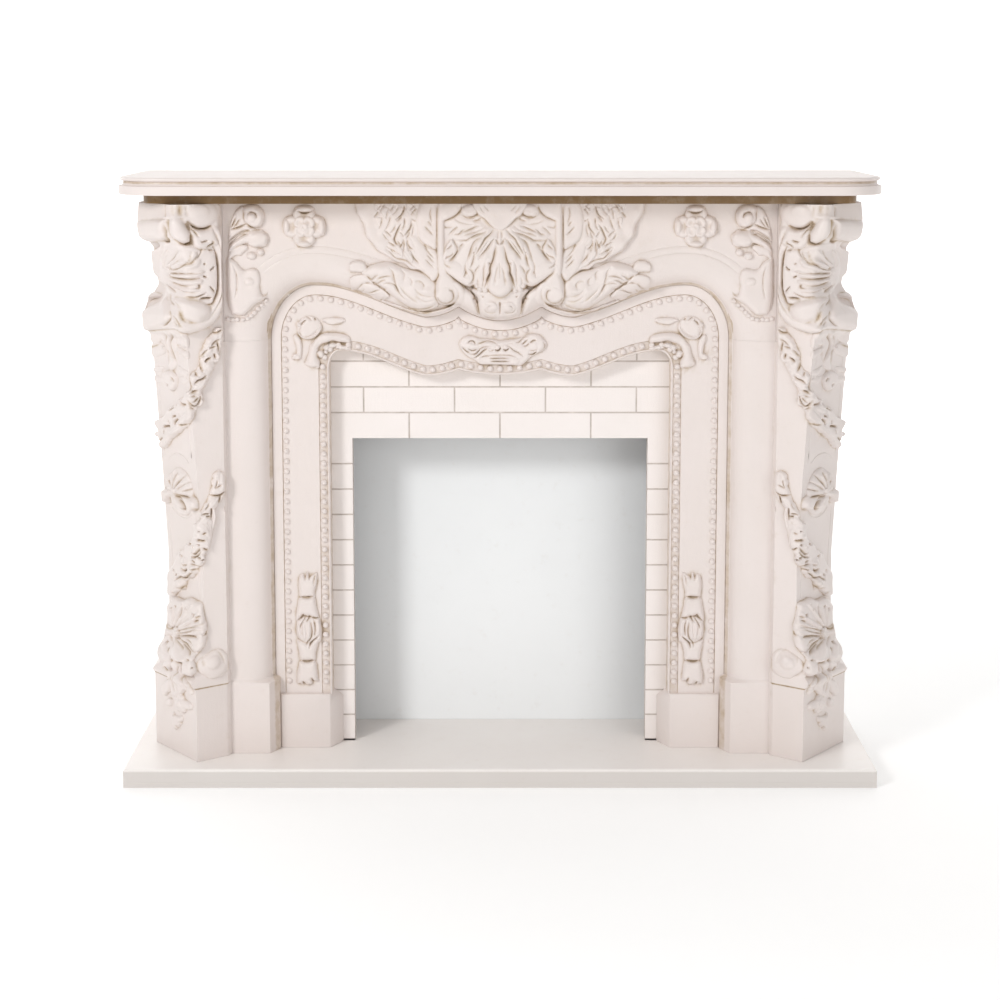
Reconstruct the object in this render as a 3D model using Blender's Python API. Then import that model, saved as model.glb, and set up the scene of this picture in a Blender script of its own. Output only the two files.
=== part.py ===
"""Carved fireplace mantel in painted cast stone, standing on its own hearth slab.

Eight pieces: a hearth slab, two legs (a canted console pier and a rounded jamb, cast as one),
an arched frieze, a moulded shelf, an arched beaded frame, a brick slip panel and a back board.

Metres, +Z up. +X is to the right and +Y towards the wall. The origin is on the floor, midway
along the width and the depth of the whole mantel.

Every carved face is one surface over a flat plan: guide lines say where its corners fall, and a
height function says how far each corner stands out. Heights above the floor are sums of the
named sizes, so a changed size carries everything above it along.
"""

import math

import bmesh
import bpy
from mathutils import Vector
from mathutils.geometry import delaunay_2d_cdt

# Clearance between pieces that touch
GAP = 0.0003

# Hearth slab and wall plane
HEARTH_WIDTH = 1.500
HEARTH_DEPTH = 0.410
HEARTH_THICKNESS = 0.0375
HEARTH_EDGE = 0.003

# Heights that stack up from the hearth: jamb, arch, frieze, neck of the shelf, shelf
JAMB_HEIGHT = 0.845
ARCH_RISE = 0.109
FRIEZE_OVER_CROWN = 0.166
SHELF_NECK = 0.018
SHELF_THICKNESS = 0.035

# Distances of the front faces from the wall
BRICK_FACE = 0.215
FRAME_FACE = 0.255
JAMB_FACE = 0.300
FRIEZE_BACK = 0.195
BOARD_FACE = 0.066

# Arch line: half width, corner, then the drop below the crown at the dip, the cusp and the middle
ARCH_SIDE = 0.460
ARCH_CORNER = 0.089
DIP_X = 0.150
DIP_DROP = 0.065
CUSP_X = 0.083
CUSP_DROP = 0.044
MIDDLE_DROP = 0.072

# Inner edge of the frame, in the same form, with drops below the crown of the arch
BAND_WIDTH = 0.116
INNER_CORNER = 0.025
INNER_CORNER_RISE = 0.033
INNER_CROWN_DROP = 0.134
INNER_DIP_DROP = 0.185
INNER_CREST_DROP = 0.172
INNER_MIDDLE_DROP = 0.183

# Rounded moulding that runs up the jamb and round the arch
MOULD_WIDTH = 0.062
MOULD_FILLET = 0.007
MOULD_SINK = 0.043
MOULD_FILLET_SINK = 0.035

# Jamb and its plinth
JAMB_WIDTH = 0.088
JAMB_PLINTH_HEIGHT = 0.147
PLINTH_STEP = 0.010
PLINTH_CHAMFER = 0.018
PLINTH_CHAMFER_DEPTH = 0.032
PLINTH_PROUD = 0.004
PLINTH_WEATHERING = 0.006

# Console pier: near corner from the arch side and from the wall, turn, width of its two faces
PIER_CORNER_X = 0.148
PIER_CORNER_DEPTH = 0.362
PIER_TURN = math.radians(52.8)
PIER_FACE = 0.172
PIER_RETURN = 0.0726
SHAFT_INSET_NEAR = 0.012
SHAFT_INSET_FAR = 0.017
PIER_PLINTH_HEIGHT = 0.150
SPLICE = 0.0005

# Front line of the pier above its plinth: share of its height, projection beyond the plinth
PIER_LINE = (
    (0.000, 0.000),
    (0.003, 0.006),
    (0.018, 0.007),
    (0.021, -0.006),
    (0.030, 0.000),
    (0.045, 0.004),
    (0.060, 0.000),
    (0.074, -0.018),
    (0.100, -0.026),
    (0.260, -0.028),
    (0.440, -0.018),
    (0.580, -0.009),
    (0.728, 0.000),
    (0.734, 0.010),
    (0.775, 0.012),
    (0.805, -0.002),
    (0.828, -0.018),
    (0.860, -0.012),
    (0.905, -0.008),
    (0.930, 0.012),
    (0.965, 0.018),
    (1.000, 0.014),
)

# Beaded frame
FRAME_BORDER = 0.020
BEAD_SIZE = 0.013
BEAD_PITCH = 0.0205
BEAD_HEIGHT = 0.006
INNER_BORDER = 0.006
FRAME_PLINTH_HEIGHT = 0.112
FRAME_PLINTH_PROUD = 0.010
FRAME_TOE = 0.019
FRAME_TOE_DEPTH = 0.036
FRAME_TOE_SLOPE = 0.014

# Brick panel and back board
OPENING_WIDTH = 0.602
OPENING_HEIGHT = 0.636
PANEL_THICKNESS = 0.030
PANEL_OVER_OPENING = 0.220
COURSE_HEIGHT = 0.0528
BRICK_LENGTH = 0.185
JOINT_WIDTH = 0.005
JOINT_DEPTH = 0.002
BOARD_THICKNESS = 0.012
BOARD_HEIGHT = 0.760

# Shelf
SHELF_WIDTH = 1.500
SHELF_DEPTH = 0.400
SHELF_CORNER = 0.100
NECK_INSET = 0.048

# Derived planes and levels
WALL = HEARTH_DEPTH / 2
HEARTH_TOP = HEARTH_THICKNESS
SPRING = HEARTH_TOP + JAMB_HEIGHT
CROWN = SPRING + ARCH_RISE
FRIEZE_TOP = CROWN + FRIEZE_OVER_CROWN
FRIEZE_HALF = ARCH_SIDE + JAMB_WIDTH


def material(name, colour, roughness):
    """Painted finish of one piece."""
    finish = bpy.data.materials.new(name)
    finish.use_nodes = True
    shader = finish.node_tree.nodes["Principled BSDF"]
    shader.inputs["Base Color"].default_value = (*colour, 1.0)
    shader.inputs["Roughness"].default_value = roughness
    shader.inputs["Metallic"].default_value = 0.0
    return finish


def add_object(name, bm, finish):
    """Put a closed mesh into the scene as one named piece."""
    bmesh.ops.remove_doubles(bm, verts=bm.verts, dist=0.00002)
    bmesh.ops.dissolve_degenerate(bm, edges=bm.edges, dist=0.00002)
    bmesh.ops.triangulate(bm, faces=bm.faces)
    bmesh.ops.recalc_face_normals(bm, faces=bm.faces)
    mesh = bpy.data.meshes.new(name)
    bm.to_mesh(mesh)
    bm.free()
    mesh.materials.append(finish)
    piece = bpy.data.objects.new(name, mesh)
    bpy.context.scene.collection.objects.link(piece)
    return piece


def smooth(t):
    """Rise gently from 0 to 1."""
    t = min(max(t, 0.0), 1.0)
    return t * t * (3.0 - 2.0 * t)


def between(a, b, t):
    """Point or number at share t of the way from a to b."""
    return a + (b - a) * t


# Carved relief: every ornament is a height function and the guide lines that give it corners


class Ornament:
    """A carved form on a flat plan: its height at a point and the lines that its corners follow."""

    def __init__(self, height, guides):
        self.height = height
        self.guides = guides


def ring(centre, radius_a, radius_b, sides, turn=0.0):
    """Closed guide line round an ellipse."""
    points = []
    for index in range(sides):
        angle = turn + 2.0 * math.pi * index / sides
        points.append((centre[0] + radius_a * math.cos(angle), centre[1] + radius_b * math.sin(angle)))
    return points + points[:1]


def boss(centre, radius_a, radius_b, height, sides=8, rings=(1.0, 0.6)):
    """A rounded boss: half an ellipsoid on the ground."""

    def rise(a, b):
        square = ((a - centre[0]) / radius_a) ** 2 + ((b - centre[1]) / radius_b) ** 2
        return height * math.sqrt(max(0.0, 1.0 - square))

    guides = [ring(centre, radius_a * share, radius_b * share, sides) for share in rings]
    return Ornament(rise, guides + [[centre]])


def flower(centre, radius, height, petals):
    """A rosette: petals that hollow towards their tips, round a raised eye."""
    eye = 0.28

    def rise(a, b):
        across, up = a - centre[0], b - centre[1]
        share = math.hypot(across, up) / radius
        lobe = 0.86 + 0.14 * math.cos(petals * math.atan2(up, across))
        share = share / lobe
        if share >= 1.0:
            return 0.0
        if share < eye:
            return height
        return height * (0.45 + 0.45 * math.sin(math.pi * (share - eye) / (1.0 - eye)) ** 0.5)

    guides = [ring(centre, eye * radius, eye * radius, 6)]
    steps = 4 * petals
    for scale in (0.62, 0.99):
        points = []
        for index in range(steps + 1):
            angle = 2.0 * math.pi * index / steps
            reach = scale * radius * (0.86 + 0.14 * math.cos(petals * angle))
            points.append((centre[0] + reach * math.cos(angle), centre[1] + reach * math.sin(angle)))
        guides.append(points)
    rim = 1.06
    guides.append([(between(centre[0], a, rim), between(centre[1], b, rim)) for a, b in points])
    return Ornament(rise, guides)


def fan(hinge, start, end, radius, squeeze, height, ribs, crown=0.0):
    """A shell: ribs that spread from a hinge between two angles. A crown of 1 makes it a dome."""

    def polar(a, b):
        across = (a - hinge[0]) / squeeze
        up = b - hinge[1]
        turn = (math.atan2(up, across) - start) % (2.0 * math.pi)
        return math.hypot(across, up) / radius, turn / (end - start)

    def rise(a, b):
        reach, share = polar(a, b)
        if share > 1.0 or reach > 1.0:
            return 0.0
        rib = math.cos(math.pi * ribs * share) ** 2
        trough = math.sin(math.pi * min(reach, 0.98) ** 0.8) ** 0.5
        dome = math.sqrt(1.0 - reach ** 2)
        return height * between(trough, dome, crown) * (0.72 + 0.28 * (1.0 - rib) * min(1.0, 3.0 * reach))

    def at(reach, share):
        angle = between(start, end, share)
        return (hinge[0] + squeeze * radius * reach * math.cos(angle), hinge[1] + radius * reach * math.sin(angle))

    steps = 2 * ribs
    guides = []
    for reach in (0.45, 0.85, 1.0):
        guides.append([at(reach, index / steps) for index in range(steps + 1)])
    guides.append([at(1.0, 0.0), hinge, at(1.0, 1.0)])
    return Ornament(rise, guides)


def garland(spine, radius, height):
    """A rope of flowers: bosses that touch, smaller towards both ends of the spine."""
    last = len(spine) - 1
    flowers = []
    for index, centre in enumerate(spine):
        share = 0.62 + 0.38 * math.sin(math.pi * (index + 0.5) / (last + 1))
        flowers.append(boss(centre, radius * share, radius * share, height * share, 6, (1.0,)))
    guides = [line for form in flowers for line in form.guides]
    return Ornament(lambda a, b: tallest(flowers, a, b), guides)


def leaf(spine, width, height, blunt=0.7):
    """A leaf along a spine: a ridge that tapers to both ends."""
    last = len(spine) - 1

    def half_width(share):
        return width / 2 * max(0.12, math.sin(math.pi * min(max(share, 0.0), 1.0)) ** blunt)

    def rise(a, b):
        best = 0.0
        for index in range(last):
            start, end = Vector(spine[index]), Vector(spine[index + 1])
            run = end - start
            share = min(max((Vector((a, b)) - start).dot(run) / run.length_squared, 0.0), 1.0)
            away = (start + run * share - Vector((a, b))).length
            along = (index + share) / last
            reach = half_width(along)
            if away < reach:
                ridge = 1.0 - (away / reach) ** 2
                best = max(best, height * ridge * min(1.0, reach / (0.3 * width)))
        return best

    left, right = [], []
    for index, point in enumerate(spine):
        ahead = Vector(spine[min(index + 1, last)]) - Vector(spine[max(index - 1, 0)])
        side = Vector((-ahead.y, ahead.x)).normalized() * half_width(index / last)
        left.append((point[0] + side.x, point[1] + side.y))
        right.append((point[0] - side.x, point[1] - side.y))
    return Ornament(rise, [left, list(spine), right, [left[0], right[0]], [left[-1], right[-1]]])


def curve(start, middle, end, steps):
    """Points along the curve that leaves start, bends towards middle and arrives at end."""
    points = []
    for index in range(steps + 1):
        t = index / steps
        weights = ((1.0 - t) ** 2, 2.0 * t * (1.0 - t), t * t)
        points.append(tuple(sum(w * p[axis] for w, p in zip(weights, (start, middle, end))) for axis in (0, 1)))
    return points


def tallest(ornaments, a, b):
    """Height of the relief at a point: the tallest ornament there."""
    return max((ornament.height(a, b) for ornament in ornaments), default=0.0)


def mirrored(ornament):
    """The same ornament on the other side of the middle line."""
    guides = [[(-a, b) for a, b in line] for line in ornament.guides]
    return Ornament(lambda a, b: ornament.height(-a, b), guides)


def carved_surface(bm, outline, guides, place):
    """Triangulate a flat plan between its outline and guide lines, and lift it into its place.

    Returns the plan points with their mesh corners, in order along the edge of the surface.
    """
    points, edges = [], []
    for line in [list(outline) + [outline[0]]] + guides:
        first = len(points)
        points.extend(Vector(point) for point in line)
        edges.extend((index, index + 1) for index in range(first, len(points) - 1))
    inside_only = 1
    flat, _, faces, _, _, _ = delaunay_2d_cdt(points, edges, [], inside_only, 0.00004)
    corners = [bm.verts.new(place(point.x, point.y)) for point in flat]
    follows = {}
    for face in faces:
        bm.faces.new([corners[index] for index in face])
        for index, here in enumerate(face):
            follows[(here, face[(index + 1) % len(face)])] = True
    border = {here: ahead for here, ahead in follows if (ahead, here) not in follows}
    start = min(border)
    loop, here = [start], border[start]
    while here != start:
        loop.append(here)
        here = border[here]
    return [(flat[index], corners[index]) for index in loop]


def carved_panel(name, outline, guides, place, back, finish):
    """A slab with a carved front, square sides and a flat back in the plane y = back."""
    bm = bmesh.new()
    loop = carved_surface(bm, outline, guides, place)
    behind = [bm.verts.new((corner.co.x, back, corner.co.z)) for _, corner in loop]
    for index, (_, corner) in enumerate(loop):
        following = (index + 1) % len(loop)
        bm.faces.new((corner, behind[index], behind[following], loop[following][1]))
    bm.faces.new(behind)
    return add_object(name, bm, finish)


def stacked_outlines(name, levels, finish):
    """A closed solid through outlines of as many points each, one above another."""
    bm = bmesh.new()
    rings = [[bm.verts.new((x, y, height)) for x, y in outline] for outline, height in levels]
    for lower, upper in zip(rings, rings[1:]):
        for index in range(len(lower)):
            following = (index + 1) % len(lower)
            bm.faces.new((lower[index], lower[following], upper[following], upper[index]))
    bm.faces.new(rings[0])
    bm.faces.new(rings[-1])
    return add_object(name, bm, finish)


# The arch


def arch_half(side, spring, corner, crown, dip_x, dip, cusp_x, cusp, middle):
    """Right half of the arch line: up the corner, down the haunch, over the cusp to the middle."""
    points = []
    corner_steps, haunch_steps, rise_steps, middle_steps = 6, 7, 3, 3
    for index in range(corner_steps + 1):
        angle = math.pi / 2 * index / corner_steps
        points.append((side - corner * (1.0 - math.cos(angle)), spring + (crown - spring) * math.sin(angle)))
    for index in range(1, haunch_steps + 1):
        t = 1.0 - index / haunch_steps
        fall = (0.5 - 0.5 * math.cos(math.pi * t) + math.sin(math.pi / 2 * t)) / 2
        points.append((between(dip_x, side - corner, t), between(dip, crown, fall)))
    for index in range(1, rise_steps + 1):
        t = index / rise_steps
        points.append((between(dip_x, cusp_x, t), between(dip, cusp, t * t)))
    for index in range(1, middle_steps + 1):
        t = 1.0 - index / middle_steps
        points.append((cusp_x * t, between(middle, cusp, t * t)))
    return points


def whole_arch(half):
    """Whole arch line, from the right foot over the middle to the left foot."""
    return half + [(-x, z) for x, z in reversed(half[:-1])]


def frieze_arch(clearance=0.0):
    """Arch line of the frieze, drawn in by a clearance."""
    crown = CROWN - clearance
    return arch_half(ARCH_SIDE - clearance, SPRING, ARCH_CORNER, crown, DIP_X, crown - DIP_DROP,
                     CUSP_X, crown - CUSP_DROP, crown - MIDDLE_DROP)


def frame_inner_arch():
    """Inner edge of the beaded frame."""
    crown = CROWN - INNER_CROWN_DROP
    return arch_half(ARCH_SIDE - BAND_WIDTH, crown - INNER_CORNER_RISE, INNER_CORNER, crown, DIP_X,
                     CROWN - INNER_DIP_DROP, CUSP_X, CROWN - INNER_CREST_DROP, CROWN - INNER_MIDDLE_DROP)


def offset_line(points, distance):
    """The line moved sideways, to the right of its direction."""
    moved = []
    last = len(points) - 1
    for index, point in enumerate(points):
        ahead = Vector(points[min(index + 1, last)]) - Vector(points[max(index - 1, 0)])
        side = Vector((ahead.y, -ahead.x)).normalized() * distance
        moved.append((point[0] + side.x, point[1] + side.y))
    return moved


def distance_to(points, a, b):
    """Shortest distance from a point to a line of points."""
    here = Vector((a, b))
    best = math.inf
    for start, end in zip(points, points[1:]):
        start, run = Vector(start), Vector(end) - Vector(start)
        share = min(max((here - start).dot(run) / run.length_squared, 0.0), 1.0)
        best = min(best, (start + run * share - here).length)
    return best


def mould_sink(distance):
    """How far the rounded moulding lies behind the jamb's face, by distance from its inner edge."""
    if distance <= 0.0:
        return MOULD_SINK
    if distance < MOULD_FILLET:
        return between(MOULD_SINK, MOULD_FILLET_SINK, distance / MOULD_FILLET)
    share = min((distance - MOULD_FILLET) / (MOULD_WIDTH - MOULD_FILLET), 1.0)
    return MOULD_FILLET_SINK * (1.0 - math.sqrt(1.0 - (1.0 - share) ** 2))


MOULD_STEPS = (0.0, MOULD_FILLET, MOULD_FILLET + 0.007, MOULD_FILLET + 0.022, MOULD_WIDTH)


# Hearth, shelf and boards


def rectangle(half_width, front, back):
    """Corners of a slab in plan."""
    return [(half_width, front), (half_width, back), (-half_width, back), (-half_width, front)]


def build_hearth(finish):
    """The slab that the mantel stands on, with its arrises eased."""
    edge = HEARTH_EDGE
    full = rectangle(HEARTH_WIDTH / 2, -WALL, WALL)
    eased = rectangle(HEARTH_WIDTH / 2 - edge, -WALL + edge, WALL - edge)
    levels = [(full, 0.0), (full, HEARTH_TOP - edge), (eased, HEARTH_TOP)]
    return stacked_outlines("hearth_slab", levels, finish)


def shelf_outline(inset):
    """Plan of the shelf, drawn in from its front and ends, with round front corners."""
    half = SHELF_WIDTH / 2 - inset
    front = WALL - SHELF_DEPTH + inset
    radius = SHELF_CORNER - inset
    points = [(-half, WALL)]
    corner_steps = 8
    for side in (-1, 1):
        for index in range(corner_steps + 1):
            share = index if side < 0 else corner_steps - index
            angle = math.pi / 2 * share / corner_steps
            centre_x = side * (half - radius)
            points.append((centre_x + side * radius * math.cos(angle), front + radius * (1.0 - math.sin(angle))))
    points.append((half, WALL))
    return points


def build_shelf(finish):
    """The shelf: a recessed neck, a plain fascia, a hollow and a bead round the top."""
    bottom = FRIEZE_TOP + GAP
    slab = FRIEZE_TOP + SHELF_NECK
    profile = (
        (NECK_INSET, bottom),
        (NECK_INSET, slab - 0.002),
        (0.006, slab),
        (0.0, slab + 0.003),
        (0.0, slab + 0.017),
        (0.003, slab + 0.020),
        (0.009, slab + 0.022),
        (0.009, slab + 0.024),
        (0.004, slab + 0.0265),
        (0.004, slab + 0.031),
        (0.010, slab + SHELF_THICKNESS),
    )
    levels = [(shelf_outline(inset), height) for inset, height in profile]
    return stacked_outlines("shelf", levels, finish)


def build_back_board(finish):
    """The plain board behind the firebox opening."""
    half = ARCH_SIDE - PLINTH_STEP - GAP
    front = WALL - BOARD_FACE
    outline = rectangle(half, front, front + BOARD_THICKNESS)
    levels = [(outline, HEARTH_TOP + GAP), (outline, HEARTH_TOP + BOARD_HEIGHT)]
    return stacked_outlines("firebox_back", levels, finish)


# Brick slip panel


def joint_lines():
    """Middle lines of the joints: the level courses and the upright ones over the opening."""
    half = ARCH_SIDE - PLINTH_STEP - GAP
    opening_half = OPENING_WIDTH / 2
    opening_top = HEARTH_TOP + OPENING_HEIGHT
    panel_top = opening_top + PANEL_OVER_OPENING
    inset = 0.001
    lines = []
    courses = int(OPENING_HEIGHT / COURSE_HEIGHT)
    for course in range(1, courses + 1):
        level = opening_top - course * COURSE_HEIGHT
        for side in (-1, 1):
            lines.append(((side * (opening_half + inset), level), (side * (half - inset), level)))
    for side in (-1, 1):
        lines.append(((side * (opening_half + inset), opening_top), (side * (half - inset), opening_top)))
    courses_over = int(PANEL_OVER_OPENING / COURSE_HEIGHT) + 1
    for course in range(1, courses_over):
        level = opening_top + course * COURSE_HEIGHT
        lines.append(((-half + inset, level), (half - inset, level)))
    for course in range(courses_over):
        foot = opening_top + course * COURSE_HEIGHT + JOINT_WIDTH
        head = min(foot + COURSE_HEIGHT - 2 * JOINT_WIDTH, panel_top - inset)
        shift = 0.5 * BRICK_LENGTH * (course % 2)
        count = int((half - shift) / BRICK_LENGTH)
        for index in range(-count - course % 2, count + 1):
            x = index * BRICK_LENGTH + shift
            if abs(x) < half - JOINT_WIDTH:
                lines.append(((x, foot), (x, head)))
    return lines


def build_brick_panel(finish):
    """Brick slips round the firebox opening, with a groove at every joint."""
    half = ARCH_SIDE - PLINTH_STEP - GAP
    opening_half = OPENING_WIDTH / 2
    foot = HEARTH_TOP + GAP
    opening_top = HEARTH_TOP + OPENING_HEIGHT
    panel_top = opening_top + PANEL_OVER_OPENING
    face = WALL - BRICK_FACE
    outline = [(opening_half, foot), (half, foot), (half, panel_top), (-half, panel_top), (-half, foot),
               (-opening_half, foot), (-opening_half, opening_top), (opening_half, opening_top)]
    lines = joint_lines()
    guides = []
    reach = JOINT_WIDTH / 2
    for (x0, z0), (x1, z1) in lines:
        level = abs(z1 - z0) < abs(x1 - x0)
        side = (0.0, reach) if level else (reach, 0.0)
        guides.append([(x0, z0), (x1, z1)])
        for sign in (-1, 1):
            guides.append([(x0 + sign * side[0], z0 + sign * side[1]), (x1 + sign * side[0], z1 + sign * side[1])])

    def place(x, z):
        away = min(distance_to(line, x, z) for line in lines)
        groove = JOINT_DEPTH * max(0.0, 1.0 - away / reach)
        return (x, face + groove, z)

    return carved_panel("brick_panel", outline, guides, place, face + PANEL_THICKNESS, finish)


# Beaded frame


def evenly_spaced(points, pitch):
    """Points at an even pitch along a line, with both ends kept."""
    lengths = [0.0]
    for start, end in zip(points, points[1:]):
        lengths.append(lengths[-1] + (Vector(end) - Vector(start)).length)
    count = max(2, round(lengths[-1] / pitch))
    spaced = []
    segment = 0
    for index in range(count + 1):
        target = lengths[-1] * index / count
        while segment < len(points) - 2 and lengths[segment + 1] < target:
            segment += 1
        share = (target - lengths[segment]) / (lengths[segment + 1] - lengths[segment])
        spaced.append(tuple(Vector(points[segment]).lerp(Vector(points[segment + 1]), min(share, 1.0))))
    return spaced


def bead_row(path):
    """Guide lines and crests of a row of beads whose outer edge follows a path."""
    outer = evenly_spaced(path, BEAD_PITCH)
    inner = offset_line(outer, -BEAD_SIZE)
    crests = []
    for index in range(len(outer) - 1):
        cell = (outer[index], outer[index + 1], inner[index], inner[index + 1])
        crests.append(tuple(sum(point[axis] for point in cell) / 4 for axis in (0, 1)))
    guides = [outer, inner] + [[outer[index], inner[index]] for index in range(len(outer))]
    return guides, crests


def leg_height_to_arch(foot, arch):
    """An arch line with its two straight legs, from the right foot round to the left foot."""
    side = arch[0][0]
    return [(side, foot)] + whole_arch(arch) + [(-side, foot)]


def build_frame(finish):
    """The arched frame inside the jambs: two rows of beads, a flat band, and a plinth block each side
    whose inner side is canted back towards the bricks."""
    foot = HEARTH_TOP + GAP
    face = WALL - FRAME_FACE
    back = WALL - BRICK_FACE - GAP
    plinth_top = foot + FRAME_PLINTH_HEIGHT
    step_top = HEARTH_TOP + JAMB_PLINTH_HEIGHT + PLINTH_WEATHERING + GAP
    outer = whole_arch(frieze_arch(GAP))
    side = outer[0][0]
    narrow = side - PLINTH_STEP
    inner = leg_height_to_arch(foot, frame_inner_arch())
    inner_side = inner[0][0]
    toe_x = inner_side - FRAME_TOE
    toe = [(toe_x, foot), (toe_x, plinth_top - FRAME_TOE_SLOPE), (inner_side, plinth_top)]
    inner_edge = toe + inner[1:-1] + [(-x, z) for x, z in reversed(toe)]
    outline = [(narrow, foot), (narrow, step_top), (side, step_top)] + outer
    outline += [(-side, step_top), (-narrow, step_top), (-narrow, foot)] + list(reversed(inner_edge))

    bead_foot = plinth_top + 0.004
    outer_path = offset_line([(side, bead_foot)] + outer + [(-side, bead_foot)], -FRAME_BORDER)
    outer_path[0] = (side - FRAME_BORDER, bead_foot)
    outer_path[-1] = (-side + FRAME_BORDER, bead_foot)
    inner_path = offset_line(leg_height_to_arch(bead_foot, frame_inner_arch()), INNER_BORDER + BEAD_SIZE)
    outer_guides, outer_crests = bead_row(outer_path)
    inner_guides, inner_crests = bead_row(inner_path)
    crests = outer_crests + inner_crests
    block_outer = narrow - 0.001
    block_inner = inner_side + 0.001
    guides = outer_guides + inner_guides + [[crest] for crest in crests]
    for mirror in (-1, 1):
        guides.append([(mirror * inner_side, foot), (mirror * inner_side, plinth_top)])
        for inset in (0.0, 0.005):
            corners = ((block_inner + inset, foot + 0.001), (block_outer - inset, foot + 0.001),
                       (block_outer - inset, plinth_top - inset), (block_inner + inset, plinth_top - inset))
            guides.append([(mirror * x, z) for x, z in corners] + [(mirror * corners[0][0], corners[0][1])])
    summits = {(round(x, 4), round(z, 4)) for x, z in crests}

    rose = (side - 0.062, SPRING + 0.038)
    ornaments = [
        flower(rose, 0.024, 0.014, 5),
        leaf(curve((rose[0] - 0.020, rose[1] + 0.008), (rose[0] - 0.050, rose[1] + 0.016),
                   (rose[0] - 0.072, rose[1] + 0.004), 4), 0.022, 0.010),
        leaf(curve((rose[0] + 0.004, rose[1] - 0.026), (rose[0] + 0.016, rose[1] - 0.055),
                   (rose[0] + 0.010, rose[1] - 0.080), 4), 0.020, 0.010),
    ]
    husk_x = (side + inner_side) / 2 - 0.006
    for width, rise, height in ((0.046, 0.018, 0.056), (0.050, 0.066, 0.050), (0.036, 0.112, 0.060),
                                (0.044, 0.160, 0.046), (0.050, 0.196, 0.048)):
        steps = 4
        spine = [(husk_x, plinth_top + rise + height * index / steps) for index in range(steps + 1)]
        ornaments.append(leaf(spine, width, 0.012, 0.35))
    ornaments += [mirrored(ornament) for ornament in ornaments]
    crest = CROWN - INNER_CREST_DROP + 0.040
    ornaments.append(boss((0.0, crest), 0.030, 0.022, 0.016))
    ornaments.append(boss((0.064, crest + 0.008), 0.014, 0.014, 0.012))
    ornaments.append(mirrored(ornaments[-1]))
    for ornament in ornaments:
        guides += ornament.guides

    def place(x, z):
        rise = tallest(ornaments, x, z)
        if (round(x, 4), round(z, 4)) in summits:
            rise = max(rise, BEAD_HEIGHT)
        within = min(abs(x) - block_inner, block_outer - abs(x), plinth_top - z)
        if within > 0.0:
            rise = max(rise, FRAME_PLINTH_PROUD * min(1.0, within / 0.005))
        beyond = max(0.0, inner_side - abs(x)) if z < plinth_top else 0.0
        return (x, face - rise + FRAME_TOE_DEPTH * beyond / FRAME_TOE, z)

    return carved_panel("arched_frame", outline, guides, place, back, finish)


# Frieze


def frieze_ornaments():
    """The carving of the frieze: shell cartouche, wings, acanthus sprays, rosettes and leaf scrolls."""
    top = FRIEZE_TOP
    side_forms = [
        flower((0.388, top - 0.047), 0.042, 0.014, 4),
        fan((0.125, top - 0.155), math.radians(26), math.radians(90), 0.190, 1.0, 0.026, 6),
        leaf(curve((0.303, top - 0.116), (0.235, top - 0.140), (0.130, top - 0.185), 6), 0.056, 0.024, 0.5),
        leaf(curve((0.290, top - 0.134), (0.240, top - 0.185), (0.150, top - 0.222), 6), 0.034, 0.016, 0.5),
        boss((0.104, top - 0.182), 0.026, 0.024, 0.034),
        leaf([(0.122, top - 0.006), (0.124, top - 0.060), (0.122, top - 0.120), (0.112, top - 0.170)],
             0.024, 0.034, 0.3),
        leaf(curve((0.542, top - 0.084), (0.520, top - 0.030), (0.492, top - 0.026), 3), 0.036, 0.018, 0.4),
        leaf(curve((0.542, top - 0.092), (0.515, top - 0.072), (0.474, top - 0.070), 3), 0.034, 0.020, 0.3),
        boss((0.488, top - 0.027), 0.021, 0.021, 0.026, 8),
        boss((0.485, top - 0.097), 0.020, 0.011, 0.016, 6),
        boss((0.512, top - 0.190), 0.034, 0.036, 0.014, 8),
        boss((0.495, top - 0.154), 0.018, 0.018, 0.022, 6),
    ]
    centre_forms = [
        fan((0.0, top - 0.054), math.radians(186), math.radians(354), 0.128, 0.92, 0.036, 7),
        boss((0.0, top - 0.026), 0.044, 0.026, 0.046, 8),
        boss((0.0, top - 0.212), 0.046, 0.020, 0.034, 8),
    ]
    side_forms += [
        boss((0.062, top - 0.016), 0.018, 0.014, 0.040, 6),
        boss((0.098, top - 0.030), 0.022, 0.026, 0.030, 6),
        boss((0.074, top - 0.142), 0.026, 0.020, 0.038, 8),
        boss((0.102, top - 0.100), 0.018, 0.030, 0.030, 6),
    ]
    return centre_forms + side_forms + [mirrored(form) for form in side_forms]


def build_frieze(finish):
    """The lintel: a carved face over an arch with a rounded moulding along its edge."""
    face = WALL - JAMB_FACE
    foot = SPRING + SPLICE + GAP
    half = FRIEZE_HALF - GAP
    arch = whole_arch(frieze_arch())
    arch[0] = (arch[0][0], foot)
    arch[-1] = (arch[-1][0], foot)
    outline = [(half, foot), (half, FRIEZE_TOP), (-half, FRIEZE_TOP), (-half, foot)] + list(reversed(arch))
    ornaments = frieze_ornaments()
    guides = []
    for step in MOULD_STEPS[1:]:
        line = offset_line(arch, step)
        line[0] = (arch[0][0] + step, foot)
        line[-1] = (arch[-1][0] - step, foot)
        guides.append(line)
    for ornament in ornaments:
        guides += ornament.guides
    margin = 0.0012
    kept = []
    for line in guides:
        inside = [(min(max(x, -half), half), min(max(z, foot), FRIEZE_TOP - margin)) for x, z in line]
        kept.append(inside)

    def place(x, z):
        sink = mould_sink(distance_to(arch, x, z))
        return (x, face + sink - tallest(ornaments, x, z), z)

    return carved_panel("frieze", outline, kept, place, WALL - FRIEZE_BACK, finish)


# Legs


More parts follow.
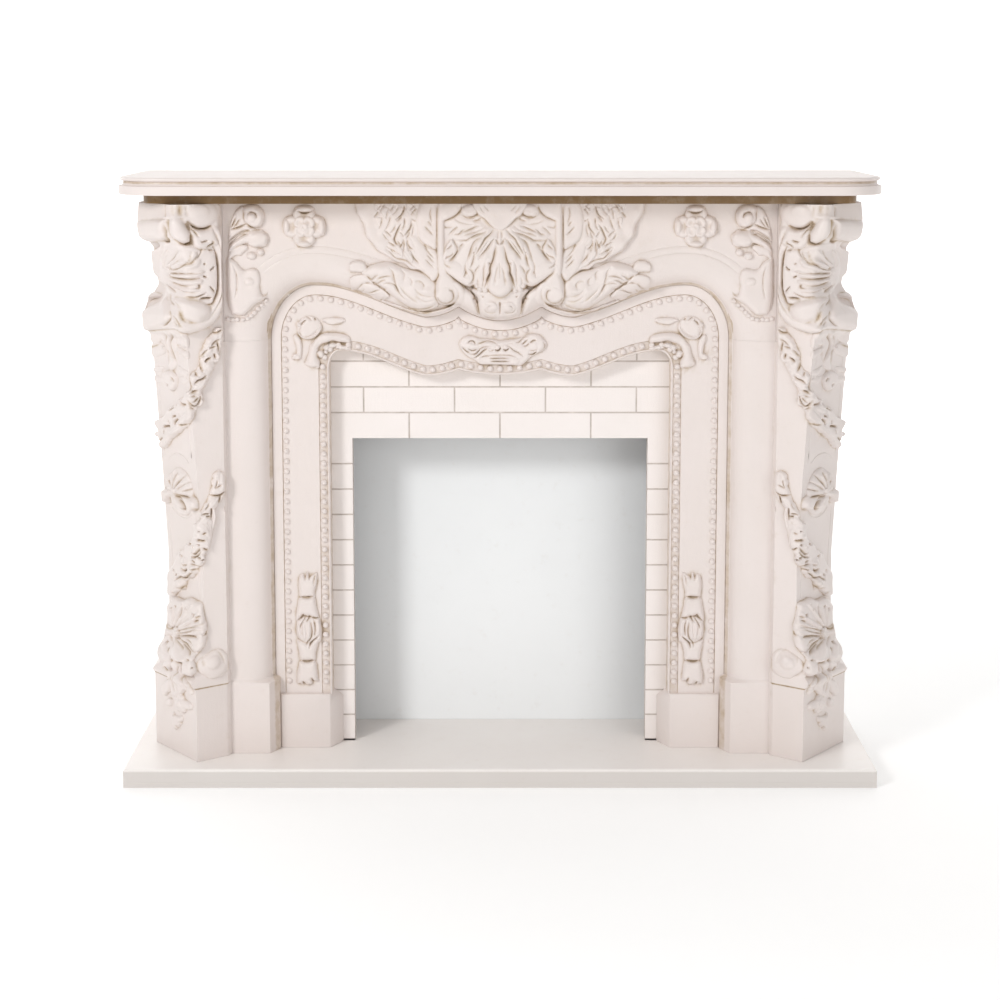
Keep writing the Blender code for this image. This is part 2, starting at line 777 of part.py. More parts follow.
def pier_projection(z):
    """How far the pier's canted face stands beyond its plinth at a height."""
    plinth_top = HEARTH_TOP + PIER_PLINTH_HEIGHT
    if z <= plinth_top:
        return 0.0
    share = (z - plinth_top) / (FRIEZE_TOP - plinth_top)
    for (low, start), (high, end) in zip(PIER_LINE, PIER_LINE[1:]):
        if share <= high:
            return between(start, end, (share - low) / (high - low))
    return PIER_LINE[-1][1]


def leg_outline(z):
    """Plan of the right leg at a height, from its inner back edge round the front to its outer one."""
    jamb_plinth_top = HEARTH_TOP + JAMB_PLINTH_HEIGHT
    low = 1.0 - smooth((z - jamb_plinth_top) / PLINTH_WEATHERING)
    face = WALL - JAMB_FACE
    inner = ARCH_SIDE - PLINTH_STEP * low
    outer = FRIEZE_HALF
    jamb = [(inner, WALL)]
    shaft = [(ARCH_SIDE + step, face + mould_sink(step)) for step in MOULD_STEPS] + [(outer - 0.002, face)]
    front = face - PLINTH_PROUD
    chamfer_end = ARCH_SIDE - PLINTH_STEP + PLINTH_CHAMFER
    plinth_x = [inner, chamfer_end, between(chamfer_end, outer, 0.25), between(chamfer_end, outer, 0.5),
                between(chamfer_end, outer, 0.75), outer - 0.002]
    plinth = [(x, front) for x in plinth_x]
    plinth[0] = (inner, front + PLINTH_CHAMFER_DEPTH)
    jamb += [tuple(Vector(a).lerp(Vector(b), low)) for a, b in zip(shaft, plinth)]
    if z > SPRING + SPLICE / 2:
        jamb = [(outer, between(WALL, face, index / (len(jamb) - 1))) for index in range(len(jamb))]

    along = Vector((math.cos(PIER_TURN), math.sin(PIER_TURN)))
    outward = Vector((math.sin(PIER_TURN), -math.cos(PIER_TURN)))
    on_plinth = 1.0 - smooth((z - HEARTH_TOP - PIER_PLINTH_HEIGHT) / 0.030)
    start = SHAFT_INSET_NEAR * (1.0 - on_plinth)
    end = PIER_FACE - SHAFT_INSET_FAR * (1.0 - on_plinth)
    plinth_corner = Vector((ARCH_SIDE + PIER_CORNER_X, WALL - PIER_CORNER_DEPTH))
    corner = plinth_corner + outward * pier_projection(z)
    near, far = corner + along * start, corner + along * end
    root = plinth_corner - outward * PIER_RETURN
    root.x = max(root.x, outer + 0.001)
    return jamb + [tuple(root), tuple(near), tuple(far), (far.x, WALL)]


def leg_stations():
    """Distances round the plan of the leg at which its corners lie, measured on the shaft."""
    outline = leg_outline(between(HEARTH_TOP, SPRING, 0.5))
    stations = [0.0]
    for start, end in zip(outline, outline[1:]):
        stations.append(stations[-1] + (Vector(end) - Vector(start)).length)
    return stations


def leg_ornaments(stations):
    """The carving of a leg, placed by distance round its plan and by height."""
    root, near, far = stations[-4], stations[-3], stations[-2]
    face = far - near
    middle = (near + far) / 2
    top = FRIEZE_TOP
    scroll_level = HEARTH_TOP + PIER_PLINTH_HEIGHT + 0.046
    shell_level = scroll_level + 0.063
    medallion_level = shell_level + 0.296
    full_turn = 2.0 * math.pi
    capital_foot = top - 0.258
    upper_garland = curve((root + 0.016, capital_foot), (near - 0.02, capital_foot - 0.110),
                          (far - 0.010, capital_foot - 0.205), 8)
    lower_garland = curve((root + 0.016, capital_foot - 0.285), (near - 0.02, capital_foot - 0.390),
                          (far - 0.014, capital_foot - 0.490), 8)
    drop = [(middle, capital_foot + 0.004 - 0.024 * index) for index in range(5)]
    husk = [(middle, scroll_level + 0.012 - 0.026 * index) for index in range(6)]
    return [
        boss((near - 0.012, top - 0.026), 0.034, 0.027, 0.030, 10),
        boss((middle - 0.030, top - 0.058), 0.030, 0.028, 0.024),
        boss((middle + 0.036, top - 0.056), 0.026, 0.026, 0.022),
        fan((middle, top - 0.136), 0.0, full_turn, 0.062, 1.25, 0.030, 8, 0.8),
        fan((middle, top - 0.190), math.radians(190), math.radians(350), 0.068, 1.30, 0.030, 6, 0.4),
        leaf(curve((root + 0.020, top - 0.052), (root - 0.004, top - 0.235), (near + 0.02, top - 0.250), 8),
             0.026, 0.022, 0.3),
        boss((near + 0.020, top - 0.212), 0.040, 0.026, 0.020),
        leaf(drop, 0.074, 0.014, 0.4),
        boss((middle, capital_foot - 0.100), 0.017, 0.018, 0.016, 6),
        garland(upper_garland, 0.026, 0.022),
        fan((middle, medallion_level), 0.0, full_turn, 0.050, 1.05, 0.032, 7, 1.0),
        garland(lower_garland, 0.026, 0.022),
        fan((middle, shell_level), 0.0, full_turn, 0.064, 1.08, 0.042, 9, 1.0),
        leaf(husk, 0.064, 0.016, 0.4),
        boss((middle, scroll_level - 0.092), 0.017, 0.018, 0.018, 6),
        boss((near - 0.014, scroll_level), 0.030, 0.027, 0.016, 10),
    ]


def build_leg(name, mirror, finish):
    """One leg: a canted console pier and a rounded jamb on their plinths, cast as one."""
    foot = HEARTH_TOP + GAP
    stations = leg_stations()
    width = stations[-1]
    ornaments = leg_ornaments(stations)
    plinth_top = HEARTH_TOP + PIER_PLINTH_HEIGHT
    jamb_plinth_top = HEARTH_TOP + JAMB_PLINTH_HEIGHT
    outline = [(0.0, foot), (width, foot), (width, FRIEZE_TOP), (0.0, FRIEZE_TOP)]
    pier_levels = [plinth_top + share * (FRIEZE_TOP - plinth_top) for share, _ in PIER_LINE[:-1]]
    guides = [[(station, foot), (station, FRIEZE_TOP)] for station in stations[1:-1]]
    guides += [[(stations[-4], level), (width, level)] for level in pier_levels + [plinth_top - 0.001]]
    jamb_levels = [jamb_plinth_top, jamb_plinth_top + PLINTH_WEATHERING / 2,
                   jamb_plinth_top + PLINTH_WEATHERING, SPRING, SPRING + SPLICE]
    guides += [[(0.0, level), (stations[-4], level)] for level in jamb_levels]
    margin = 0.0015
    for ornament in ornaments:
        for line in ornament.guides:
            guides.append([(min(max(a, margin), width - margin), min(z, FRIEZE_TOP - margin)) for a, z in line])

    def place(a, z):
        level = z
        if abs(z - SPRING) < SPLICE / 4:
            level = SPRING
        plan = leg_outline(level)
        segment = 0
        while segment < len(stations) - 2 and a > stations[segment + 1] + 0.00005:
            segment += 1
        share = (a - stations[segment]) / (stations[segment + 1] - stations[segment])
        share = min(max(share, 0.0), 1.0)
        start, end = Vector(plan[segment]), Vector(plan[segment + 1])
        run = (end - start).normalized()
        out = Vector((run.y, -run.x))
        if share > 0.999 and 0 < segment < len(plan) - 2:
            ahead = (Vector(plan[segment + 2]) - end).normalized()
            out = (out + Vector((ahead.y, -ahead.x))).normalized()
        point = start.lerp(end, share) + out * tallest(ornaments, a, z)
        return (mirror * point.x, point.y, z)

    bm = bmesh.new()
    loop = carved_surface(bm, outline, guides, place)
    edge = 0.00005
    bottom = [corner for point, corner in loop if point.y < foot + edge]
    top = [corner for point, corner in loop if point.y > FRIEZE_TOP - edge]
    inner_back = [corner for point, corner in loop if point.x < edge]
    outer_back = [corner for point, corner in loop if point.x > width - edge]
    for side in (bottom, top):
        bm.faces.new(side)
    inner_back.sort(key=lambda corner: corner.co.z)
    outer_back.sort(key=lambda corner: -corner.co.z)
    bm.faces.new(inner_back + outer_back)
    return add_object(name, bm, finish)


def clear_scene():
    """Remove whatever the file held before."""
    for existing in list(bpy.data.objects):
        bpy.data.objects.remove(existing, do_unlink=True)


def main():
    """Build the eight pieces of the mantel."""
    clear_scene()
    ivory = material("ivory_paint", (0.80, 0.75, 0.70), 0.45)
    hearth_finish = material("hearth_paint", (0.82, 0.79, 0.75), 0.40)
    brick_finish = material("brick_paint", (0.78, 0.74, 0.71), 0.50)
    board_finish = material("board_paint", (0.84, 0.83, 0.82), 0.60)
    build_hearth(hearth_finish)
    build_leg("leg_left", -1, ivory)
    build_leg("leg_right", 1, ivory)
    build_frieze(ivory)
    build_shelf(ivory)
    build_frame(ivory)
    build_brick_panel(brick_finish)
    build_back_board(board_finish)


main()
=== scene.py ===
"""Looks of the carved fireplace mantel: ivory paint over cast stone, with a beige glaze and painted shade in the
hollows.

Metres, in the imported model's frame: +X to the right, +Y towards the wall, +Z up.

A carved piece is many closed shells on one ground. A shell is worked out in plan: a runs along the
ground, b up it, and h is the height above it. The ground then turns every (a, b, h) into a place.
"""

import math

import bpy
import numpy as np
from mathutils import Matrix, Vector


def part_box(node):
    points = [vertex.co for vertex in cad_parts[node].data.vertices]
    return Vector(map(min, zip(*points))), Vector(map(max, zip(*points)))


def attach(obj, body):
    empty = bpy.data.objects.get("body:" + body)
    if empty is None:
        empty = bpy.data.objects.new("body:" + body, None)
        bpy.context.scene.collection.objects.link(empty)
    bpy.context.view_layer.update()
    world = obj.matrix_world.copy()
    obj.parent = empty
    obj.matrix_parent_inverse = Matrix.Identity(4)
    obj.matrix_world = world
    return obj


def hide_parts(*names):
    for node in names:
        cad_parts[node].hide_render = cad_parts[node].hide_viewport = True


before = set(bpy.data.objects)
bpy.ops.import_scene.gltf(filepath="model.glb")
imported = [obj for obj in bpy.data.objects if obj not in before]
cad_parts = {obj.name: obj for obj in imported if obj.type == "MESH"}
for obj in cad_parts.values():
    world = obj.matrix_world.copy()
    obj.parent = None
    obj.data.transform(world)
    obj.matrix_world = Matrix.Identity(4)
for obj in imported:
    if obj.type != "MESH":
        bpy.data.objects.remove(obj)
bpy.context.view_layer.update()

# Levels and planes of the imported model
HEARTH_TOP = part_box("hearth_slab")[1].z
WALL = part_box("hearth_slab")[1].y
FRIEZE_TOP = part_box("frieze")[1].z
SHELF_LOW, SHELF_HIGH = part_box("shelf")
FRAME_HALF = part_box("arched_frame")[1].x
PANEL_LOW, PANEL_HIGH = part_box("brick_panel")
GAP = 0.0003

# Arch line, as in the part's source
ARCH_SIDE = 0.460
SPRING = HEARTH_TOP + 0.845
CROWN = SPRING + 0.109
ARCH_CORNER = 0.089
DIP_X, DIP_DROP = 0.150, 0.065
CUSP_X, CUSP_DROP = 0.083, 0.044
MIDDLE_DROP = 0.072
INNER_SIDE = ARCH_SIDE - 0.116
INNER_CORNER, INNER_CORNER_RISE = 0.025, 0.033
INNER_CROWN_DROP, INNER_DIP_DROP = 0.134, 0.185
INNER_CREST_DROP, INNER_MIDDLE_DROP = 0.172, 0.183

# Planes of the faces, and the rounded moulding along the arch
JAMB_FACE = WALL - 0.300
FRAME_FACE = WALL - 0.255
BRICK_FACE = WALL - 0.215
FRIEZE_BACK = WALL - 0.195
FRIEZE_HALF = ARCH_SIDE + 0.088
MOULD_WIDTH, MOULD_FILLET = 0.062, 0.007
MOULD_SINK, MOULD_FILLET_SINK = 0.043, 0.035

# Leg: plinths, and the pier turned outwards
JAMB_PLINTH_TOP = HEARTH_TOP + 0.147
PLINTH_STEP, PLINTH_CHAMFER, PLINTH_CHAMFER_DEPTH = 0.010, 0.018, 0.032
PLINTH_PROUD, PLINTH_WEATHERING = 0.004, 0.006
PIER_PLINTH_TOP = HEARTH_TOP + 0.150
PIER_TURN = math.radians(52.8)
PIER_CORNER = np.array([ARCH_SIDE + 0.148, WALL - 0.362])
PIER_FACE, PIER_RETURN = 0.172, 0.0726
SHAFT_INSET_NEAR, SHAFT_INSET_FAR = 0.012, 0.017
PIER_SHARES = (0.0, 0.003, 0.010, 0.018, 0.021, 0.030, 0.045, 0.060, 0.074, 0.100, 0.260, 0.440, 0.580,
               0.728, 0.734, 0.775, 0.805, 0.828, 0.860, 0.905, 0.930, 0.965, 1.0)
PIER_PROJECTIONS = (0.0, 0.004, 0.008, 0.004, -0.006, 0.000, 0.004, 0.000, -0.018, -0.026, -0.028, -0.018,
                    -0.009, 0.000, 0.010, 0.012, -0.002, -0.018, -0.012, -0.008, 0.012, 0.018, 0.014)

# Width of the pier's return and of its face on the carving's plan
RETURN = 0.062
FACE = 0.143
CENTRE = FACE / 2

# Camera: focal length in pixels of the 1000-pixel frame, tilt, height and depth
FOCAL, TILT, CAMERA_Y, CAMERA_Z = 2126.1, 0.1317, -4.292, 1.3774
SIGHT_ROW = 500 - 0.1283 * 1000

# Studio lights: name, place, aim, size and power
LAMPS = (
    ("key", (-2.6, -3.4, 2.7), (0.0, 0.0, 0.62), 0.9, 80.0),
    ("fill", (2.4, -3.8, 1.0), (0.0, 0.0, 0.45), 2.4, 34.0),
    ("top", (0.0, -0.9, 4.0), (0.0, 0.1, 0.4), 2.2, 14.0),
)
WORLD_STRENGTH = 0.42

# How far a shell goes into the ground it stands on
SUNK = 0.003


def ease(t):
    """Gentle step: 3 t^2 - 2 t^3 between 0 and 1."""
    t = np.clip(t, 0.0, 1.0)
    return t * t * (3.0 - 2.0 * t)


def spline(knots, count):
    """Catmull-Rom curve through the knots, read off again at even steps of its length.

    The first two columns are the plan; any other column, such as a level, is carried along.
    """
    knots = np.asarray(knots, float)
    ends = np.vstack([2 * knots[0] - knots[1], knots, 2 * knots[-1] - knots[-2]])
    t = np.linspace(0, len(knots) - 1, 16 * len(knots))
    piece = np.minimum(t.astype(int), len(knots) - 2)
    f = (t - piece)[:, None]
    before, start, end, after = (ends[piece + step] for step in range(4))
    curve = 0.5 * (2 * start + (end - before) * f + (2 * before - 5 * start + 4 * end - after) * f ** 2
                   + (3 * start - before - 3 * end + after) * f ** 3)
    run = np.concatenate([[0.0], np.cumsum(np.hypot(*np.diff(curve[:, :2], axis=0).T))])
    even = np.linspace(0, run[-1], count)
    return np.column_stack([np.interp(even, run, column) for column in curve.T])


def sight(knots):
    """Pixels of the photograph's 1000-pixel frame as sight lines: x and z gained for each metre of y."""
    knots = np.asarray(knots, float)
    fall = np.tan(TILT + np.arctan((knots[:, 1] - SIGHT_ROW) / FOCAL))
    deep = math.cos(TILT) + fall * math.sin(TILT)
    return (knots[:, 0] - 500) / FOCAL * deep, -fall


def on_upright(face):
    """Turn pixels into plan places on the upright plane y = face, for forms that stand level proud of it."""

    def place(knots, level):
        knots = np.asarray(knots, float)
        across, rise = sight(knots)
        run = face - np.asarray(level) - CAMERA_Y
        return np.column_stack([across * run, CAMERA_Z + rise * run, knots[:, 2:]])

    return place


def directions(curve):
    """Unit tangents of a plan curve, and the unit normals to their left."""
    tangent = np.gradient(curve[:, :2], axis=0)
    tangent /= np.maximum(np.linalg.norm(tangent, axis=1, keepdims=True), 1e-9)
    return tangent, np.column_stack([-tangent[:, 1], tangent[:, 0]])


def grid_quads(index):
    """Four-cornered faces between neighbouring rows and columns of corner numbers."""
    return np.stack([index[:-1, :-1], index[:-1, 1:], index[1:, 1:], index[1:, :-1]], -1).reshape(-1, 4)


class Carving:
    """Closed shells in plan: for each its corners (a, b, h), its faces and how hollow each corner is."""

    def __init__(self):
        self.shells = []

    def keep(self, plan, quads, triangles, hollow=0.0):
        """Add one shell."""
        hollow = np.broadcast_to(np.asarray(hollow, float), (len(plan),))
        self.shells.append((plan, quads, np.asarray(triangles).reshape(-1, 3), hollow))

    def sheet(self, a, b, h, sunk=SUNK, cut_glaze_and_shade=None):
        """A patch on a grid: a skirt goes down from its rim into the ground, and a fan closes it there."""
        rows, columns = a.shape
        index = np.arange(rows * columns).reshape(rows, columns)
        rim = np.concatenate([index[0, :-1], index[:-1, -1], index[-1, :0:-1], index[:0:-1, 0]])
        self.close(np.stack([a, b, h], -1).reshape(-1, 3), grid_quads(index), np.zeros((0, 3), int), rim, sunk, cut_glaze_and_shade)

    def disc(self, a, b, h, sunk=SUNK):
        """Rings from the middle out, whose first ring is one point, closed like a sheet."""
        rows, columns = a.shape
        index = np.arange(rows * columns).reshape(rows, columns)
        index = np.column_stack([index, index[:, 0]])
        plan = np.stack([a, b, h], -1).reshape(-1, 3)
        middle = len(plan)
        plan = np.vstack([plan, plan[:columns].mean(0)])
        cap = np.stack([index[0, 1:], index[0, :-1], np.full(columns, middle)], -1)
        self.close(plan, grid_quads(index), cap, index[-1, :0:-1], sunk)

    def close(self, plan, quads, triangles, rim, sunk, cut_glaze_and_shade=None):
        """Close a shell whose open rim runs with the faces beside it."""
        hollow = 0.0 if cut_glaze_and_shade is None else np.concatenate([np.ravel(cut_glaze_and_shade), np.zeros(len(rim) + 1)])
        foot = plan[rim].copy()
        foot[:, 2] = -sunk
        low = np.arange(len(rim)) + len(plan)
        under = len(plan) + len(rim)
        ahead, low_ahead = np.roll(rim, -1), np.roll(low, -1)
        skirt = np.stack([ahead, rim, low, low_ahead], -1)
        fan = np.stack([low_ahead, low, np.full(len(rim), under)], -1)
        plan = np.vstack([plan, foot, foot.mean(0)])
        self.keep(plan, np.vstack([quads, skirt]), np.vstack([triangles, fan]), hollow)

    def tube(self, a, b, h, hollow=0.0):
        """Rings along a line, the last joined to nothing: both ends are closed by fans."""
        rows, columns = a.shape
        index = np.arange(rows * columns).reshape(rows, columns)
        index = np.column_stack([index, index[:, 0]])
        plan = np.stack([a, b, h], -1).reshape(-1, 3)
        first, last = len(plan), len(plan) + 1
        plan = np.vstack([plan, plan[:columns].mean(0), plan[-columns:].mean(0)])
        start = np.stack([index[0, 1:], index[0, :-1], np.full(columns, first)], -1)
        end = np.stack([index[-1, :-1], index[-1, 1:], np.full(columns, last)], -1)
        if not np.isscalar(hollow):
            hollow = np.concatenate([np.ravel(hollow), [0.0, 0.0]])
        self.keep(plan, grid_quads(index), np.vstack([start, end]), hollow)

    def add(self, other):
        """Take in the shells of another carving."""
        self.shells += other.shells

    def mirrored(self, about=0.0):
        """The same shells on the other side of the line a = about."""
        other = Carving()
        for plan, quads, triangles, hollow in self.shells:
            turned = plan * [-1.0, 1.0, 1.0] + [2 * about, 0.0, 0.0]
            other.shells.append((turned, quads, triangles, hollow))
        return other


# Relief worked out as heights on a grid


def closed(knots, spacing=0.002):
    """Smooth ring through the knots, sampled evenly."""
    knots = np.asarray(knots, float)
    around = np.vstack([knots[-1:], knots, knots[:2]])
    length = np.linalg.norm(np.diff(around, axis=0), axis=1).sum()
    curve = spline(around, max(24, int(length / spacing)))
    first = np.hypot(*(curve[:len(curve) // 2] - knots[0]).T).argmin()
    last = len(curve) // 2 + np.hypot(*(curve[len(curve) // 2:] - knots[0]).T).argmin()
    return curve[first:last + 1]


def nearest(points, curve):
    """Distance from plan points to a line of straight pieces, positive on its left, and the share of the
    line's length where each is met."""
    start, run = curve[:-1, :2], np.diff(curve[:, :2], axis=0)
    square = np.maximum((run ** 2).sum(1), 1e-12)
    away = points[:, None] - start[None]
    share = np.clip((away * run).sum(2) / square, 0, 1)
    gap = away - share[..., None] * run
    distance = (gap ** 2).sum(2)
    best = distance.argmin(1)
    row = np.arange(len(points))
    turned = run[best, 0] * away[row, best, 1] - run[best, 1] * away[row, best, 0]
    along = np.concatenate([[0.0], np.cumsum(np.sqrt(square))])
    met = (along[best] + share[row, best] * np.sqrt(square[best])) / along[-1]
    return np.sqrt(distance[row, best]) * np.where(turned < 0, -1.0, 1.0), met


def within(points, ring):
    """Whether plan points lie in a closed ring, by counting the edges to their right."""
    x, y = points[:, :1], points[:, 1:]
    x0, y0 = ring[:, 0], ring[:, 1]
    x1, y1 = np.roll(x0, -1), np.roll(y0, -1)
    rise = np.where(y1 == y0, 1e-12, y1 - y0)
    crossed = ((y0 > y) != (y1 > y)) & (x < (x1 - x0) * (y - y0) / rise + x0)
    return crossed.sum(1) % 2 == 1


class Relief:
    """Heights above a ground on a grid of plan places. A form is laid on where it stands highest, a
    swell or a ridge lifts what is there, and a cut draws a line into it. place turns what a stroke is
    drawn in, such as pixels of the photograph, into plan places."""

    empty = -0.0045

    def __init__(self, a, b, place=None):
        self.shape = a.shape
        self.a, self.b = a.ravel(), b.ravel()
        self.h = np.full(a.size, self.empty)
        self.cut_glaze_and_shade = np.zeros(a.size)
        self.place = place or (lambda knots, level: np.asarray(knots, float))

    def near(self, line, reach):
        """Numbers and places of the grid points within reach of a line's box."""
        low, high = line[:, :2].min(0) - reach, line[:, :2].max(0) + reach
        chosen = np.flatnonzero((self.a > low[0]) & (self.a < high[0]) & (self.b > low[1]) & (self.b < high[1]))
        return chosen, np.column_stack([self.a[chosen], self.b[chosen]])

    def lay(self, chosen, heights):
        """Keep the greater height."""
        self.h[chosen] = np.maximum(self.h[chosen], heights)

    def lift(self, chosen, heights):
        """Add to forms that stand above the ground."""
        self.h[chosen] += heights * ease((self.h[chosen] + 0.0005) / 0.002)

    def line(self, knots, level=0.0, spacing=0.0025):
        """Smooth line through knots."""
        knots = self.place(knots, level)
        length = np.linalg.norm(np.diff(knots[:, :2], axis=0), axis=1).sum()
        return spline(knots, max(6, int(length / spacing)))

    def body(self, knots, height, edge, level=0.0, seen=None):
        """Form with a closed outline: it rises by height over the width edge as a quarter of an ellipse."""
        ring = closed(self.place(knots, level + height if seen is None else seen))
        chosen, points = self.near(ring, 0.005)
        depth = np.abs(nearest(points, ring)[0]) * np.where(within(points, ring), 1, -1)
        rise = 1 - np.clip(depth / edge, 0, 1)
        self.lay(chosen, np.where(depth < 0, level + 3.5 * depth, level + height * np.sqrt(1 - rise ** 2)))

    def swell(self, centre, size, height, turn=0.0, seen=0.0):
        """Lift by a smooth hill, height * exp(-u^2 - v^2), or sink by a hollow where height is negative."""
        middle = self.place([centre], seen)[0]
        chosen, points = self.near(middle[None], 2.6 * max(size))
        u, v = (points - middle[:2]).T
        u, v = (u * math.cos(turn) + v * math.sin(turn)) / size[0], (v * math.cos(turn) - u * math.sin(turn)) / size[1]
        self.lift(chosen, height * np.exp(-u ** 2 - v ** 2))

    def dome(self, centre, size, height, level=0.0, turn=0.0, dimple=0.0, seen=None):
        """Boss: height * (1 - u^2 - v^2)^0.5 on an ellipse, less a dimple in its middle."""
        middle = self.place([centre], level + height if seen is None else seen)[0]
        chosen, points = self.near(middle[None], 1.3 * max(size) + 0.003)
        u, v = (points - middle[:2]).T
        u, v = (u * math.cos(turn) + v * math.sin(turn)) / size[0], (v * math.cos(turn) - u * math.sin(turn)) / size[1]
        r = np.hypot(u, v)
        top = height * (np.sqrt(np.clip(1 - r ** 2, 0, 1)) - dimple * np.exp(-(r / 0.42) ** 2))
        self.lay(chosen, level + np.where(r > 1, -3.5 * min(size) * (r - 1), top))

    def ridge(self, knots, width, height, level=None, blunt=0.15, seen=None):
        """Rounded band along a line, height * (1 - (d / half width)^2)^0.5, drawn in at both ends. It is
        laid on at a level, or lifts what is there where no level is given. A third column of the knots
        is its level there, and a fourth one its width."""
        at = level if level is not None else 0.010
        line = self.line(knots, at + height if seen is None else seen)
        chosen, points = self.near(line, width)
        distance, s = nearest(points, line)
        grow = np.interp(s, np.linspace(0, 1, len(line)), line[:, 3]) if line.shape[1] > 3 else 1.0
        ends = np.sqrt(1 - (1 - np.clip(np.minimum(s, 1 - s) / blunt, 0.02, 1)) ** 2)
        half = width / 2 * ends * grow
        u = np.abs(distance) / half
        top = height * ends * np.sqrt(np.clip(1 - u ** 2, 0, 1))
        if level is None:
            self.lift(chosen, top)
        else:
            base = np.interp(s, np.linspace(0, 1, len(line)), line[:, 2]) if line.shape[1] > 2 else level
            self.lay(chosen, base + np.where(u > 1, -3.5 * (np.abs(distance) - half), top))

    def cut(self, knots, depth, width=0.0022, lean=0.0, fade=0.3, seen=0.012):
        """Line cut into the forms: depth * exp(-|d| / width), wider on its left by lean, fading at both
        ends."""
        line = self.line(knots, seen)
        chosen, points = self.near(line, 4 * width * (1 + abs(lean)))
        distance, s = nearest(points, line)
        reach = width * np.where(distance > 0, 1 + lean, 1 - lean)
        ends = np.sqrt(np.clip(np.minimum(s, 1 - s) / fade, 0, 1)) if fade else 1.0
        stroke = ends * np.exp(-np.abs(distance) / reach) * (np.minimum(s, 1 - s) > 0)
        self.lift(chosen, -depth * stroke)
        # Each cut is darkened: glaze in the cut, and painted shade where shade falls in it.
        self.cut_glaze_and_shade[chosen] = np.maximum(self.cut_glaze_and_shade[chosen], min(0.85, depth / 0.0095) * stroke)

    def leaf(self, knots, width, height, level=0.0, lobes=0, notch=0.3, veins=0, depth=0.25, lean=0.5, edge=0.35,
             groove=0.25, full=0.5, blunt=0.6, tip=0.0, seen=None):
        """Leaf along a line, with s from root to tip and u from -1 to 1 across. Half width: width / 2 *
        sin(pi * s^k)^blunt, widest at the share full, cut between its lobes by notch. Height: a rounded
        back on a thick edge, less a groove down the middle and veins that lean forwards by lean."""
        line = self.line(knots, level + height if seen is None else seen)
        chosen, points = self.near(line, 0.75 * width)
        distance, s = nearest(points, line)
        shape = np.sin(math.pi * np.clip(s, 0, 1) ** (math.log(0.5) / math.log(full))) ** blunt
        saw = np.abs(np.sin(math.pi * lobes * s)) ** 0.7 if lobes else 1.0
        half = width / 2 * (0.04 + 0.96 * shape) * (1 - notch * (1 - saw))
        u = np.abs(distance) / half
        base = np.interp(s, np.linspace(0, 1, len(line)), line[:, 2]) if line.shape[1] > 2 else level
        top = edge + (1 - edge) * np.sqrt(np.clip(1 - u ** 2, 0, 1)) * (0.4 + 0.6 * shape)
        top = top - groove * np.exp(-np.abs(distance) / (0.12 * width)) * ease((1 - s) / 0.25)
        if veins:
            phase = veins * (s - lean * width / 2 * u / max(0.01, np.hypot(*np.diff(line[[0, -1], :2], axis=0)[0])))
            top = top - depth * (0.5 + 0.5 * np.cos(2 * math.pi * phase)) ** 3 * ease(u * 2.5)
        top = base + height * top + tip * ease((s - 0.7) / 0.3)
        self.lay(chosen, np.where(u > 1, base - 3.5 * (np.abs(distance) - half), top))

    def fan(self, hinge, start, end, size, ribs, height, level=0.0, rim=0.4, depth=0.25, scallop=0.10, belly=0.75,
            wave=0.0, seen=None):
        """Shell: ribs from a hinge between two angles, in degrees, on an ellipse. With r outwards and q
        across, the height is sin(pi * r^belly) that ends on a thick rim, less depth in the furrows."""
        middle = self.place([hinge], level + height if seen is None else seen)[0]
        chosen, points = self.near(middle[None], 1.1 * max(size) + 0.003)
        u, v = (points - middle[:2]).T / np.array(size)[:, None]
        r = np.hypot(u, v)
        q = ((np.degrees(np.arctan2(v, u)) - start) % 360) / (end - start) + wave * np.sin(6 * r)
        furrow = np.abs(np.cos(math.pi * ribs * q)) ** 1.5
        reach = 1 - scallop * furrow
        r = r / reach
        swell = np.sin(math.pi * np.clip(r * 0.97, 0, 1) ** belly) ** 0.8
        top = height * (rim * r + (1 - rim * r) * swell - depth * furrow * ease(r * 3))
        slope = -3.5 * min(size) * (r - 1)
        gone = (q < 0) | (q > 1) if end - start < 360 else np.zeros(len(q), bool)
        self.lay(chosen, np.where(gone, self.empty, level + np.where(r > 1, slope, top)))

    def scroll(self, centre, radius, height, turns=1.5, hand=1, level=0.0, start=0.0, stretch=1.0, eye=0.28,
               groove=0.35, seen=None):
        """Scroll end: a thick disc with a spiral line at r * turns = hand * (angle - start) / 2 pi and a
        round eye."""
        middle = self.place([centre], level + height if seen is None else seen)[0]
        chosen, points = self.near(middle[None], 1.2 * radius * max(1, stretch) + 0.003)
        u, v = (points - middle[:2]).T / np.array([[radius], [radius * stretch]])
        r = np.hypot(u, v)
        phase = (r * turns - hand * (np.arctan2(v, u) - start) / (2 * math.pi)) % 1.0
        line = np.exp(-np.abs(phase - 0.5) * radius / turns / 0.0016) * ease((r - eye) / 0.1) * ease((1.05 - r) / 0.15)
        top = height * (np.clip(1 - r ** 4, 0, 1) ** 0.5 * (1 - 0.15 * r) - groove * line)
        top = np.maximum(top, height * 1.06 * np.sqrt(np.clip(1 - (r / max(eye, 0.001)) ** 2, 0, 1)))
        self.lay(chosen, level + np.where(r > 1, -3.5 * radius * (r - 1), top))

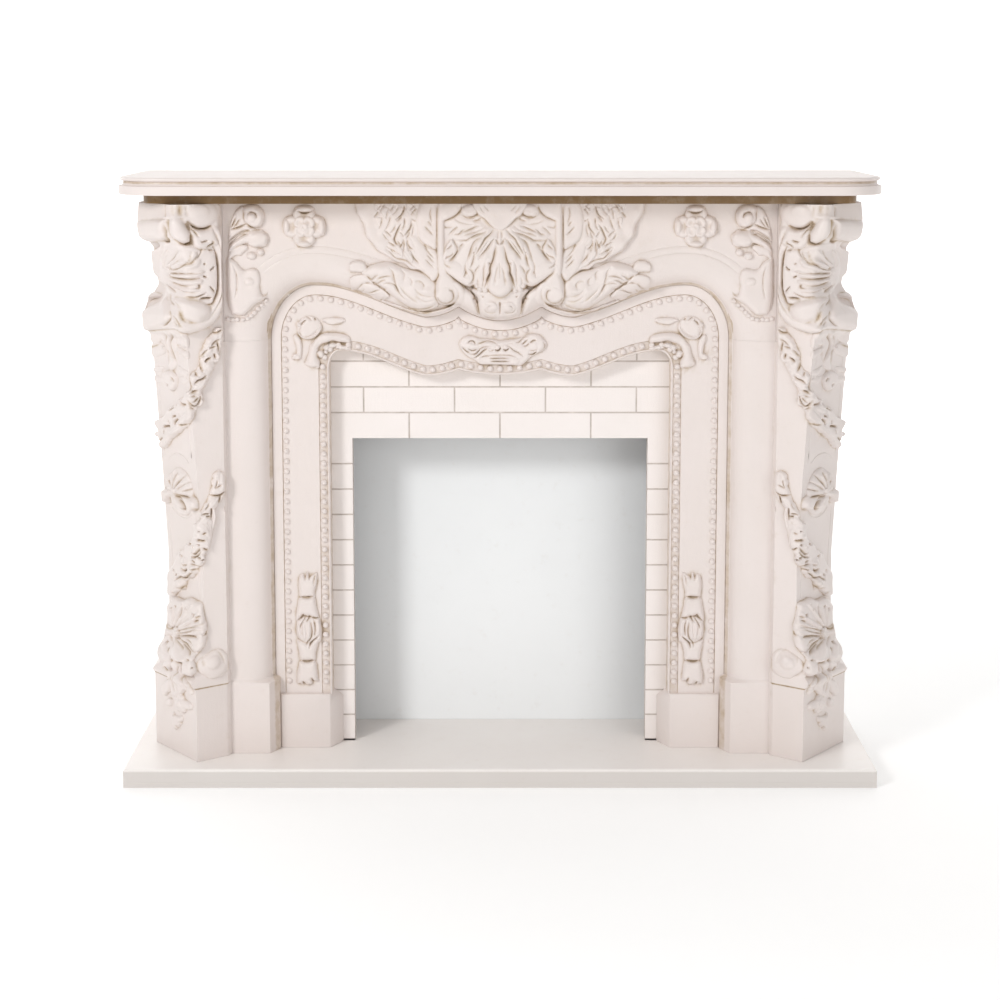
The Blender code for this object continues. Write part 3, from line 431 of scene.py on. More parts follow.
    def flower(self, centre, radius, height, petals=5, turn=0.0, level=0.0, notch=0.25, eye=0.25, cup=0.35,
               seen=None):
        """Petals round an eye: the rim is cut by notch between the petals, and each is a cup whose edge
        stands up."""
        middle = self.place([centre], level + height if seen is None else seen)[0]
        chosen, points = self.near(middle[None], 1.2 * radius + 0.003)
        u, v = (points - middle[:2]).T / radius
        lobe = np.abs(np.cos(petals * (np.arctan2(v, u) - turn) / 2))
        r = np.hypot(u, v) / (1 - notch * (1 - lobe) ** 1.3)
        top = np.sqrt(np.clip(1 - r ** 6, 0, 1)) - cup * np.exp(-((r - 0.55) / 0.22) ** 2) * lobe
        top = top - 0.30 * np.exp(-lobe / 0.22) * ease(r * 2)
        top = np.maximum(top * height, height * 1.05 * np.sqrt(np.clip(1 - (r / eye) ** 2, 0, 1)) if eye else 0)
        self.lay(chosen, level + np.where(r > 1, -3.5 * radius * (r - 1), top))

    def rose(self, centre, radius, height, turn=0.0, level=0.0, seen=None):
        """Open rose: three rings of petals, each smaller, higher and turned against the one below."""
        at = level + height if seen is None else seen
        for index, (size, petals) in enumerate(((1.0, 5), (0.70, 4), (0.42, 3))):
            self.flower(centre, radius * size, height * (0.55 + 0.12 * index), petals, turn + 0.7 * index,
                        level + 0.13 * height * index, 0.2, 0.0 if index < 2 else 0.35, 0.45, at)

    def soften(self, rounds):
        """Round off the steps between forms: each height becomes the mean, by one, two and one quarters,
        of its neighbours along both ways of the grid. Lines that are cut already stay sharp."""
        sharp = self.cut_glaze_and_shade > 0.05
        kept = self.h[sharp]
        h = self.h.reshape(self.shape)
        for _ in range(rounds):
            h = np.pad(h, 1, mode="edge")
            h = (h[:-2] + 2 * h[1:-1] + h[2:]) / 4
            h = (h[:, :-2] + 2 * h[:, 1:-1] + h[:, 2:]) / 4
        self.h = h.ravel()
        self.h[sharp] = kept

    def shell(self, carving):
        """Put the heights into a carving as one closed shell."""
        a, b, h, cut_glaze_and_shade = (values.reshape(self.shape) for values in (self.a, self.b, self.h, self.cut_glaze_and_shade))
        carving.sheet(a, b, h, 0.008, cut_glaze_and_shade)


# Forms that the carver repeats


def dome(carving, centre, size, height, level=0.0, turn=0.0, dimple=0.0, sides=18, rings=6):
    """Boss: rings r = sin(q) with height * cos(q), stretched to size and turned, dimpled in the middle."""
    q = np.linspace(0.12, math.pi / 2, rings)[:, None]
    angle = np.linspace(0, 2 * math.pi, sides, endpoint=False)[None, :]
    r = np.sin(q)
    u, v = size[0] * r * np.cos(angle), size[1] * r * np.sin(angle)
    a = centre[0] + u * math.cos(turn) - v * math.sin(turn)
    b = centre[1] + u * math.sin(turn) + v * math.cos(turn)
    h = level + height * (np.cos(q) - dimple * np.exp(-(r / 0.35) ** 2)) + 0.0 * angle
    carving.disc(a, b, h)


# How hollow each place is, for the glaze and the painted shade in the hollows


class Depths:
    """Map of the carving's highest points, in cells of one millimetre, and of its softened level."""

    def __init__(self, carving, low, high, ground_rise=None):
        self.cell = 0.001
        self.low = np.array(low)
        shape = np.ceil((np.array(high) - self.low) / self.cell).astype(int) + 1
        self.top = np.zeros(shape)
        for plan, _, _, _ in carving.shells:
            cells = self.cells(plan)
            np.maximum.at(self.top, (cells[:, 0], cells[:, 1]), plan[:, 2])
        self.top = self.spread(self.top, np.maximum, 2)
        self.top = self.spread(self.top, np.minimum, 2)
        self.soft = self.top
        for _ in range(3):
            self.soft = self.blur(self.soft, 4)

    def cells(self, plan):
        """Cell numbers of plan points, kept inside the map."""
        numbers = ((plan[:, :2] - self.low) / self.cell).astype(int)
        return np.clip(numbers, 0, np.array(self.top.shape) - 1)

    @staticmethod
    def spread(values, pick, reach):
        """Greatest or least value within reach, one axis after the other."""
        for axis in (0, 1):
            best = values
            for shift in range(-reach, reach + 1):
                best = pick(best, np.roll(values, shift, axis))
            values = best
        return values

    @staticmethod
    def blur(values, reach):
        """Mean value within reach, from running sums along each axis."""
        for axis in (0, 1):
            padded = np.concatenate([np.take(values, [0] * (reach + 1), axis), values,
                                     np.take(values, [-1] * reach, axis)], axis)
            sums = np.cumsum(padded, axis)
            count = values.shape[axis]
            high = np.take(sums, np.arange(2 * reach + 1, 2 * reach + 1 + count), axis)
            low = np.take(sums, np.arange(count), axis)
            values = (high - low) / (2 * reach + 1)
        return values

    def hollow(self, plan):
        """From -1 on a proud edge to 1 in a deep hollow: softened level less height, by seven millimetres."""
        cells = self.cells(plan)
        return np.clip((self.soft[cells[:, 0], cells[:, 1]] - plan[:, 2]) / 0.0065, -1.0, 0.62)


# Meshes and finishes


def make_piece(name, groups, finish, node, crease=38.0):
    """Join shells into one mesh. groups: (carving, ground, depths). A shell whose signed volume, the sum
    of p0 . (p1 x p2) / 6 over its triangles, is negative has its faces turned round."""
    corners, quads, triangles, hollows = [], [], [], []
    count = 0
    for carving, ground, depths in groups:
        for plan, shell_quads, shell_triangles, hollow in carving.shells:
            places = ground(plan[:, 0], plan[:, 1], plan[:, 2])
            every = np.vstack([shell_quads[:, [0, 1, 2]], shell_quads[:, [0, 2, 3]], shell_triangles])
            p0, p1, p2 = (places - places.mean(0))[every].transpose(1, 0, 2)
            if np.einsum("ij,ij->", p0, np.cross(p1, p2)) < 0:
                shell_quads, shell_triangles = shell_quads[:, ::-1], shell_triangles[:, ::-1]
            corners.append(places)
            quads.append(shell_quads + count)
            triangles.append(shell_triangles + count)
            near = depths.hollow(plan) if depths else np.zeros(len(plan))
            hollows.append(np.maximum(near, hollow))
            count += len(plan)
    corners, quads, triangles = np.vstack(corners), np.vstack(quads), np.vstack(triangles)
    mesh = bpy.data.meshes.new(name)
    mesh.vertices.add(len(corners))
    mesh.vertices.foreach_set("co", corners.astype(np.float32).ravel())
    mesh.loops.add(quads.size + triangles.size)
    mesh.loops.foreach_set("vertex_index", np.concatenate([quads.ravel(), triangles.ravel()]).astype(np.int32))
    mesh.polygons.add(len(quads) + len(triangles))
    starts = np.concatenate([np.arange(len(quads)) * 4, quads.size + np.arange(len(triangles)) * 3])
    mesh.polygons.foreach_set("loop_start", starts.astype(np.int32))
    mesh.update(calc_edges=True)
    mesh.validate()
    # How hollow each corner is: the paint turns this into glaze and painted shade.
    values = mesh.attributes.new("hollow", "FLOAT", "POINT")
    values.data.foreach_set("value", np.concatenate(hollows).astype(np.float32))
    mesh.shade_smooth()
    mesh.set_sharp_from_angle(angle=math.radians(crease))
    mesh.materials.append(finish)
    piece = bpy.data.objects.new(name, mesh)
    bpy.context.scene.collection.objects.link(piece)
    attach(piece, "root")
    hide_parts(node)
    return piece


def node_adder(tree):
    """Make nodes and links in a few words: add(kind, inputs, settings) returns the new node."""

    def add(kind, inputs=None, **settings):
        node = tree.nodes.new(kind)
        for name, value in settings.items():
            setattr(node, name, value)
        for name, value in (inputs or {}).items():
            if isinstance(value, bpy.types.NodeSocket):
                tree.links.new(value, node.inputs[name])
            else:
                node.inputs[name].default_value = value
        return node

    return add


# deep is the dark tone of the deepest hollows, which is painted shade.
def painted(name, bright, shade, glaze, roughness=0.42, grain=1.0, deep=(0.22, 0.125, 0.045), edge=None):
    """Satin paint: two close tones in soft clouds, glaze gathered in the hollows and rubbed off proud
    edges, fine brush marks and pits in the bump. The glaze is partly the real antique glaze and partly
    painted shade, and in the deepest hollows it turns to the dark tone deep, which is painted shade. edge
    is a height and a tone that multiplies the paint below it: painted shade on the faces below that height."""
    finish = bpy.data.materials.new(name)
    finish.use_nodes = True
    tree = finish.node_tree
    add = node_adder(tree)
    shader = tree.nodes["Principled BSDF"]
    place = add("ShaderNodeTexCoord").outputs["Object"]
    clouds = add("ShaderNodeTexNoise", {"Vector": place, "Scale": 5.0, "Detail": 4.0, "Roughness": 0.55})
    mottle = add("ShaderNodeTexNoise", {"Vector": place, "Scale": 46.0, "Detail": 5.0, "Roughness": 0.62})
    stretched = add("ShaderNodeMapping", {"Vector": place, "Scale": (1.0, 1.0, 0.16)})
    brush = add("ShaderNodeTexNoise", {"Vector": stretched.outputs["Vector"], "Scale": 210.0, "Detail": 3.0})
    pits = add("ShaderNodeTexNoise", {"Vector": place, "Scale": 420.0, "Detail": 2.0})
    tone = add("ShaderNodeMapRange", {"Value": clouds.outputs["Fac"], "From Min": 0.36, "From Max": 0.64})
    body = add("ShaderNodeMix", {0: tone.outputs["Result"], 6: (*bright, 1.0), 7: (*shade, 1.0)}, data_type="RGBA")
    # Painted shade: below the height edge[0] the paint is multiplied by the darker tone edge[1].
    if edge:
        height = add("ShaderNodeSeparateXYZ", {"Vector": place}).outputs["Z"]
        below = add("ShaderNodeMapRange", {"Value": height, "From Min": edge[0] - 0.004, "From Max": edge[0],
                                           "To Min": 1.0, "To Max": 0.0})
        body = add("ShaderNodeMix", {0: below.outputs["Result"], 6: body.outputs[2], 7: (*edge[1], 1.0)},
                   data_type="RGBA", blend_type="MULTIPLY")
    # The hollow attribute drives the glaze: partly real antique glaze, partly painted shade in creases, recesses and
    # under parts.
    hollow = add("ShaderNodeAttribute", attribute_name="hollow")
    uneven = add("ShaderNodeMapRange", {"Value": mottle.outputs["Fac"], "From Min": 0.3, "From Max": 0.7,
                                        "To Min": -0.16, "To Max": 0.16})
    gathered = add("ShaderNodeMath", {0: hollow.outputs["Fac"], 1: uneven.outputs["Result"]}, operation="ADD")
    glaze_and_shade_amount = add("ShaderNodeMapRange", {"Value": gathered.outputs["Value"], "From Min": 0.06, "From Max": 0.75,
                                        "To Min": 0.0, "To Max": 0.85}, interpolation_type="SMOOTHSTEP")
    # In the deepest hollows the glaze turns to the dark tone deep: painted shade.
    dark_glaze_and_shade_amount = add("ShaderNodeMapRange", {"Value": gathered.outputs["Value"], "From Min": 0.50, "From Max": 1.05,
                                       "To Min": 0.0, "To Max": 0.95}, interpolation_type="SMOOTHSTEP")
    glaze_and_shade_colour = add("ShaderNodeMix", {0: glaze_and_shade_amount.outputs["Result"], 6: body.outputs[2], 7: (*glaze, 1.0)},
                  data_type="RGBA")
    glaze_and_shade_colour = add("ShaderNodeMix", {0: dark_glaze_and_shade_amount.outputs["Result"], 6: glaze_and_shade_colour.outputs[2], 7: (*deep, 1.0)},
                  data_type="RGBA")
    tree.links.new(glaze_and_shade_colour.outputs[2], shader.inputs["Base Color"])
    sheen = add("ShaderNodeMapRange", {"Value": mottle.outputs["Fac"], "From Min": 0.3, "From Max": 0.7,
                                       "To Min": roughness - 0.06, "To Max": roughness + 0.10})
    tree.links.new(sheen.outputs["Result"], shader.inputs["Roughness"])
    height = add("ShaderNodeMath", {0: brush.outputs["Fac"], 1: pits.outputs["Fac"]}, operation="ADD")
    height = add("ShaderNodeMath", {0: height.outputs["Value"], 1: mottle.outputs["Fac"]}, operation="ADD")
    bump = add("ShaderNodeBump", {"Height": height.outputs["Value"], "Strength": 0.30 * grain,
                                  "Distance": 0.0008})
    tree.links.new(bump.outputs["Normal"], shader.inputs["Normal"])
    shader.inputs["Specular IOR Level"].default_value = 0.42
    return finish


# Arch lines


def arch_half(side, spring, corner, crown, dip_x, dip, cusp_x, cusp, middle, steps=(40, 60, 22, 26)):
    """Right half of the arch line: an elliptic corner, a haunch whose fall is the mean of a cosine and
    a sine, a parabola up to the cusp and another down to the middle."""
    turn = np.linspace(0, math.pi / 2, steps[0])
    t = np.linspace(1, 0, steps[1])[1:]
    fall = (0.5 - 0.5 * np.cos(math.pi * t) + np.sin(math.pi / 2 * t)) / 2
    up = np.linspace(0, 1, steps[2])[1:]
    down = np.linspace(1, 0, steps[3])[1:]
    x = [side - corner * (1 - np.cos(turn)), dip_x + (side - corner - dip_x) * t,
         dip_x + (cusp_x - dip_x) * up, cusp_x * down]
    z = [spring + (crown - spring) * np.sin(turn), dip + (crown - dip) * fall,
         dip + (cusp - dip) * up ** 2, middle + (cusp - middle) * down ** 2]
    return np.column_stack([np.concatenate(x), np.concatenate(z)])


def whole_arch(half):
    """The arch line from its right foot over the middle to its left foot."""
    return np.vstack([half, half[-2::-1] * [-1, 1]])


def frieze_arch(clearance=0.0):
    """Arch line of the frieze, drawn in by a clearance."""
    crown = CROWN - clearance
    return arch_half(ARCH_SIDE - clearance, SPRING, ARCH_CORNER, crown, DIP_X, crown - DIP_DROP, CUSP_X,
                     crown - CUSP_DROP, crown - MIDDLE_DROP)


def frame_arch():
    """Inner edge of the beaded frame."""
    crown = CROWN - INNER_CROWN_DROP
    return arch_half(INNER_SIDE, crown - INNER_CORNER_RISE, INNER_CORNER, crown, DIP_X, CROWN - INNER_DIP_DROP,
                     CUSP_X, CROWN - INNER_CREST_DROP, CROWN - INNER_MIDDLE_DROP)


def outward_normals(path, reach=7):
    """Normals to the right of the path's direction, averaged over a few neighbours."""
    _, left = directions(path)
    padded = np.vstack([np.repeat(-left[:1], reach, 0), -left, np.repeat(-left[-1:], reach, 0)])
    kernel = np.ones(2 * reach + 1) / (2 * reach + 1)
    mean = np.column_stack([np.convolve(column, kernel, "valid") for column in padded.T])
    return mean / np.linalg.norm(mean, axis=1, keepdims=True)


def mould_sink(distance):
    """Depth of the rounded moulding behind the face, by distance from the arch edge: a sloping fillet,
    then a quarter of an ellipse."""
    fillet = MOULD_SINK + (MOULD_FILLET_SINK - MOULD_SINK) * ease(distance / MOULD_FILLET)
    share = np.clip((distance - MOULD_FILLET) / (MOULD_WIDTH - MOULD_FILLET), 0, 1)
    round_part = MOULD_FILLET_SINK * (1 - np.sqrt(1 - (1 - share) ** 2))
    return np.where(distance < MOULD_FILLET, fillet, round_part)


class FriezeGround:
    """Front of the frieze: its face, sunk near the arch by the moulding. The distances to the arch are
    worked out once on a map of three-millimetre cells."""

    def __init__(self):
        self.cell = 0.003
        self.low = np.array([-0.60, SPRING - 0.02])
        shape = (401, 110)
        a = self.low[0] + self.cell * np.arange(shape[0])[:, None]
        b = self.low[1] + self.cell * np.arange(shape[1])[None, :]
        arch = whole_arch(frieze_arch())
        start, run = arch[:-1], np.diff(arch, axis=0)
        self.distance = np.full(shape, np.inf)
        for (x, z), (dx, dz) in zip(start, run):
            share = np.clip(((a - x) * dx + (b - z) * dz) / (dx * dx + dz * dz), 0, 1)
            self.distance = np.minimum(self.distance, np.hypot(a - x - dx * share, b - z - dz * share))

    def sink(self, a, b):
        """Depth of the ground at plan points, read between four cells."""
        u = np.clip((a - self.low[0]) / self.cell, 0, self.distance.shape[0] - 1.001)
        v = np.clip((b - self.low[1]) / self.cell, 0, self.distance.shape[1] - 1.001)
        i, j = u.astype(int), v.astype(int)
        f, g = u - i, v - j
        grid = self.distance
        distance = ((1 - f) * (1 - g) * grid[i, j] + f * (1 - g) * grid[i + 1, j]
                    + (1 - f) * g * grid[i, j + 1] + f * g * grid[i + 1, j + 1])
        return mould_sink(distance)

    def __call__(self, a, b, h):
        return np.column_stack([a, JAMB_FACE + self.sink(a, b) - h, b])


def on_frieze(ground):
    """Turn pixels into plan places on the frieze: the level is corrected a few times by how far the
    moulding sinks at the place found before."""
    flat = on_upright(JAMB_FACE)

    def place(knots, level):
        plan = flat(knots, level)
        for _ in range(4):
            plan = flat(knots, level - ground.sink(plan[:, 0], plan[:, 1]))
        return plan

    return place


def flat_ground(face):
    """A plain upright face in the plane y = face."""
    return lambda a, b, h: np.column_stack([a, face - h, b])


# Frieze


def frieze_body():
    """Body of the frieze: rings round its section, carried along the arch.

    Each ring goes up the back of the arch edge, over the moulding at fixed distances from the edge, over
    the panel in even shares to the border, and down the back.
    """
    foot = SPRING + 0.0003
    arch = whole_arch(frieze_arch())
    arch[[0, -1], 1] = foot
    normal = outward_normals(arch)
    half = FRIEZE_HALF - GAP
    turn = abs(arch[:, 0])
    corner_x = ARCH_SIDE - 0.45 * ARCH_CORNER
    border = np.column_stack([np.clip(arch[:, 0] * half / corner_x, -half, half), np.full(len(arch), FRIEZE_TOP)])
    upright = turn > corner_x
    rise = (arch[:, 1] - foot) / (arch[upright, 1].max() - foot)
    border[upright, 1] = foot + (FRIEZE_TOP - foot) * np.clip(rise[upright], 0, 1)
    room = np.linalg.norm(border - arch, axis=1)[:, None]
    near = np.concatenate([[0, 0.002, 0.0045, MOULD_FILLET], MOULD_FILLET + 0.055 * (1 - np.cos(
        np.linspace(0.12, math.pi / 2, 16))) ** 1.0])
    grooves = np.array([0.0655, 0.0670, 0.0685, 0.0790, 0.0805, 0.0820])
    spread = np.minimum(1.0, (0.95 * room - MOULD_WIDTH) / (grooves[-1] - MOULD_WIDTH))
    offsets = np.column_stack([np.repeat(near[None], len(arch), 0),
                               MOULD_WIDTH + (grooves - MOULD_WIDTH)[None] * spread])
    x = arch[:, :1] + normal[:, :1] * offsets
    z = np.maximum(arch[:, 1:] + normal[:, 1:] * offsets, foot)
    share = np.linspace(0, 1, 40)[None, 1:]
    x = np.hstack([x, x[:, -1:] + (border[:, :1] - x[:, -1:]) * share])
    z = np.hstack([z, z[:, -1:] + (border[:, 1:] - z[:, -1:]) * share])
    z[[0, -1]] = foot
    sink = np.concatenate([mould_sink(near), np.zeros(len(grooves) + share.size)])[None] + 0 * x
    cut = 0.0011 * ease((0.44 - turn) / 0.03) * ease((turn - 0.22) / 0.05)
    for column in (len(near) + 1, len(near) + 4):
        sink[:, column] += cut
    y = JAMB_FACE + sink
    back = np.full((len(arch), 1), FRIEZE_BACK)
    x = np.hstack([arch[:, :1], x, border[:, :1]])
    z = np.hstack([arch[:, 1:], z, border[:, 1:]])
    y = np.hstack([back, y, back])
    hollow = np.zeros_like(y)
    # Glaze and painted shade in the fillet along the arch edge.
    hollow[:, 1:4] = 0.5
    body = Carving()
    body.tube(x, z, JAMB_FACE - y, hollow)
    return body


def cut_lines(relief, lines, seen, deeper=1.0):
    """Cut lines given as (depth, width, lean, knots), all of them deeper by one factor."""
    for depth, width, lean, knots in lines:
        relief.cut(knots, deeper * depth, width, lean, seen=seen)


# Lines cut into the feathers of the wing, in pixels of the photograph
FEATHER_LINES = (
    (0.0045, 0.0020, 0.4, ((404, 205), (403.5, 210), (401, 215), (395.5, 219.5))),
    (0.0030, 0.0018, 0.4, ((402, 216), (399.5, 219), (396.5, 221.5))),
    (0.0035, 0.0020, 0.4, ((404.5, 217), (404.5, 223), (403.5, 227), (401, 230))),
    (0.0045, 0.0020, 0.4, ((401.5, 223), (398, 229), (395, 236), (394, 239), (395.5, 243), (398, 246))),
    (0.0045, 0.0020, 0.4, ((411.5, 220), (410.5, 227), (408, 231), (404.5, 235.5))),
    (0.0030, 0.0018, -0.3, ((400, 231), (402, 234), (404, 237))),
    (0.0030, 0.0018, -0.3, ((384.5, 230.5), (388, 233), (392, 236.5))),
    (0.0030, 0.0018, -0.3, ((387, 241), (391, 243.5), (396, 246.5))),
    (0.0030, 0.0018, 0.3, ((404, 238), (402.5, 243), (399.5, 248))),
    (0.0030, 0.0018, 0.3, ((404.5, 240), (404, 246), (404, 252))),
    (0.0028, 0.0018, -0.3, ((407, 243), (409.5, 247), (413, 249.5))),
    (0.0028, 0.0018, 0.3, ((378.5, 211), (376.5, 214), (374, 217.5))),
    (0.0028, 0.0018, 0.3, ((385, 203), (382, 208), (379.5, 213))),
    (0.0028, 0.0018, 0.3, ((388.5, 207), (387, 213), (386, 219))),
    (0.0028, 0.0018, 0.3, ((382, 205), (379, 207), (377, 210.5))),
    (0.0030, 0.0018, 0.3, ((415, 205), (412.5, 207), (409.5, 210.5))),
    (0.0030, 0.0018, 0.3, ((416.5, 208), (413.5, 211), (411, 215))),
    (0.0028, 0.0018, 0.3, ((409.5, 231), (408.5, 235), (406, 239))),
    (0.0028, 0.0018, -0.3, ((411, 218), (413, 220), (416, 221))),
    (0.0028, 0.0018, 0.3, ((391, 214), (389, 222), (386.5, 228), (384, 231))),
    (0.0028, 0.0018, 0.3, ((396, 225), (393, 230), (390, 233))),
    (0.0028, 0.0018, 0.3, ((382, 217), (381, 224), (379, 229))),
    (0.0028, 0.0018, -0.3, ((383, 233), (386, 238), (390, 241))),
    (0.0028, 0.0018, 0.3, ((399, 205), (396, 211), (392, 215))),
    (0.0028, 0.0018, 0.3, ((394, 204), (392, 208), (390, 211))),
    (0.0024, 0.0018, -0.3, ((397, 240), (400, 244), (403, 246))),
    (0.0024, 0.0018, 0.3, ((408, 238), (407, 243), (408, 249), (410, 254))),
    (0.0026, 0.0018, 0.3, ((413, 224), (413, 231), (411, 237))),
    (0.0026, 0.0018, -0.3, ((391, 249), (396, 252), (401, 254))),
    (0.0026, 0.0018, -0.3, ((386, 246), (391, 249.5), (394, 254))),
    (0.0030, 0.0020, -0.3, ((410, 252), (414, 258), (419, 264))),
    (0.0035, 0.0022, -0.4, ((385, 248), (391, 253), (396, 258), (402, 259.5), (407, 261), (412, 265), (418, 268))),
    (0.0030, 0.0020, 0.3, ((431.5, 206), (430, 213), (431, 219), (432.5, 224))),
    (0.0026, 0.0018, -0.3, ((428, 220.5), (430, 223), (432, 226))),
    (0.0030, 0.0018, -0.3, ((425, 226), (429, 230.5), (433.5, 235))),
    (0.0030, 0.0018, -0.3, ((424.5, 244), (427, 250), (431, 255), (434.5, 258.5))),
    (0.0030, 0.0018, -0.3, ((427, 254), (430.5, 258.5), (434.5, 263))),
    (0.0030, 0.0018, -0.3, ((425.5, 259), (430, 264), (434.5, 268))),
)

# Lines cut into the spray under the wing
SPRAY_LINES = (
    (0.0040, 0.0022, 0.4, ((366, 275.5), (371.5, 279.5), (375, 277), (379, 275))),
    (0.0035, 0.0020, 0.4, ((375, 281), (379, 278.5), (385, 276.5), (392, 276))),
    (0.0040, 0.0022, 0.4, ((372.5, 281.5), (377, 284), (381, 281.5), (386, 280))),
    (0.0035, 0.0020, -0.3, ((382, 284.5), (387, 283), (392, 283.5), (396, 286), (399, 292))),
    (0.0035, 0.0020, 0.3, ((377.5, 285), (381, 288), (385, 289.3), (389, 289))),
    (0.0045, 0.0026, 0.3, ((386.5, 292), (394, 298), (402, 304), (411, 308.5), (420, 309.5), (429, 308), (439, 302.5))),
    (0.0045, 0.0026, 0.3, ((388, 305), (397, 308), (408, 311.5), (418, 313), (430, 312.5), (441, 308.5))),
    (0.0035, 0.0026, -0.4, ((388, 266), (392.5, 271), (394.5, 279), (397, 288), (402, 296), (409, 302))),
    (0.0028, 0.0026, -0.4, ((401, 269), (404.5, 274), (403.5, 281))),
    (0.0028, 0.0026, -0.4, ((408, 276), (412, 281), (411, 285.5))),
    (0.0028, 0.0026, -0.4, ((415, 281), (420, 281), (424, 285), (422.5, 290))),
    (0.0026, 0.0026, 0.3, ((437, 296.5), (428, 296.5), (420, 294), (415, 288))),
    (0.0026, 0.0026, 0.3, ((436, 300), (427, 301.5), (420, 299), (415, 295))),
    (0.0026, 0.0030, 0.3, ((399, 284), (404, 292), (412, 299), (420, 304))),
    (0.0035, 0.0020, 0.3, ((346, 269.5), (350, 272.4), (355, 272.6), (361, 272))),
    (0.0035, 0.0020, 0.3, ((350, 288.8), (356, 289.3), (360, 286.8), (363, 283))),
    (0.0035, 0.0018, 0.3, ((358, 290.5), (362, 291.6), (365, 289))),
    (0.0035, 0.0018, 0.3, ((365, 293.3), (371, 292.8), (376, 291), (381, 290))),
    (0.0035, 0.0018, 0.3, ((373, 299), (379, 301.3), (382, 299.5), (385, 297))),
    (0.0030, 0.0018, 0.3, ((385.5, 301.5), (387, 300.5), (389, 298.5))),
)

# Folds of the ruffled shell, left of its tongue
SHELL_LINES = (
    (0.0032, 0.0020, 0.4, ((481, 218), (477.5, 220.3), (473, 220.8))),
    (0.0024, 0.0020, 0.3, ((462, 212), (464, 216), (469, 218.5), (476, 218))),
    (0.0024, 0.0022, 0.3, ((454, 218.5), (459, 222), (466, 224), (474, 224.5))),
    (0.0024, 0.0020, 0.3, ((442, 226), (446, 228), (450, 227.5), (453, 226.5))),
    (0.0040, 0.0020, 0.4, ((480, 225.5), (476, 226.6), (472, 228.5), (467, 230.5), (463, 232))),
    (0.0040, 0.0020, 0.4, ((465, 229), (462, 231), (459, 234), (454, 234.4))),
    (0.0035, 0.0020, 0.4, ((458, 226.5), (454, 229.5), (451, 232.5), (448.5, 235))),
    (0.0045, 0.0022, 0.4, ((488, 229), (485, 232), (480, 233.8), (476, 235), (470, 238), (466, 240.3), (458, 240.5),
                           (453.5, 240.3))),
    (0.0030, 0.0022, 0.3, ((486, 225), (482, 229), (476, 232), (468, 234), (462, 236.5))),
    (0.0055, 0.0022, 0.4, ((494, 229), (490, 234), (485, 238.5), (482.5, 243), (479, 249), (475.5, 255))),
    (0.0050, 0.0022, 0.4, ((495.5, 237.5), (492, 241), (487, 248), (482, 254), (478, 259.5))),
    (0.0030, 0.0020, 0.4, ((490, 239), (486, 244), (482, 250), (478, 256))),
    (0.0060, 0.0024, 0.4, ((496.5, 244.5), (494.5, 252), (493, 259), (490, 267), (489.5, 274), (487, 281), (484, 289))),
    (0.0035, 0.0020, 0.4, ((491, 272), (488, 276), (486, 281.5))),
    (0.0040, 0.0024, 0.3, ((482, 236), (475, 241), (472, 246), (470, 252), (468, 258), (466, 264))),
    (0.0045, 0.0022, 0.3, ((474.5, 253), (473.5, 258), (472, 264), (470, 268))),
    (0.0030, 0.0024, 0.3, ((477, 246), (475, 252))),
    (0.0035, 0.0022, 0.3, ((480, 265), (476, 270), (474.5, 274))),
    (0.0030, 0.0024, 0.3, ((488, 258), (485, 263), (483.5, 270), (483.5, 280), (482, 290))),
    (0.0026, 0.0024, 0.3, ((478.5, 277), (477.5, 283), (478, 288.5))),
    (0.0030, 0.0026, 0.0, ((498.5, 265), (496.5, 272), (495, 280), (494.5, 286))),
    (0.0022, 0.0026, 0.0, ((500, 262), (500, 270), (500, 279))),
    (0.0040, 0.0020, 0.4, ((496, 239), (497.5, 243), (500, 244.2))),
    (0.0026, 0.0022, 0.0, ((499, 231), (498, 235), (498.5, 240))),
    (0.0026, 0.0024, 0.3, ((464, 242), (461, 247), (456, 254), (452, 259.5), (447, 263.5))),
    (0.0035, 0.0022, 0.3, ((463, 243.5), (460, 246.5), (458.5, 248.5))),
    (0.0040, 0.0022, 0.4, ((452, 238.5), (454.5, 243), (457, 247.5), (456.8, 252), (453.5, 257), (449, 260.5))),
    (0.0040, 0.0020, 0.4, ((452.5, 244), (450, 247), (446, 249.8))),
    (0.0040, 0.0020, 0.4, ((454, 252.5), (451, 256), (446.5, 257.5), (445, 260.5))),
    (0.0035, 0.0020, 0.3, ((443, 263), (447, 266.5), (451, 268.5))),
    (0.0045, 0.0024, 0.4, ((468, 268), (472, 272), (473.5, 277.5), (471.5, 283), (468, 285))),
    (0.0035, 0.0022, 0.3, ((466, 271.5), (465, 274.5), (463.5, 277.5))),
    (0.0030, 0.0022, 0.3, ((466, 262), (465, 269), (467, 275))),
    (0.0040, 0.0020, 0.4, ((461.5, 206), (460.5, 210), (457.5, 214), (453, 217.5), (447, 220), (442, 222))),
    (0.0035, 0.0020, 0.3, ((467, 216), (470.5, 217.2), (474.5, 216.2), (479, 213.5))),
    (0.0022, 0.0020, 0.3, ((484, 205), (486, 208), (489, 211))),
    (0.0022, 0.0020, 0.3, ((480, 206), (482, 210), (485, 213))),
    (0.0035, 0.0018, 0.0, ((473.5, 297), (476, 300), (476.5, 304))),
)

# Small pits that the glaze has filled
PITS = ((474, 252.5), (489.5, 263.3), (483, 297.5), (474, 299.5))


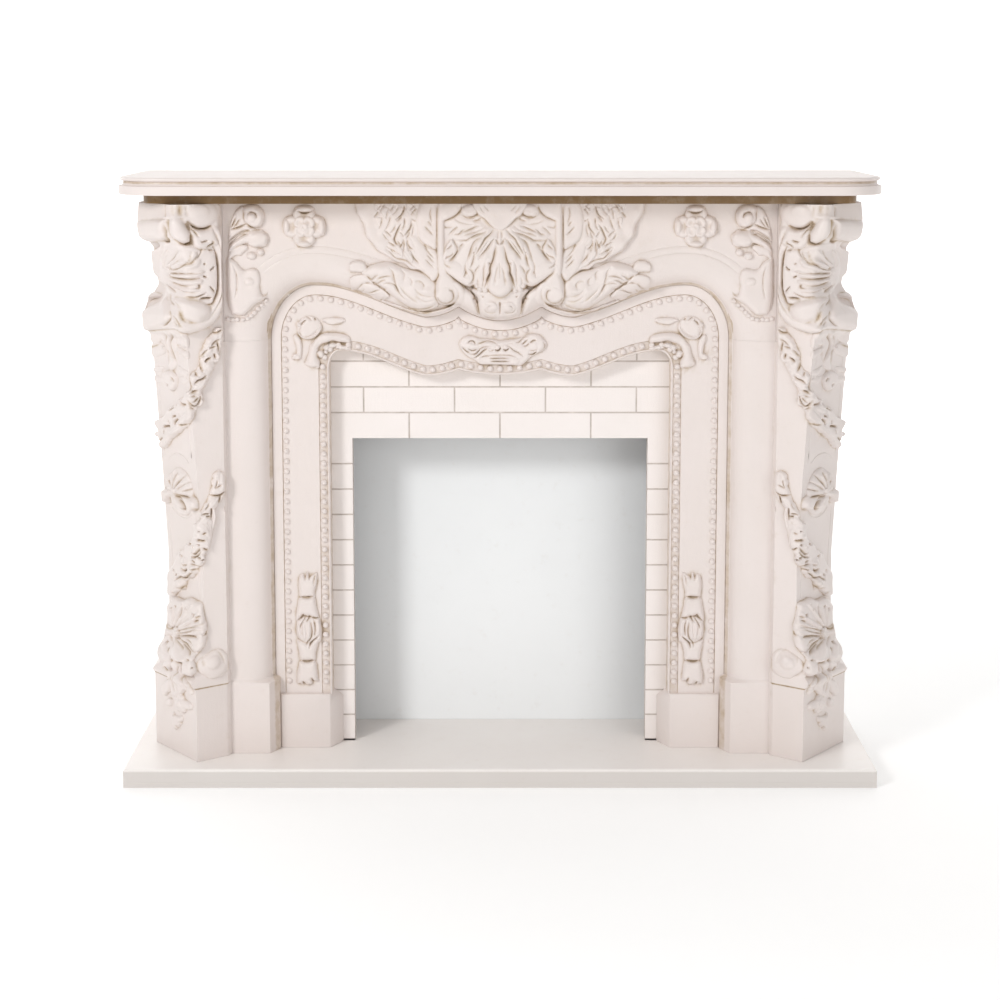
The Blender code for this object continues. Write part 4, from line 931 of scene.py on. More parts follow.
def frieze_spray(relief):
    """Acanthus spray that leaves the volute and runs up the haunch."""
    relief.body(((439, 286), (430, 276), (418, 271), (405, 268), (392, 262.5), (384, 262), (374, 264), (366, 268),
                 (361, 273), (366, 277.5), (372, 282), (378, 286), (384, 290), (388, 293.5), (395, 299), (403, 305),
                 (412, 310), (421, 312), (431, 310), (439, 305)), 0.0135, 0.016, seen=0.008)
    relief.body(((364, 262), (357, 260.5), (350, 263), (345.5, 268.5), (350, 273), (360, 273), (368, 271)), 0.0085,
                0.008, seen=0.004)
    relief.body(((368, 275), (358, 274.5), (350, 278), (346, 285), (350, 289.6), (356, 290), (361, 287.5), (367, 283),
                 (374, 285)), 0.0080, 0.008, seen=0.004)
    relief.body(((356, 286), (361, 292), (368, 294.5), (376, 299), (381, 302), (386, 299), (390, 296), (383, 289),
                 (374, 284), (365, 283)), 0.0070, 0.006, seen=0.004)
    relief.ridge(((372, 298), (384, 303), (396, 308.5), (408, 312.5), (420, 314.5), (434, 313)), 0.0085, 0.0065, 0.001)
    for centre, size, height, turn in (
            ((384, 269), (0.018, 0.009), 0.0035, 0.2), ((402, 280), (0.010, 0.020), -0.0035, 0.7),
            ((413, 291), (0.012, 0.010), 0.0030, 0.5), ((427, 291), (0.011, 0.007), 0.0040, 0.1),
            ((398, 274), (0.007, 0.013), 0.0025, 0.6), ((417, 301), (0.020, 0.005), 0.0020, -0.2)):
        relief.swell(centre, size, height, turn, 0.01)
    cut_lines(relief, SPRAY_LINES, 0.008, 1.3)


def frieze_wing(relief):
    """Wing: a smooth wavy rim, a bed of feathers, and two smooth leaves against the stem."""
    relief.body(((356, 198), (356.5, 212), (360.5, 219), (364, 226), (366, 236), (372, 243), (378, 251), (384, 254.5),
                 (390, 258), (396, 262), (404, 264), (411, 269.5), (419, 270.5), (426, 276), (433, 281), (443, 278),
                 (444, 260), (443, 240), (443, 220), (443, 204), (440, 197), (400, 197), (372, 197)), 0.0115, 0.007,
                seen=0.006)
    relief.swell((399, 226), (0.036, 0.034), 0.0060, 0.0, 0.012)
    for centre, size, height in (((363, 211), (0.009, 0.014), 0.0025), ((369, 228), (0.009, 0.013), 0.0025),
                                 ((378, 243), (0.012, 0.009), 0.0030), ((393, 257), (0.014, 0.007), 0.0025),
                                 ((374, 214), (0.008, 0.016), -0.0015), ((377, 232), (0.006, 0.010), -0.0015)):
        relief.swell(centre, size, height, 0.0, 0.012)
    feathers = ((396, 208, 8), (388, 214, 8), (380, 209, 8), (399, 222, 9), (391, 228, 9), (383, 224, 8),
                (405, 214, 8), (408, 226, 9), (400, 238, 9), (392, 243, 9), (405, 246, 9), (412, 240, 8),
                (411, 209, 7), (399, 251, 8), (409, 256, 8))
    for px, py, long in feathers:
        relief.leaf(((px + 0.45 * long, py + 0.9 * long), (px, py), (px - 0.55 * long, py - 0.8 * long)), 0.0145,
                    0.0032, 0.0125, groove=0.5, edge=0.45, full=0.62, seen=0.012)
    relief.body(((436, 197), (423, 201), (419, 208), (416.5, 218), (417, 228), (419, 237), (424, 243), (430, 246.5),
                 (436, 249), (442, 240), (442, 225), (442, 205)), 0.0065, 0.012, 0.0125, seen=0.014)
    relief.body(((414, 231), (413, 244), (416, 256), (421, 268), (428, 276), (434, 281), (441, 272), (441, 258),
                 (436, 250), (426, 246.5), (419, 240)), 0.0060, 0.010, 0.0095, seen=0.012)
    relief.cut(((436.4, 203), (436.8, 218), (436.8, 234), (436.2, 250)), 0.0025, 0.0016, fade=0.15, seen=0.016)
    cut_lines(relief, FEATHER_LINES, 0.013, 1.5)


def ruffled_shell(relief):
    """Shell in the middle: a smooth tongue, ruffled folds that fall from it, lobes at the sides and a
    round lobe below."""
    relief.body(((520, 198), (500, 199), (480, 199), (462, 199), (448, 201), (440, 205), (438, 214), (437.6, 235),
                 (438.6, 252), (440, 262), (443, 270), (452, 277), (461, 283.5), (468, 287), (474, 286.5), (478, 290.5),
                 (483, 294), (488, 292.5), (493, 296), (500, 297.5), (520, 297)), 0.0230, 0.013, seen=0.022)
    relief.swell((500, 256), (0.078, 0.058), 0.0150, 0.0, 0.025)
    relief.swell((447, 240), (0.014, 0.030), -0.0050, 0.0, 0.022)
    for centre, size, height, turn in (
            ((478, 247), (0.010, 0.032), 0.0050, 0.5), ((468, 236), (0.020, 0.010), 0.0035, 0.35),
            ((486, 262), (0.007, 0.026), 0.0035, -0.2), ((460, 222), (0.020, 0.008), 0.0030, 0.1),
            ((489, 236), (0.012, 0.012), 0.0020, 0.5), ((482, 228), (0.020, 0.008), 0.0030, 0.5)):
        relief.swell(centre, size, height, -turn, 0.032)
    relief.body(((476, 198), (477.5, 213), (484.5, 218.5), (491, 225.5), (497, 229.8), (503, 229.8), (509, 225.5),
                 (515.5, 218.5), (522.5, 213), (524, 198)), 0.0060, 0.004, 0.0290, seen=0.034)
    relief.swell((500, 214), (0.020, 0.016), -0.0030, 0.0, 0.034)
    relief.dome((470, 211), (0.0185, 0.0125), 0.0090, 0.0230, 0.2, 0.25)
    relief.body(((440, 204), (452, 200), (461.5, 202), (461, 208), (457, 213.5), (451, 218), (444, 221), (439.5, 221)),
                0.0070, 0.012, 0.0215, seen=0.026)
    relief.body(((452, 239), (456, 244.5), (457.5, 250), (456, 256), (451, 261), (445.5, 262), (443, 257), (445, 250),
                 (447.5, 244)), 0.0055, 0.006, 0.0215, seen=0.026)
    relief.body(((443, 263), (452, 257.5), (462, 259), (469, 265), (474, 273), (475, 280), (471, 286), (463, 284.5),
                 (452, 277), (445, 271)), 0.0110, 0.020, 0.0185, seen=0.028)
    relief.body(((490, 256), (488.5, 270), (487.5, 282), (489, 290), (494, 295), (500, 297), (506, 295), (511, 290),
                 (512.5, 282), (511.5, 270), (510, 256)), 0.0100, 0.016, 0.0270, seen=0.036)
    for px, py in ((485, 290.5), (480, 289.5), (477.5, 285.5)):
        relief.dome((px, py), (0.0055, 0.0060), 0.0070, 0.0200)
    cut_lines(relief, SHELL_LINES, 0.030, 1.3)
    for pit in PITS:
        relief.swell(pit, (0.0020, 0.0020), -0.0050, 0.0, 0.032)


def scroll_block(relief):
    """Below the shell: a block with a pair of scrolls between two plain petals."""
    relief.body(((474, 288), (477, 299), (478, 309), (480, 317), (490, 321), (500, 323), (510, 321), (520, 317),
                 (522, 309), (523, 299), (526, 288)), 0.0190, 0.013, seen=0.018)
    relief.swell((500, 300), (0.030, 0.010), -0.0035, 0.0, 0.018)
    relief.scroll((491.2, 308), 0.0150, 0.0060, 1.15, 1, 0.0165, 2.6, 0.85, 0.3, 0.6, seen=0.02)
    relief.cut(((500, 302), (500.3, 308), (500.8, 315)), 0.0080, 0.0016, fade=0.2, seen=0.02)
    relief.cut(((484, 309), (487, 312.6), (492, 313.6), (496, 312.5)), 0.0040, 0.0018, 0.3, seen=0.02)
    relief.cut(((481.5, 313), (486, 317), (492, 318.5), (497, 317)), 0.0035, 0.0020, 0.3, seen=0.02)
    relief.body(((455, 278), (466, 288), (473, 294), (477, 302), (480, 312), (482, 320), (470, 316), (458, 310),
                 (450, 300), (450, 285)), 0.0185, 0.016, seen=0.012)
    relief.cut(((472, 297), (475, 303), (476.8, 310), (478.5, 317)), 0.0040, 0.0018, 0.2, seen=0.014)


def stem_and_volute(relief):
    """Stem beside the shell: a flat strip that widens into a volute, whose outer band sweeps back along
    the arch."""
    relief.ridge(((441.5, 199, 0.0190, 0.9), (441, 225, 0.0190, 1.0), (441, 250, 0.0180, 1.0),
                  (442.5, 268, 0.0160, 1.3), (446, 284, 0.0120, 1.6)), 0.0135, 0.0080, 0.018, 0.06, 0.024)
    relief.body(((438.5, 258), (446, 267), (455, 277), (461, 286), (461, 298), (452, 305), (440, 305), (434.5, 296),
                 (435, 284), (438, 272)), 0.0240, 0.014, seen=0.016)
    relief.ridge(((449, 282, 0.014, 0.9), (456, 285, 0.014, 1.0), (460.5, 291, 0.013, 1.1), (461, 299, 0.012, 1.2),
                  (456.5, 306.5, 0.010, 1.2), (448, 311.5, 0.008, 1.2), (436, 314.5, 0.005, 1.1),
                  (424, 315, 0.003, 0.9), (410, 312, 0.001, 0.7), (395, 306.5, 0.000, 0.6), (380, 300.5, 0, 0.5)),
                 0.0140, 0.0095, 0.012, 0.06, 0.016)
    relief.scroll((446, 295), 0.0195, 0.0080, 0.9, -1, 0.0185, 1.0, 1.0, 0.0, 0.0, seen=0.024)
    relief.cut(((448.5, 289.5), (451.8, 291.5), (453.3, 295.5), (452.3, 300), (448, 303), (443, 303), (439, 300.5),
                (437.5, 297)), 0.0060, 0.0020, 0.4, 0.12, 0.024)


def frieze_relief(left, right, columns, rows, ground):
    """Empty relief on the frieze between two upright lines, from the edge of the arch to the top."""
    arch = frieze_arch()[::-1]
    across = np.linspace(left, right, columns)
    low = np.interp(-across, arch[:, 0], arch[:, 1]) + 0.002
    share = np.linspace(0, 1, rows)
    a = np.repeat(across[:, None], rows, 1)
    b = low[:, None] + (FRIEZE_TOP - 0.0004 - low[:, None]) * share
    return Relief(a, b, on_frieze(ground))


def frieze_middle(carving, ground):
    """Middle of the frieze: the left half is worked out and the right half repeats it."""
    relief = frieze_relief(-0.297, 0.0, 240, 190, ground)
    frieze_spray(relief)
    frieze_wing(relief)
    scroll_block(relief)
    ruffled_shell(relief)
    stem_and_volute(relief)
    a, b, h, cut_glaze_and_shade = (values.reshape(relief.shape) for values in (relief.a, relief.b, relief.h, relief.cut_glaze_and_shade))
    carving.sheet(np.vstack([a, -a[-2::-1]]), *(np.vstack([part, part[-2::-1]]) for part in (b, h)), 0.008,
                  np.vstack([cut_glaze_and_shade, cut_glaze_and_shade[-2::-1]]))


# Left end of the frieze in pixels
CORNER_BODIES = (
    (0.0080, 0.010, 0.0000, 0.005, ((228, 244), (229, 230), (232, 218), (237, 209), (243, 206), (245, 214), (249, 223),
                                    (256, 227.5), (262, 229), (252, 231.5), (241, 236), (233, 242))),
    (0.0130, 0.011, 0.0000, 0.009, ((242.7, 207.5), (248, 204.5), (255, 204.5), (261, 208.3), (264.2, 215.2),
                                    (262.7, 223), (259, 227), (252.5, 226.4), (247.5, 223), (243.4, 215))),
    (0.0120, 0.011, 0.0000, 0.008, ((228, 252), (231, 243), (239, 236.6), (248.8, 231), (258, 230.4), (262, 229.6),
                                    (265.8, 234.5), (267.7, 241.4), (265.8, 246), (260.4, 247.5), (255, 246.8),
                                    (249.6, 245.2), (245.8, 243.7), (238, 246.5))),
    (0.0070, 0.008, 0.0000, 0.005, ((228, 259), (229, 250), (238, 245.5), (245.5, 244.6), (248, 248), (244.5, 253.7),
                                    (241.2, 257), (236.5, 257), (230.4, 259.4))),
    (0.0110, 0.016, 0.0000, 0.007, ((227, 258), (231, 258.5), (236, 262), (240, 267), (244.2, 269.8), (252, 267.5),
                                    (258, 269.8), (259.8, 275.2), (260.4, 280.6), (259.6, 287), (262, 295),
                                    (268, 291.6), (264.6, 299.4), (255, 306), (249.6, 311.4), (245, 315.6),
                                    (240.4, 316.6), (235.8, 315.4), (231, 313), (227, 300), (226.5, 280))),
)
CORNER_LINES = (
    (0.0060, 0.0016, 0.2, ((235.8, 216.8), (233.5, 222), (230.4, 228.3))), (0.0050, 0.0016, 0.2, ((239.6, 218.3), (236.5, 223.7), (233, 228))),
    (0.0070, 0.0016, 0.2, ((245.8, 224), (238, 227.5), (229.6, 229.8))),
    (0.0100, 0.0019, 0.2, ((249.6, 229.8), (242, 232), (234.2, 236.8), (227.7, 241.4))),
    (0.0070, 0.0016, 0.2, ((248.8, 233.7), (240.4, 236), (234.2, 240.6), (227.7, 244.5))),
    (0.0090, 0.0018, 0.2, ((230.4, 259), (236.5, 257), (241.2, 257), (243.7, 253.7), (246.7, 250.6))),
    (0.0060, 0.0018, 0.2, ((255.4, 262.5), (261.2, 257.5), (268.8, 253), (280.4, 249.8))),
    (0.0060, 0.0016, 0.2, ((247.6, 214.2), (250.4, 212.2), (255, 213.6), (257, 218))),
    (0.0070, 0.0018, 0.2, ((262, 229), (256, 228.5), (250, 226.4), (246, 222))),
    (0.0060, 0.0018, 0.2, ((244.4, 270), (252, 267.7), (258, 270), (259.8, 276))),
    (0.0070, 0.0016, 0.2, ((235.4, 315.4), (240.4, 316.8), (245.4, 315.2), (251, 309.8), (255.8, 305.6), (262.7, 301.2),
                           (265.6, 298))),
    (0.0050, 0.0016, 0.2, ((261.2, 296.4), (265, 295.6), (268, 292))), (0.0035, 0.0016, 0.2, ((232, 264), (236, 274), (236.6, 288), (234.6, 300))),
)
ROSETTE, ROSETTE_EYE = (303.8, 226.8), (304, 227)
ROSETTE_LINES = (
    (0.0060, 0.0016, 0.2, ((297, 210.6), (300.5, 212.6), (303.8, 213.2), (308.5, 212.6), (312.7, 210.8))),
    (0.0050, 0.0016, 0.2, ((294.5, 241), (297, 246), (303.8, 248), (311, 246), (314, 241.4))),
    (0.0050, 0.0016, 0.2, ((330.4, 246.8), (333.4, 244.2), (335, 240.6))), (0.0040, 0.0016, 0.2, ((328.6, 206), (335, 205.6))),
)


def corner_leaves(relief):
    """End of the frieze: stems that fan out of the pier into a ball scroll, a lobe and two small balls,
    below them a smooth eyed leaf with a serrated edge over the moulding, and a comb under it."""
    lay_bodies(relief, CORNER_BODIES)
    relief.dome((253, 217.5), (0.0175, 0.0185), 0.0040, 0.0110, seen=0.013)
    relief.dome((251.2, 218), (0.0095, 0.0095), 0.0050, 0.0130, seen=0.016)
    relief.dome((257, 239.6), (0.0190, 0.0130), 0.0050, 0.0100, 0.3, seen=0.014)
    relief.dome((260.4, 252.5), (0.0078, 0.0078), 0.0090, seen=0.006)
    relief.dome((251.2, 256), (0.0098, 0.0082), 0.0090, seen=0.006)
    relief.swell((249, 282), (0.0200, 0.0200), -0.0040, 0.0, 0.008)
    relief.dome((248.8, 281.8), (0.0105, 0.0080), 0.0050, 0.0065, seen=0.010)
    for px, py in ((228, 319), (232.7, 320), (237.3, 319.6), (242.7, 320), (247.6, 318.6), (251.4, 315.8),
                   (254.4, 312.6), (258, 309), (262, 305.4), (266, 301)):
        relief.dome((px, py), (0.0052, 0.0048), 0.0060, seen=0.004)
    cut_lines(relief, CORNER_LINES, 0.010, 1.2)


def rosette(relief):
    """Round rosette: four broad petals with turned lips, four small ones over them, and a ringed eye."""
    relief.flower(ROSETTE, 0.0420, 0.0140, 4, 0.0, 0.0, 0.22, 0.0, 0.45, seen=0.008)
    for quarter in range(4):
        angle = math.pi / 2 * quarter
        lip = (ROSETTE[0] + 17.5 * math.cos(angle), ROSETTE[1] + 17.5 * math.sin(angle))
        relief.dome(lip, (0.0060, 0.0140), 0.0065, 0.0085, angle, seen=0.012)
    relief.flower(ROSETTE_EYE, 0.0240, 0.0090, 4, math.pi / 4, 0.0075, 0.25, 0.0, 0.45, seen=0.014)
    relief.dome(ROSETTE_EYE, (0.0080, 0.0080), 0.0055, 0.0135, dimple=0.6, seen=0.016)
    cut_lines(relief, ROSETTE_LINES, 0.010, 1.3)


def make_frieze(finish):
    """The whole frieze: its body, the carving of the middle, and that of each end."""
    ground = FriezeGround()
    middle, left = Carving(), Carving()
    frieze_middle(middle, ground)
    relief = frieze_relief(-FRIEZE_HALF + 0.001, -0.335, 172, 168, ground)
    rosette(relief)
    corner_leaves(relief)
    relief.shell(left)
    right = left.mirrored()
    carving = Carving()
    for part in (middle, left, right):
        carving.add(part)
    depths = Depths(carving, (-0.60, SPRING - 0.02), (0.60, FRIEZE_TOP + 0.02))
    flat = flat_ground(JAMB_FACE)

    class BodyDepths:
        """The body is in the same plan as the carving, but its own h already holds the moulding."""

        @staticmethod
        def hollow(plan):
            level = plan * [1, 1, 0]
            # Glaze and painted shade on the body beside the carving, weaker than on the carving.
            return np.clip(0.6 * depths.hollow(level), -1.0, 0.3) * (plan[:, 2] > -0.045)

    make_piece("carved_frieze", [(frieze_body(), flat, BodyDepths)], finish, "frieze")
    for name, part in (("middle", middle), ("left", left), ("right", right)):
        make_piece(f"frieze_carving_{name}", [(part, ground, depths)], finish, "frieze")


# Legs


def pier_projection(z):
    """How far the pier's canted face stands beyond its plinth, rounded over three millimetres."""
    total = 0.0
    for shift in (-0.003, -0.0015, 0.0, 0.0015, 0.003):
        share = (z + shift - PIER_PLINTH_TOP) / (FRIEZE_TOP - PIER_PLINTH_TOP)
        total = total + np.interp(share, PIER_SHARES, PIER_PROJECTIONS)
    return total / 5


def pier_corners(z):
    """Plan corners of the pier at heights z: its root, its near arris and its far arris."""
    along = np.array([math.cos(PIER_TURN), math.sin(PIER_TURN)])
    outward = np.array([math.sin(PIER_TURN), -math.cos(PIER_TURN)])
    on_plinth = 1 - ease((z - PIER_PLINTH_TOP) / 0.030)
    start = SHAFT_INSET_NEAR * (1 - on_plinth)
    end = PIER_FACE - SHAFT_INSET_FAR * (1 - on_plinth)
    corner = PIER_CORNER + outward * pier_projection(z)[..., None]
    near = corner + along * start[..., None]
    far = corner + along * end[..., None]
    root = PIER_CORNER - outward * PIER_RETURN
    root = np.array([max(root[0], FRIEZE_HALF + 0.001), root[1]])
    return np.broadcast_to(root, near.shape), near, far


def pier_ground(a, z, h):
    """Ground of the right pier. a is 0 at the near arris, -RETURN at the root and FACE at the far arris;
    beyond them it goes on along the frieze's face and the outer side. The way out of the ground turns
    gently over fourteen millimetres at each arris."""
    root, near, far = pier_corners(z)
    outward = np.array([math.sin(PIER_TURN), -math.cos(PIER_TURN)])
    run = near - root
    across = np.column_stack([run[:, 1], -run[:, 0]]) / np.linalg.norm(run, axis=1, keepdims=True)
    share = np.clip(1 + a / RETURN, 0, 1)[:, None]
    place = np.where((a < 0)[:, None], root + run * share, near + (far - near) * np.clip(a / FACE, 0, 1)[:, None])
    place = place + np.array([-1.0, 0.0]) * np.maximum(-RETURN - a, 0)[:, None]
    place = place + np.array([0.0, 1.0]) * np.maximum(a - FACE, 0)[:, None]
    turn = ease((a + 0.012) / 0.024)[:, None]
    way = across * (1 - turn) + outward * turn
    beyond = ease((a - FACE + 0.010) / 0.024)[:, None]
    way = way * (1 - beyond) + np.array([1.0, 0.0]) * beyond
    inside = ease((-RETURN + 0.010 - a) / 0.020)[:, None]
    way = way * (1 - inside) + np.array([0.0, -1.0]) * inside
    way /= np.linalg.norm(way, axis=1, keepdims=True)
    place = place + way * h[:, None]
    return np.column_stack([place, z])


def mirrored_ground(ground):
    """The same ground on the left side."""
    return lambda a, b, h: ground(a, b, h) * [-1, 1, 1]


def leg_body():
    """Body of the right leg: its plan, as rings of points, at each height. The points of a ring follow
    the jamb's side, its rounded moulding, its face, the pier's return, canted face and outer side."""
    foot = HEARTH_TOP + GAP
    levels = np.concatenate([
        np.linspace(foot, JAMB_PLINTH_TOP, 26), np.linspace(JAMB_PLINTH_TOP, JAMB_PLINTH_TOP + 0.026, 22)[1:],
        np.arange(JAMB_PLINTH_TOP + 0.029, SPRING - 0.001, 0.003), [SPRING, SPRING + 0.0005],
        np.arange(SPRING + 0.003, FRIEZE_TOP - 0.002, 0.003), [FRIEZE_TOP]])
    z = levels[:, None]
    low = 1 - ease((z - JAMB_PLINTH_TOP) / PLINTH_WEATHERING)
    inner = ARCH_SIDE - PLINTH_STEP * low
    steps = np.concatenate([[0, 0.002, 0.0045, MOULD_FILLET], MOULD_FILLET + 0.055 * (1 - np.cos(
        np.linspace(0.12, math.pi / 2, 16)))])
    shaft_x = np.concatenate([ARCH_SIDE + steps, np.linspace(ARCH_SIDE + 0.066, FRIEZE_HALF - 0.002, 5)])
    shaft_y = np.concatenate([JAMB_FACE + mould_sink(steps), np.full(5, JAMB_FACE)])
    front = JAMB_FACE - PLINTH_PROUD
    chamfer = ARCH_SIDE - PLINTH_STEP + PLINTH_CHAMFER
    count = len(shaft_x)
    cut = 6
    plinth_x = np.concatenate([np.linspace(ARCH_SIDE - PLINTH_STEP, chamfer, cut),
                               np.linspace(chamfer, FRIEZE_HALF - 0.002, count - cut + 1)[1:]])
    plinth_y = np.concatenate([np.linspace(front + PLINTH_CHAMFER_DEPTH, front, cut), np.full(count - cut, front)])
    jamb_x = shaft_x[None] + (plinth_x - shaft_x)[None] * low
    jamb_y = shaft_y[None] + (plinth_y - shaft_y)[None] * low
    side_y = WALL + (jamb_y[:, :1] - WALL) * np.linspace(0, 1, 5)[None, :-1]
    x = np.hstack([inner + 0 * side_y, jamb_x])
    y = np.hstack([side_y, jamb_y])
    above = levels > SPRING + 0.0002
    x[above] = FRIEZE_HALF
    y[above] = WALL + (JAMB_FACE - WALL) * np.linspace(0, 1, x.shape[1])[None]
    round_off = 0.004 * np.array([0.0, 0.35, 0.7, 1.0])
    a = np.concatenate([np.linspace(-RETURN, -0.004, 18), -round_off[2:0:-1] * 0.5, [0.0], round_off[1:3] * 0.5,
                        np.linspace(0.004, FACE, 56), FACE + np.linspace(0, 1, 12)[1:] * 0.2])
    rows, columns = len(levels), len(a)
    every_a, every_z = np.broadcast_to(a, (rows, columns)), np.broadcast_to(z, (rows, columns))
    pier = pier_ground(np.minimum(every_a, FACE).ravel(), every_z.ravel(), np.zeros(rows * columns))
    pier_x, pier_y = pier[:, 0].reshape(rows, columns), pier[:, 1].reshape(rows, columns)
    side = np.clip((every_a - FACE) / 0.2, 0, 1)
    pier_y = pier_y + (WALL - pier_y) * side
    x, y = np.hstack([x, pier_x]), np.hstack([y, pier_y])
    hollow = np.zeros_like(x)
    jamb_columns = 4 + count
    # Glaze and painted shade along the jamb's fillet and at the root of its moulding.
    hollow[:, 4:7] = 0.45
    hollow[:, jamb_columns - 1:jamb_columns + 2] = 0.08
    # Dark line under the pier plinth's roll: painted shade under the roll.
    painted_shade_under_roll = 0.9 * np.exp(-((levels - PIER_PLINTH_TOP - 0.0005) / 0.0016) ** 2)[:, None]
    hollow[:, jamb_columns:-11] = np.maximum(hollow[:, jamb_columns:-11], painted_shade_under_roll)
    plan_a = np.hstack([np.full((rows, jamb_columns), -0.5), every_a])
    return x, y, np.broadcast_to(z, x.shape), hollow, plan_a


def seen_at(places):
    """Pixels of the photograph's frame at which places are seen."""
    back, drop = places[:, 1] - CAMERA_Y, CAMERA_Z - places[:, 2]
    deep = back * math.cos(TILT) + drop * math.sin(TILT)
    fall = drop * math.cos(TILT) - back * math.sin(TILT)
    return np.column_stack([500 + FOCAL * places[:, 0] / deep, SIGHT_ROW + FOCAL * fall / deep])


def far_limit(a, b):
    """Greatest height near the far arris: it falls to a few millimetres there, or more where a garland
    ends, and to nothing round the corner by a parabola."""
    edge = 0.004 + 0.012 * np.exp(-((b - 0.69) / 0.035) ** 2) + 0.007 * np.exp(-((b - 0.385) / 0.04) ** 2)
    inner = edge + 0.8 * np.clip(FACE - a, 0, 0.05)
    outer = (edge + 0.0025) * (1 - np.clip((a - FACE) / 0.015, 0, 1) ** 2) - 0.0025
    return np.where(a < FACE, inner, outer)


def on_pier(knots, level):
    """Turn pixels of the left leg into plan places on the pier, for forms seen at a level above it: each
    Newton step solves the two slopes of the pixels along a and b for what is still missing."""
    knots = np.asarray(knots, float)
    target = np.column_stack([1000 - knots[:, 0], knots[:, 1]])
    plan = np.column_stack([(194 - knots[:, 0]) / 244, 0.6 + (480.8 - knots[:, 1]) / 495])
    step = 1e-4
    for _ in range(16):
        h = np.minimum(level, far_limit(plan[:, 0], plan[:, 1]))
        here = seen_at(pier_ground(plan[:, 0], plan[:, 1], h))
        across = (seen_at(pier_ground(plan[:, 0] + step, plan[:, 1], h)) - here) / step
        up = (seen_at(pier_ground(plan[:, 0], plan[:, 1] + step, h)) - here) / step
        miss = target - here
        whole = across[:, 0] * up[:, 1] - across[:, 1] * up[:, 0]
        move = np.column_stack([miss[:, 0] * up[:, 1] - miss[:, 1] * up[:, 0],
                                across[:, 0] * miss[:, 1] - across[:, 1] * miss[:, 0]]) / whole[:, None]
        plan += 0.7 * np.clip(move, -0.02, 0.02)
        plan[:, 0] = np.clip(plan[:, 0], -RETURN - 0.012, FACE + 0.016)
    return np.column_stack([plan, knots[:, 2:]])


def on_far_pier(knots, level):
    """The same on the far half of the canted face, which the photograph hides: mirrored about its middle."""
    plan = on_pier(knots, level)
    plan[:, 0] = 2 * CENTRE - plan[:, 0]
    return plan


def pier_relief(low, high, cell=0.0014, left=-RETURN + 0.0005, right=FACE + 0.016):
    """Empty relief on the pier between two heights."""
    a = np.linspace(left, right, int((right - left) / cell))
    b = np.linspace(low, high, int((high - low) / cell))
    return Relief(np.repeat(a[:, None], len(b), 1), np.repeat(b[None], len(a), 0), on_pier)


def lay_bodies(relief, bodies):
    """Closed forms given as (height, edge, level, seen, knots)."""
    for height, edge, level, seen, knots in bodies:
        relief.body(knots, height, edge, level, seen)


# Left leg in pixels: outline of the capital, its big forms, and the lines cut into it
CAPITAL_EDGE = (
    (147, 199), (145, 206), (144.7, 212), (147, 220), (148.5, 229), (153, 236), (160, 243), (158.5, 252), (157.5, 260),
    (157.5, 270), (159.5, 279), (164, 286), (166, 292), (162, 299), (157.4, 306), (151.8, 313), (150.3, 319),
    (152, 325), (156, 328.3), (169, 329.6), (178, 330.8), (184, 333), (190, 334), (196, 332.2), (204, 330),
    (210, 326.8), (216, 322), (222, 311), (225.5, 297), (227.4, 281), (227.8, 265), (227.2, 253), (225, 241),
    (221, 230), (219.5, 221), (220, 205), (208, 198), (197, 197), (180, 198), (164, 198))
CAPITAL_LOBES = (
    (0.0090, 0.005, 0.0110, 0.018, ((147, 197), (145, 206), (144.7, 212), (147, 219.5), (157, 217.5), (168, 220),
                                    (180, 218.5), (189, 221), (191, 212), (191, 197), (168, 196))),
    (0.0165, 0.019, 0.0130, 0.021, ((151, 219), (148.5, 222), (149, 227), (152, 233), (156.6, 237.5), (161, 240.6),
                                    (164.3, 241.4), (166, 238), (165.3, 231), (164.3, 223.7), (161.2, 218.3),
                                    (157.4, 216))),
    (0.0165, 0.019, 0.0130, 0.021, ((168, 220), (167.2, 226.8), (168, 233), (172.8, 239), (178, 242.6), (183.5, 244.4),
                                    (188, 243.4), (192, 241.4), (191.2, 234.5), (187.4, 226.8), (183.5, 221.4),
                                    (179, 217), (172.8, 216.4))),
    (0.0085, 0.008, 0.0120, 0.018, ((189, 222), (192, 226), (197.4, 229), (203.5, 230), (209, 228.5), (213, 227),
                                    (218, 236), (219, 243), (212, 247), (206, 249), (199, 249), (193, 243),
                                    (191, 234))),
    (0.0060, 0.020, 0.0130, 0.016, ((164, 243), (176, 244), (190, 246), (200, 250), (208, 250), (214, 250), (217, 260),
                                    (218, 273), (217.5, 285), (215, 296), (207, 299), (196, 299), (183, 297),
                                    (170, 295), (163, 284), (159.5, 272), (160, 256))),
    (0.0150, 0.018, 0.0110, 0.019, ((169, 299), (180, 299), (192, 301), (203, 302.5), (210, 306), (211.5, 311),
                                    (210.5, 315.2), (206.6, 319.8), (200.5, 323.2), (194.3, 323), (188, 319.8),
                                    (183.5, 316), (179.7, 309.8), (175, 303.7))),
    (0.0110, 0.012, 0.0100, 0.016, ((164.3, 295), (160.5, 301.4), (157.4, 308.3), (152.8, 313), (150.8, 319),
                                    (152, 324.5), (155.8, 327.5), (160.5, 326), (168, 320), (168.5, 311),
                                    (167.5, 303))),
)
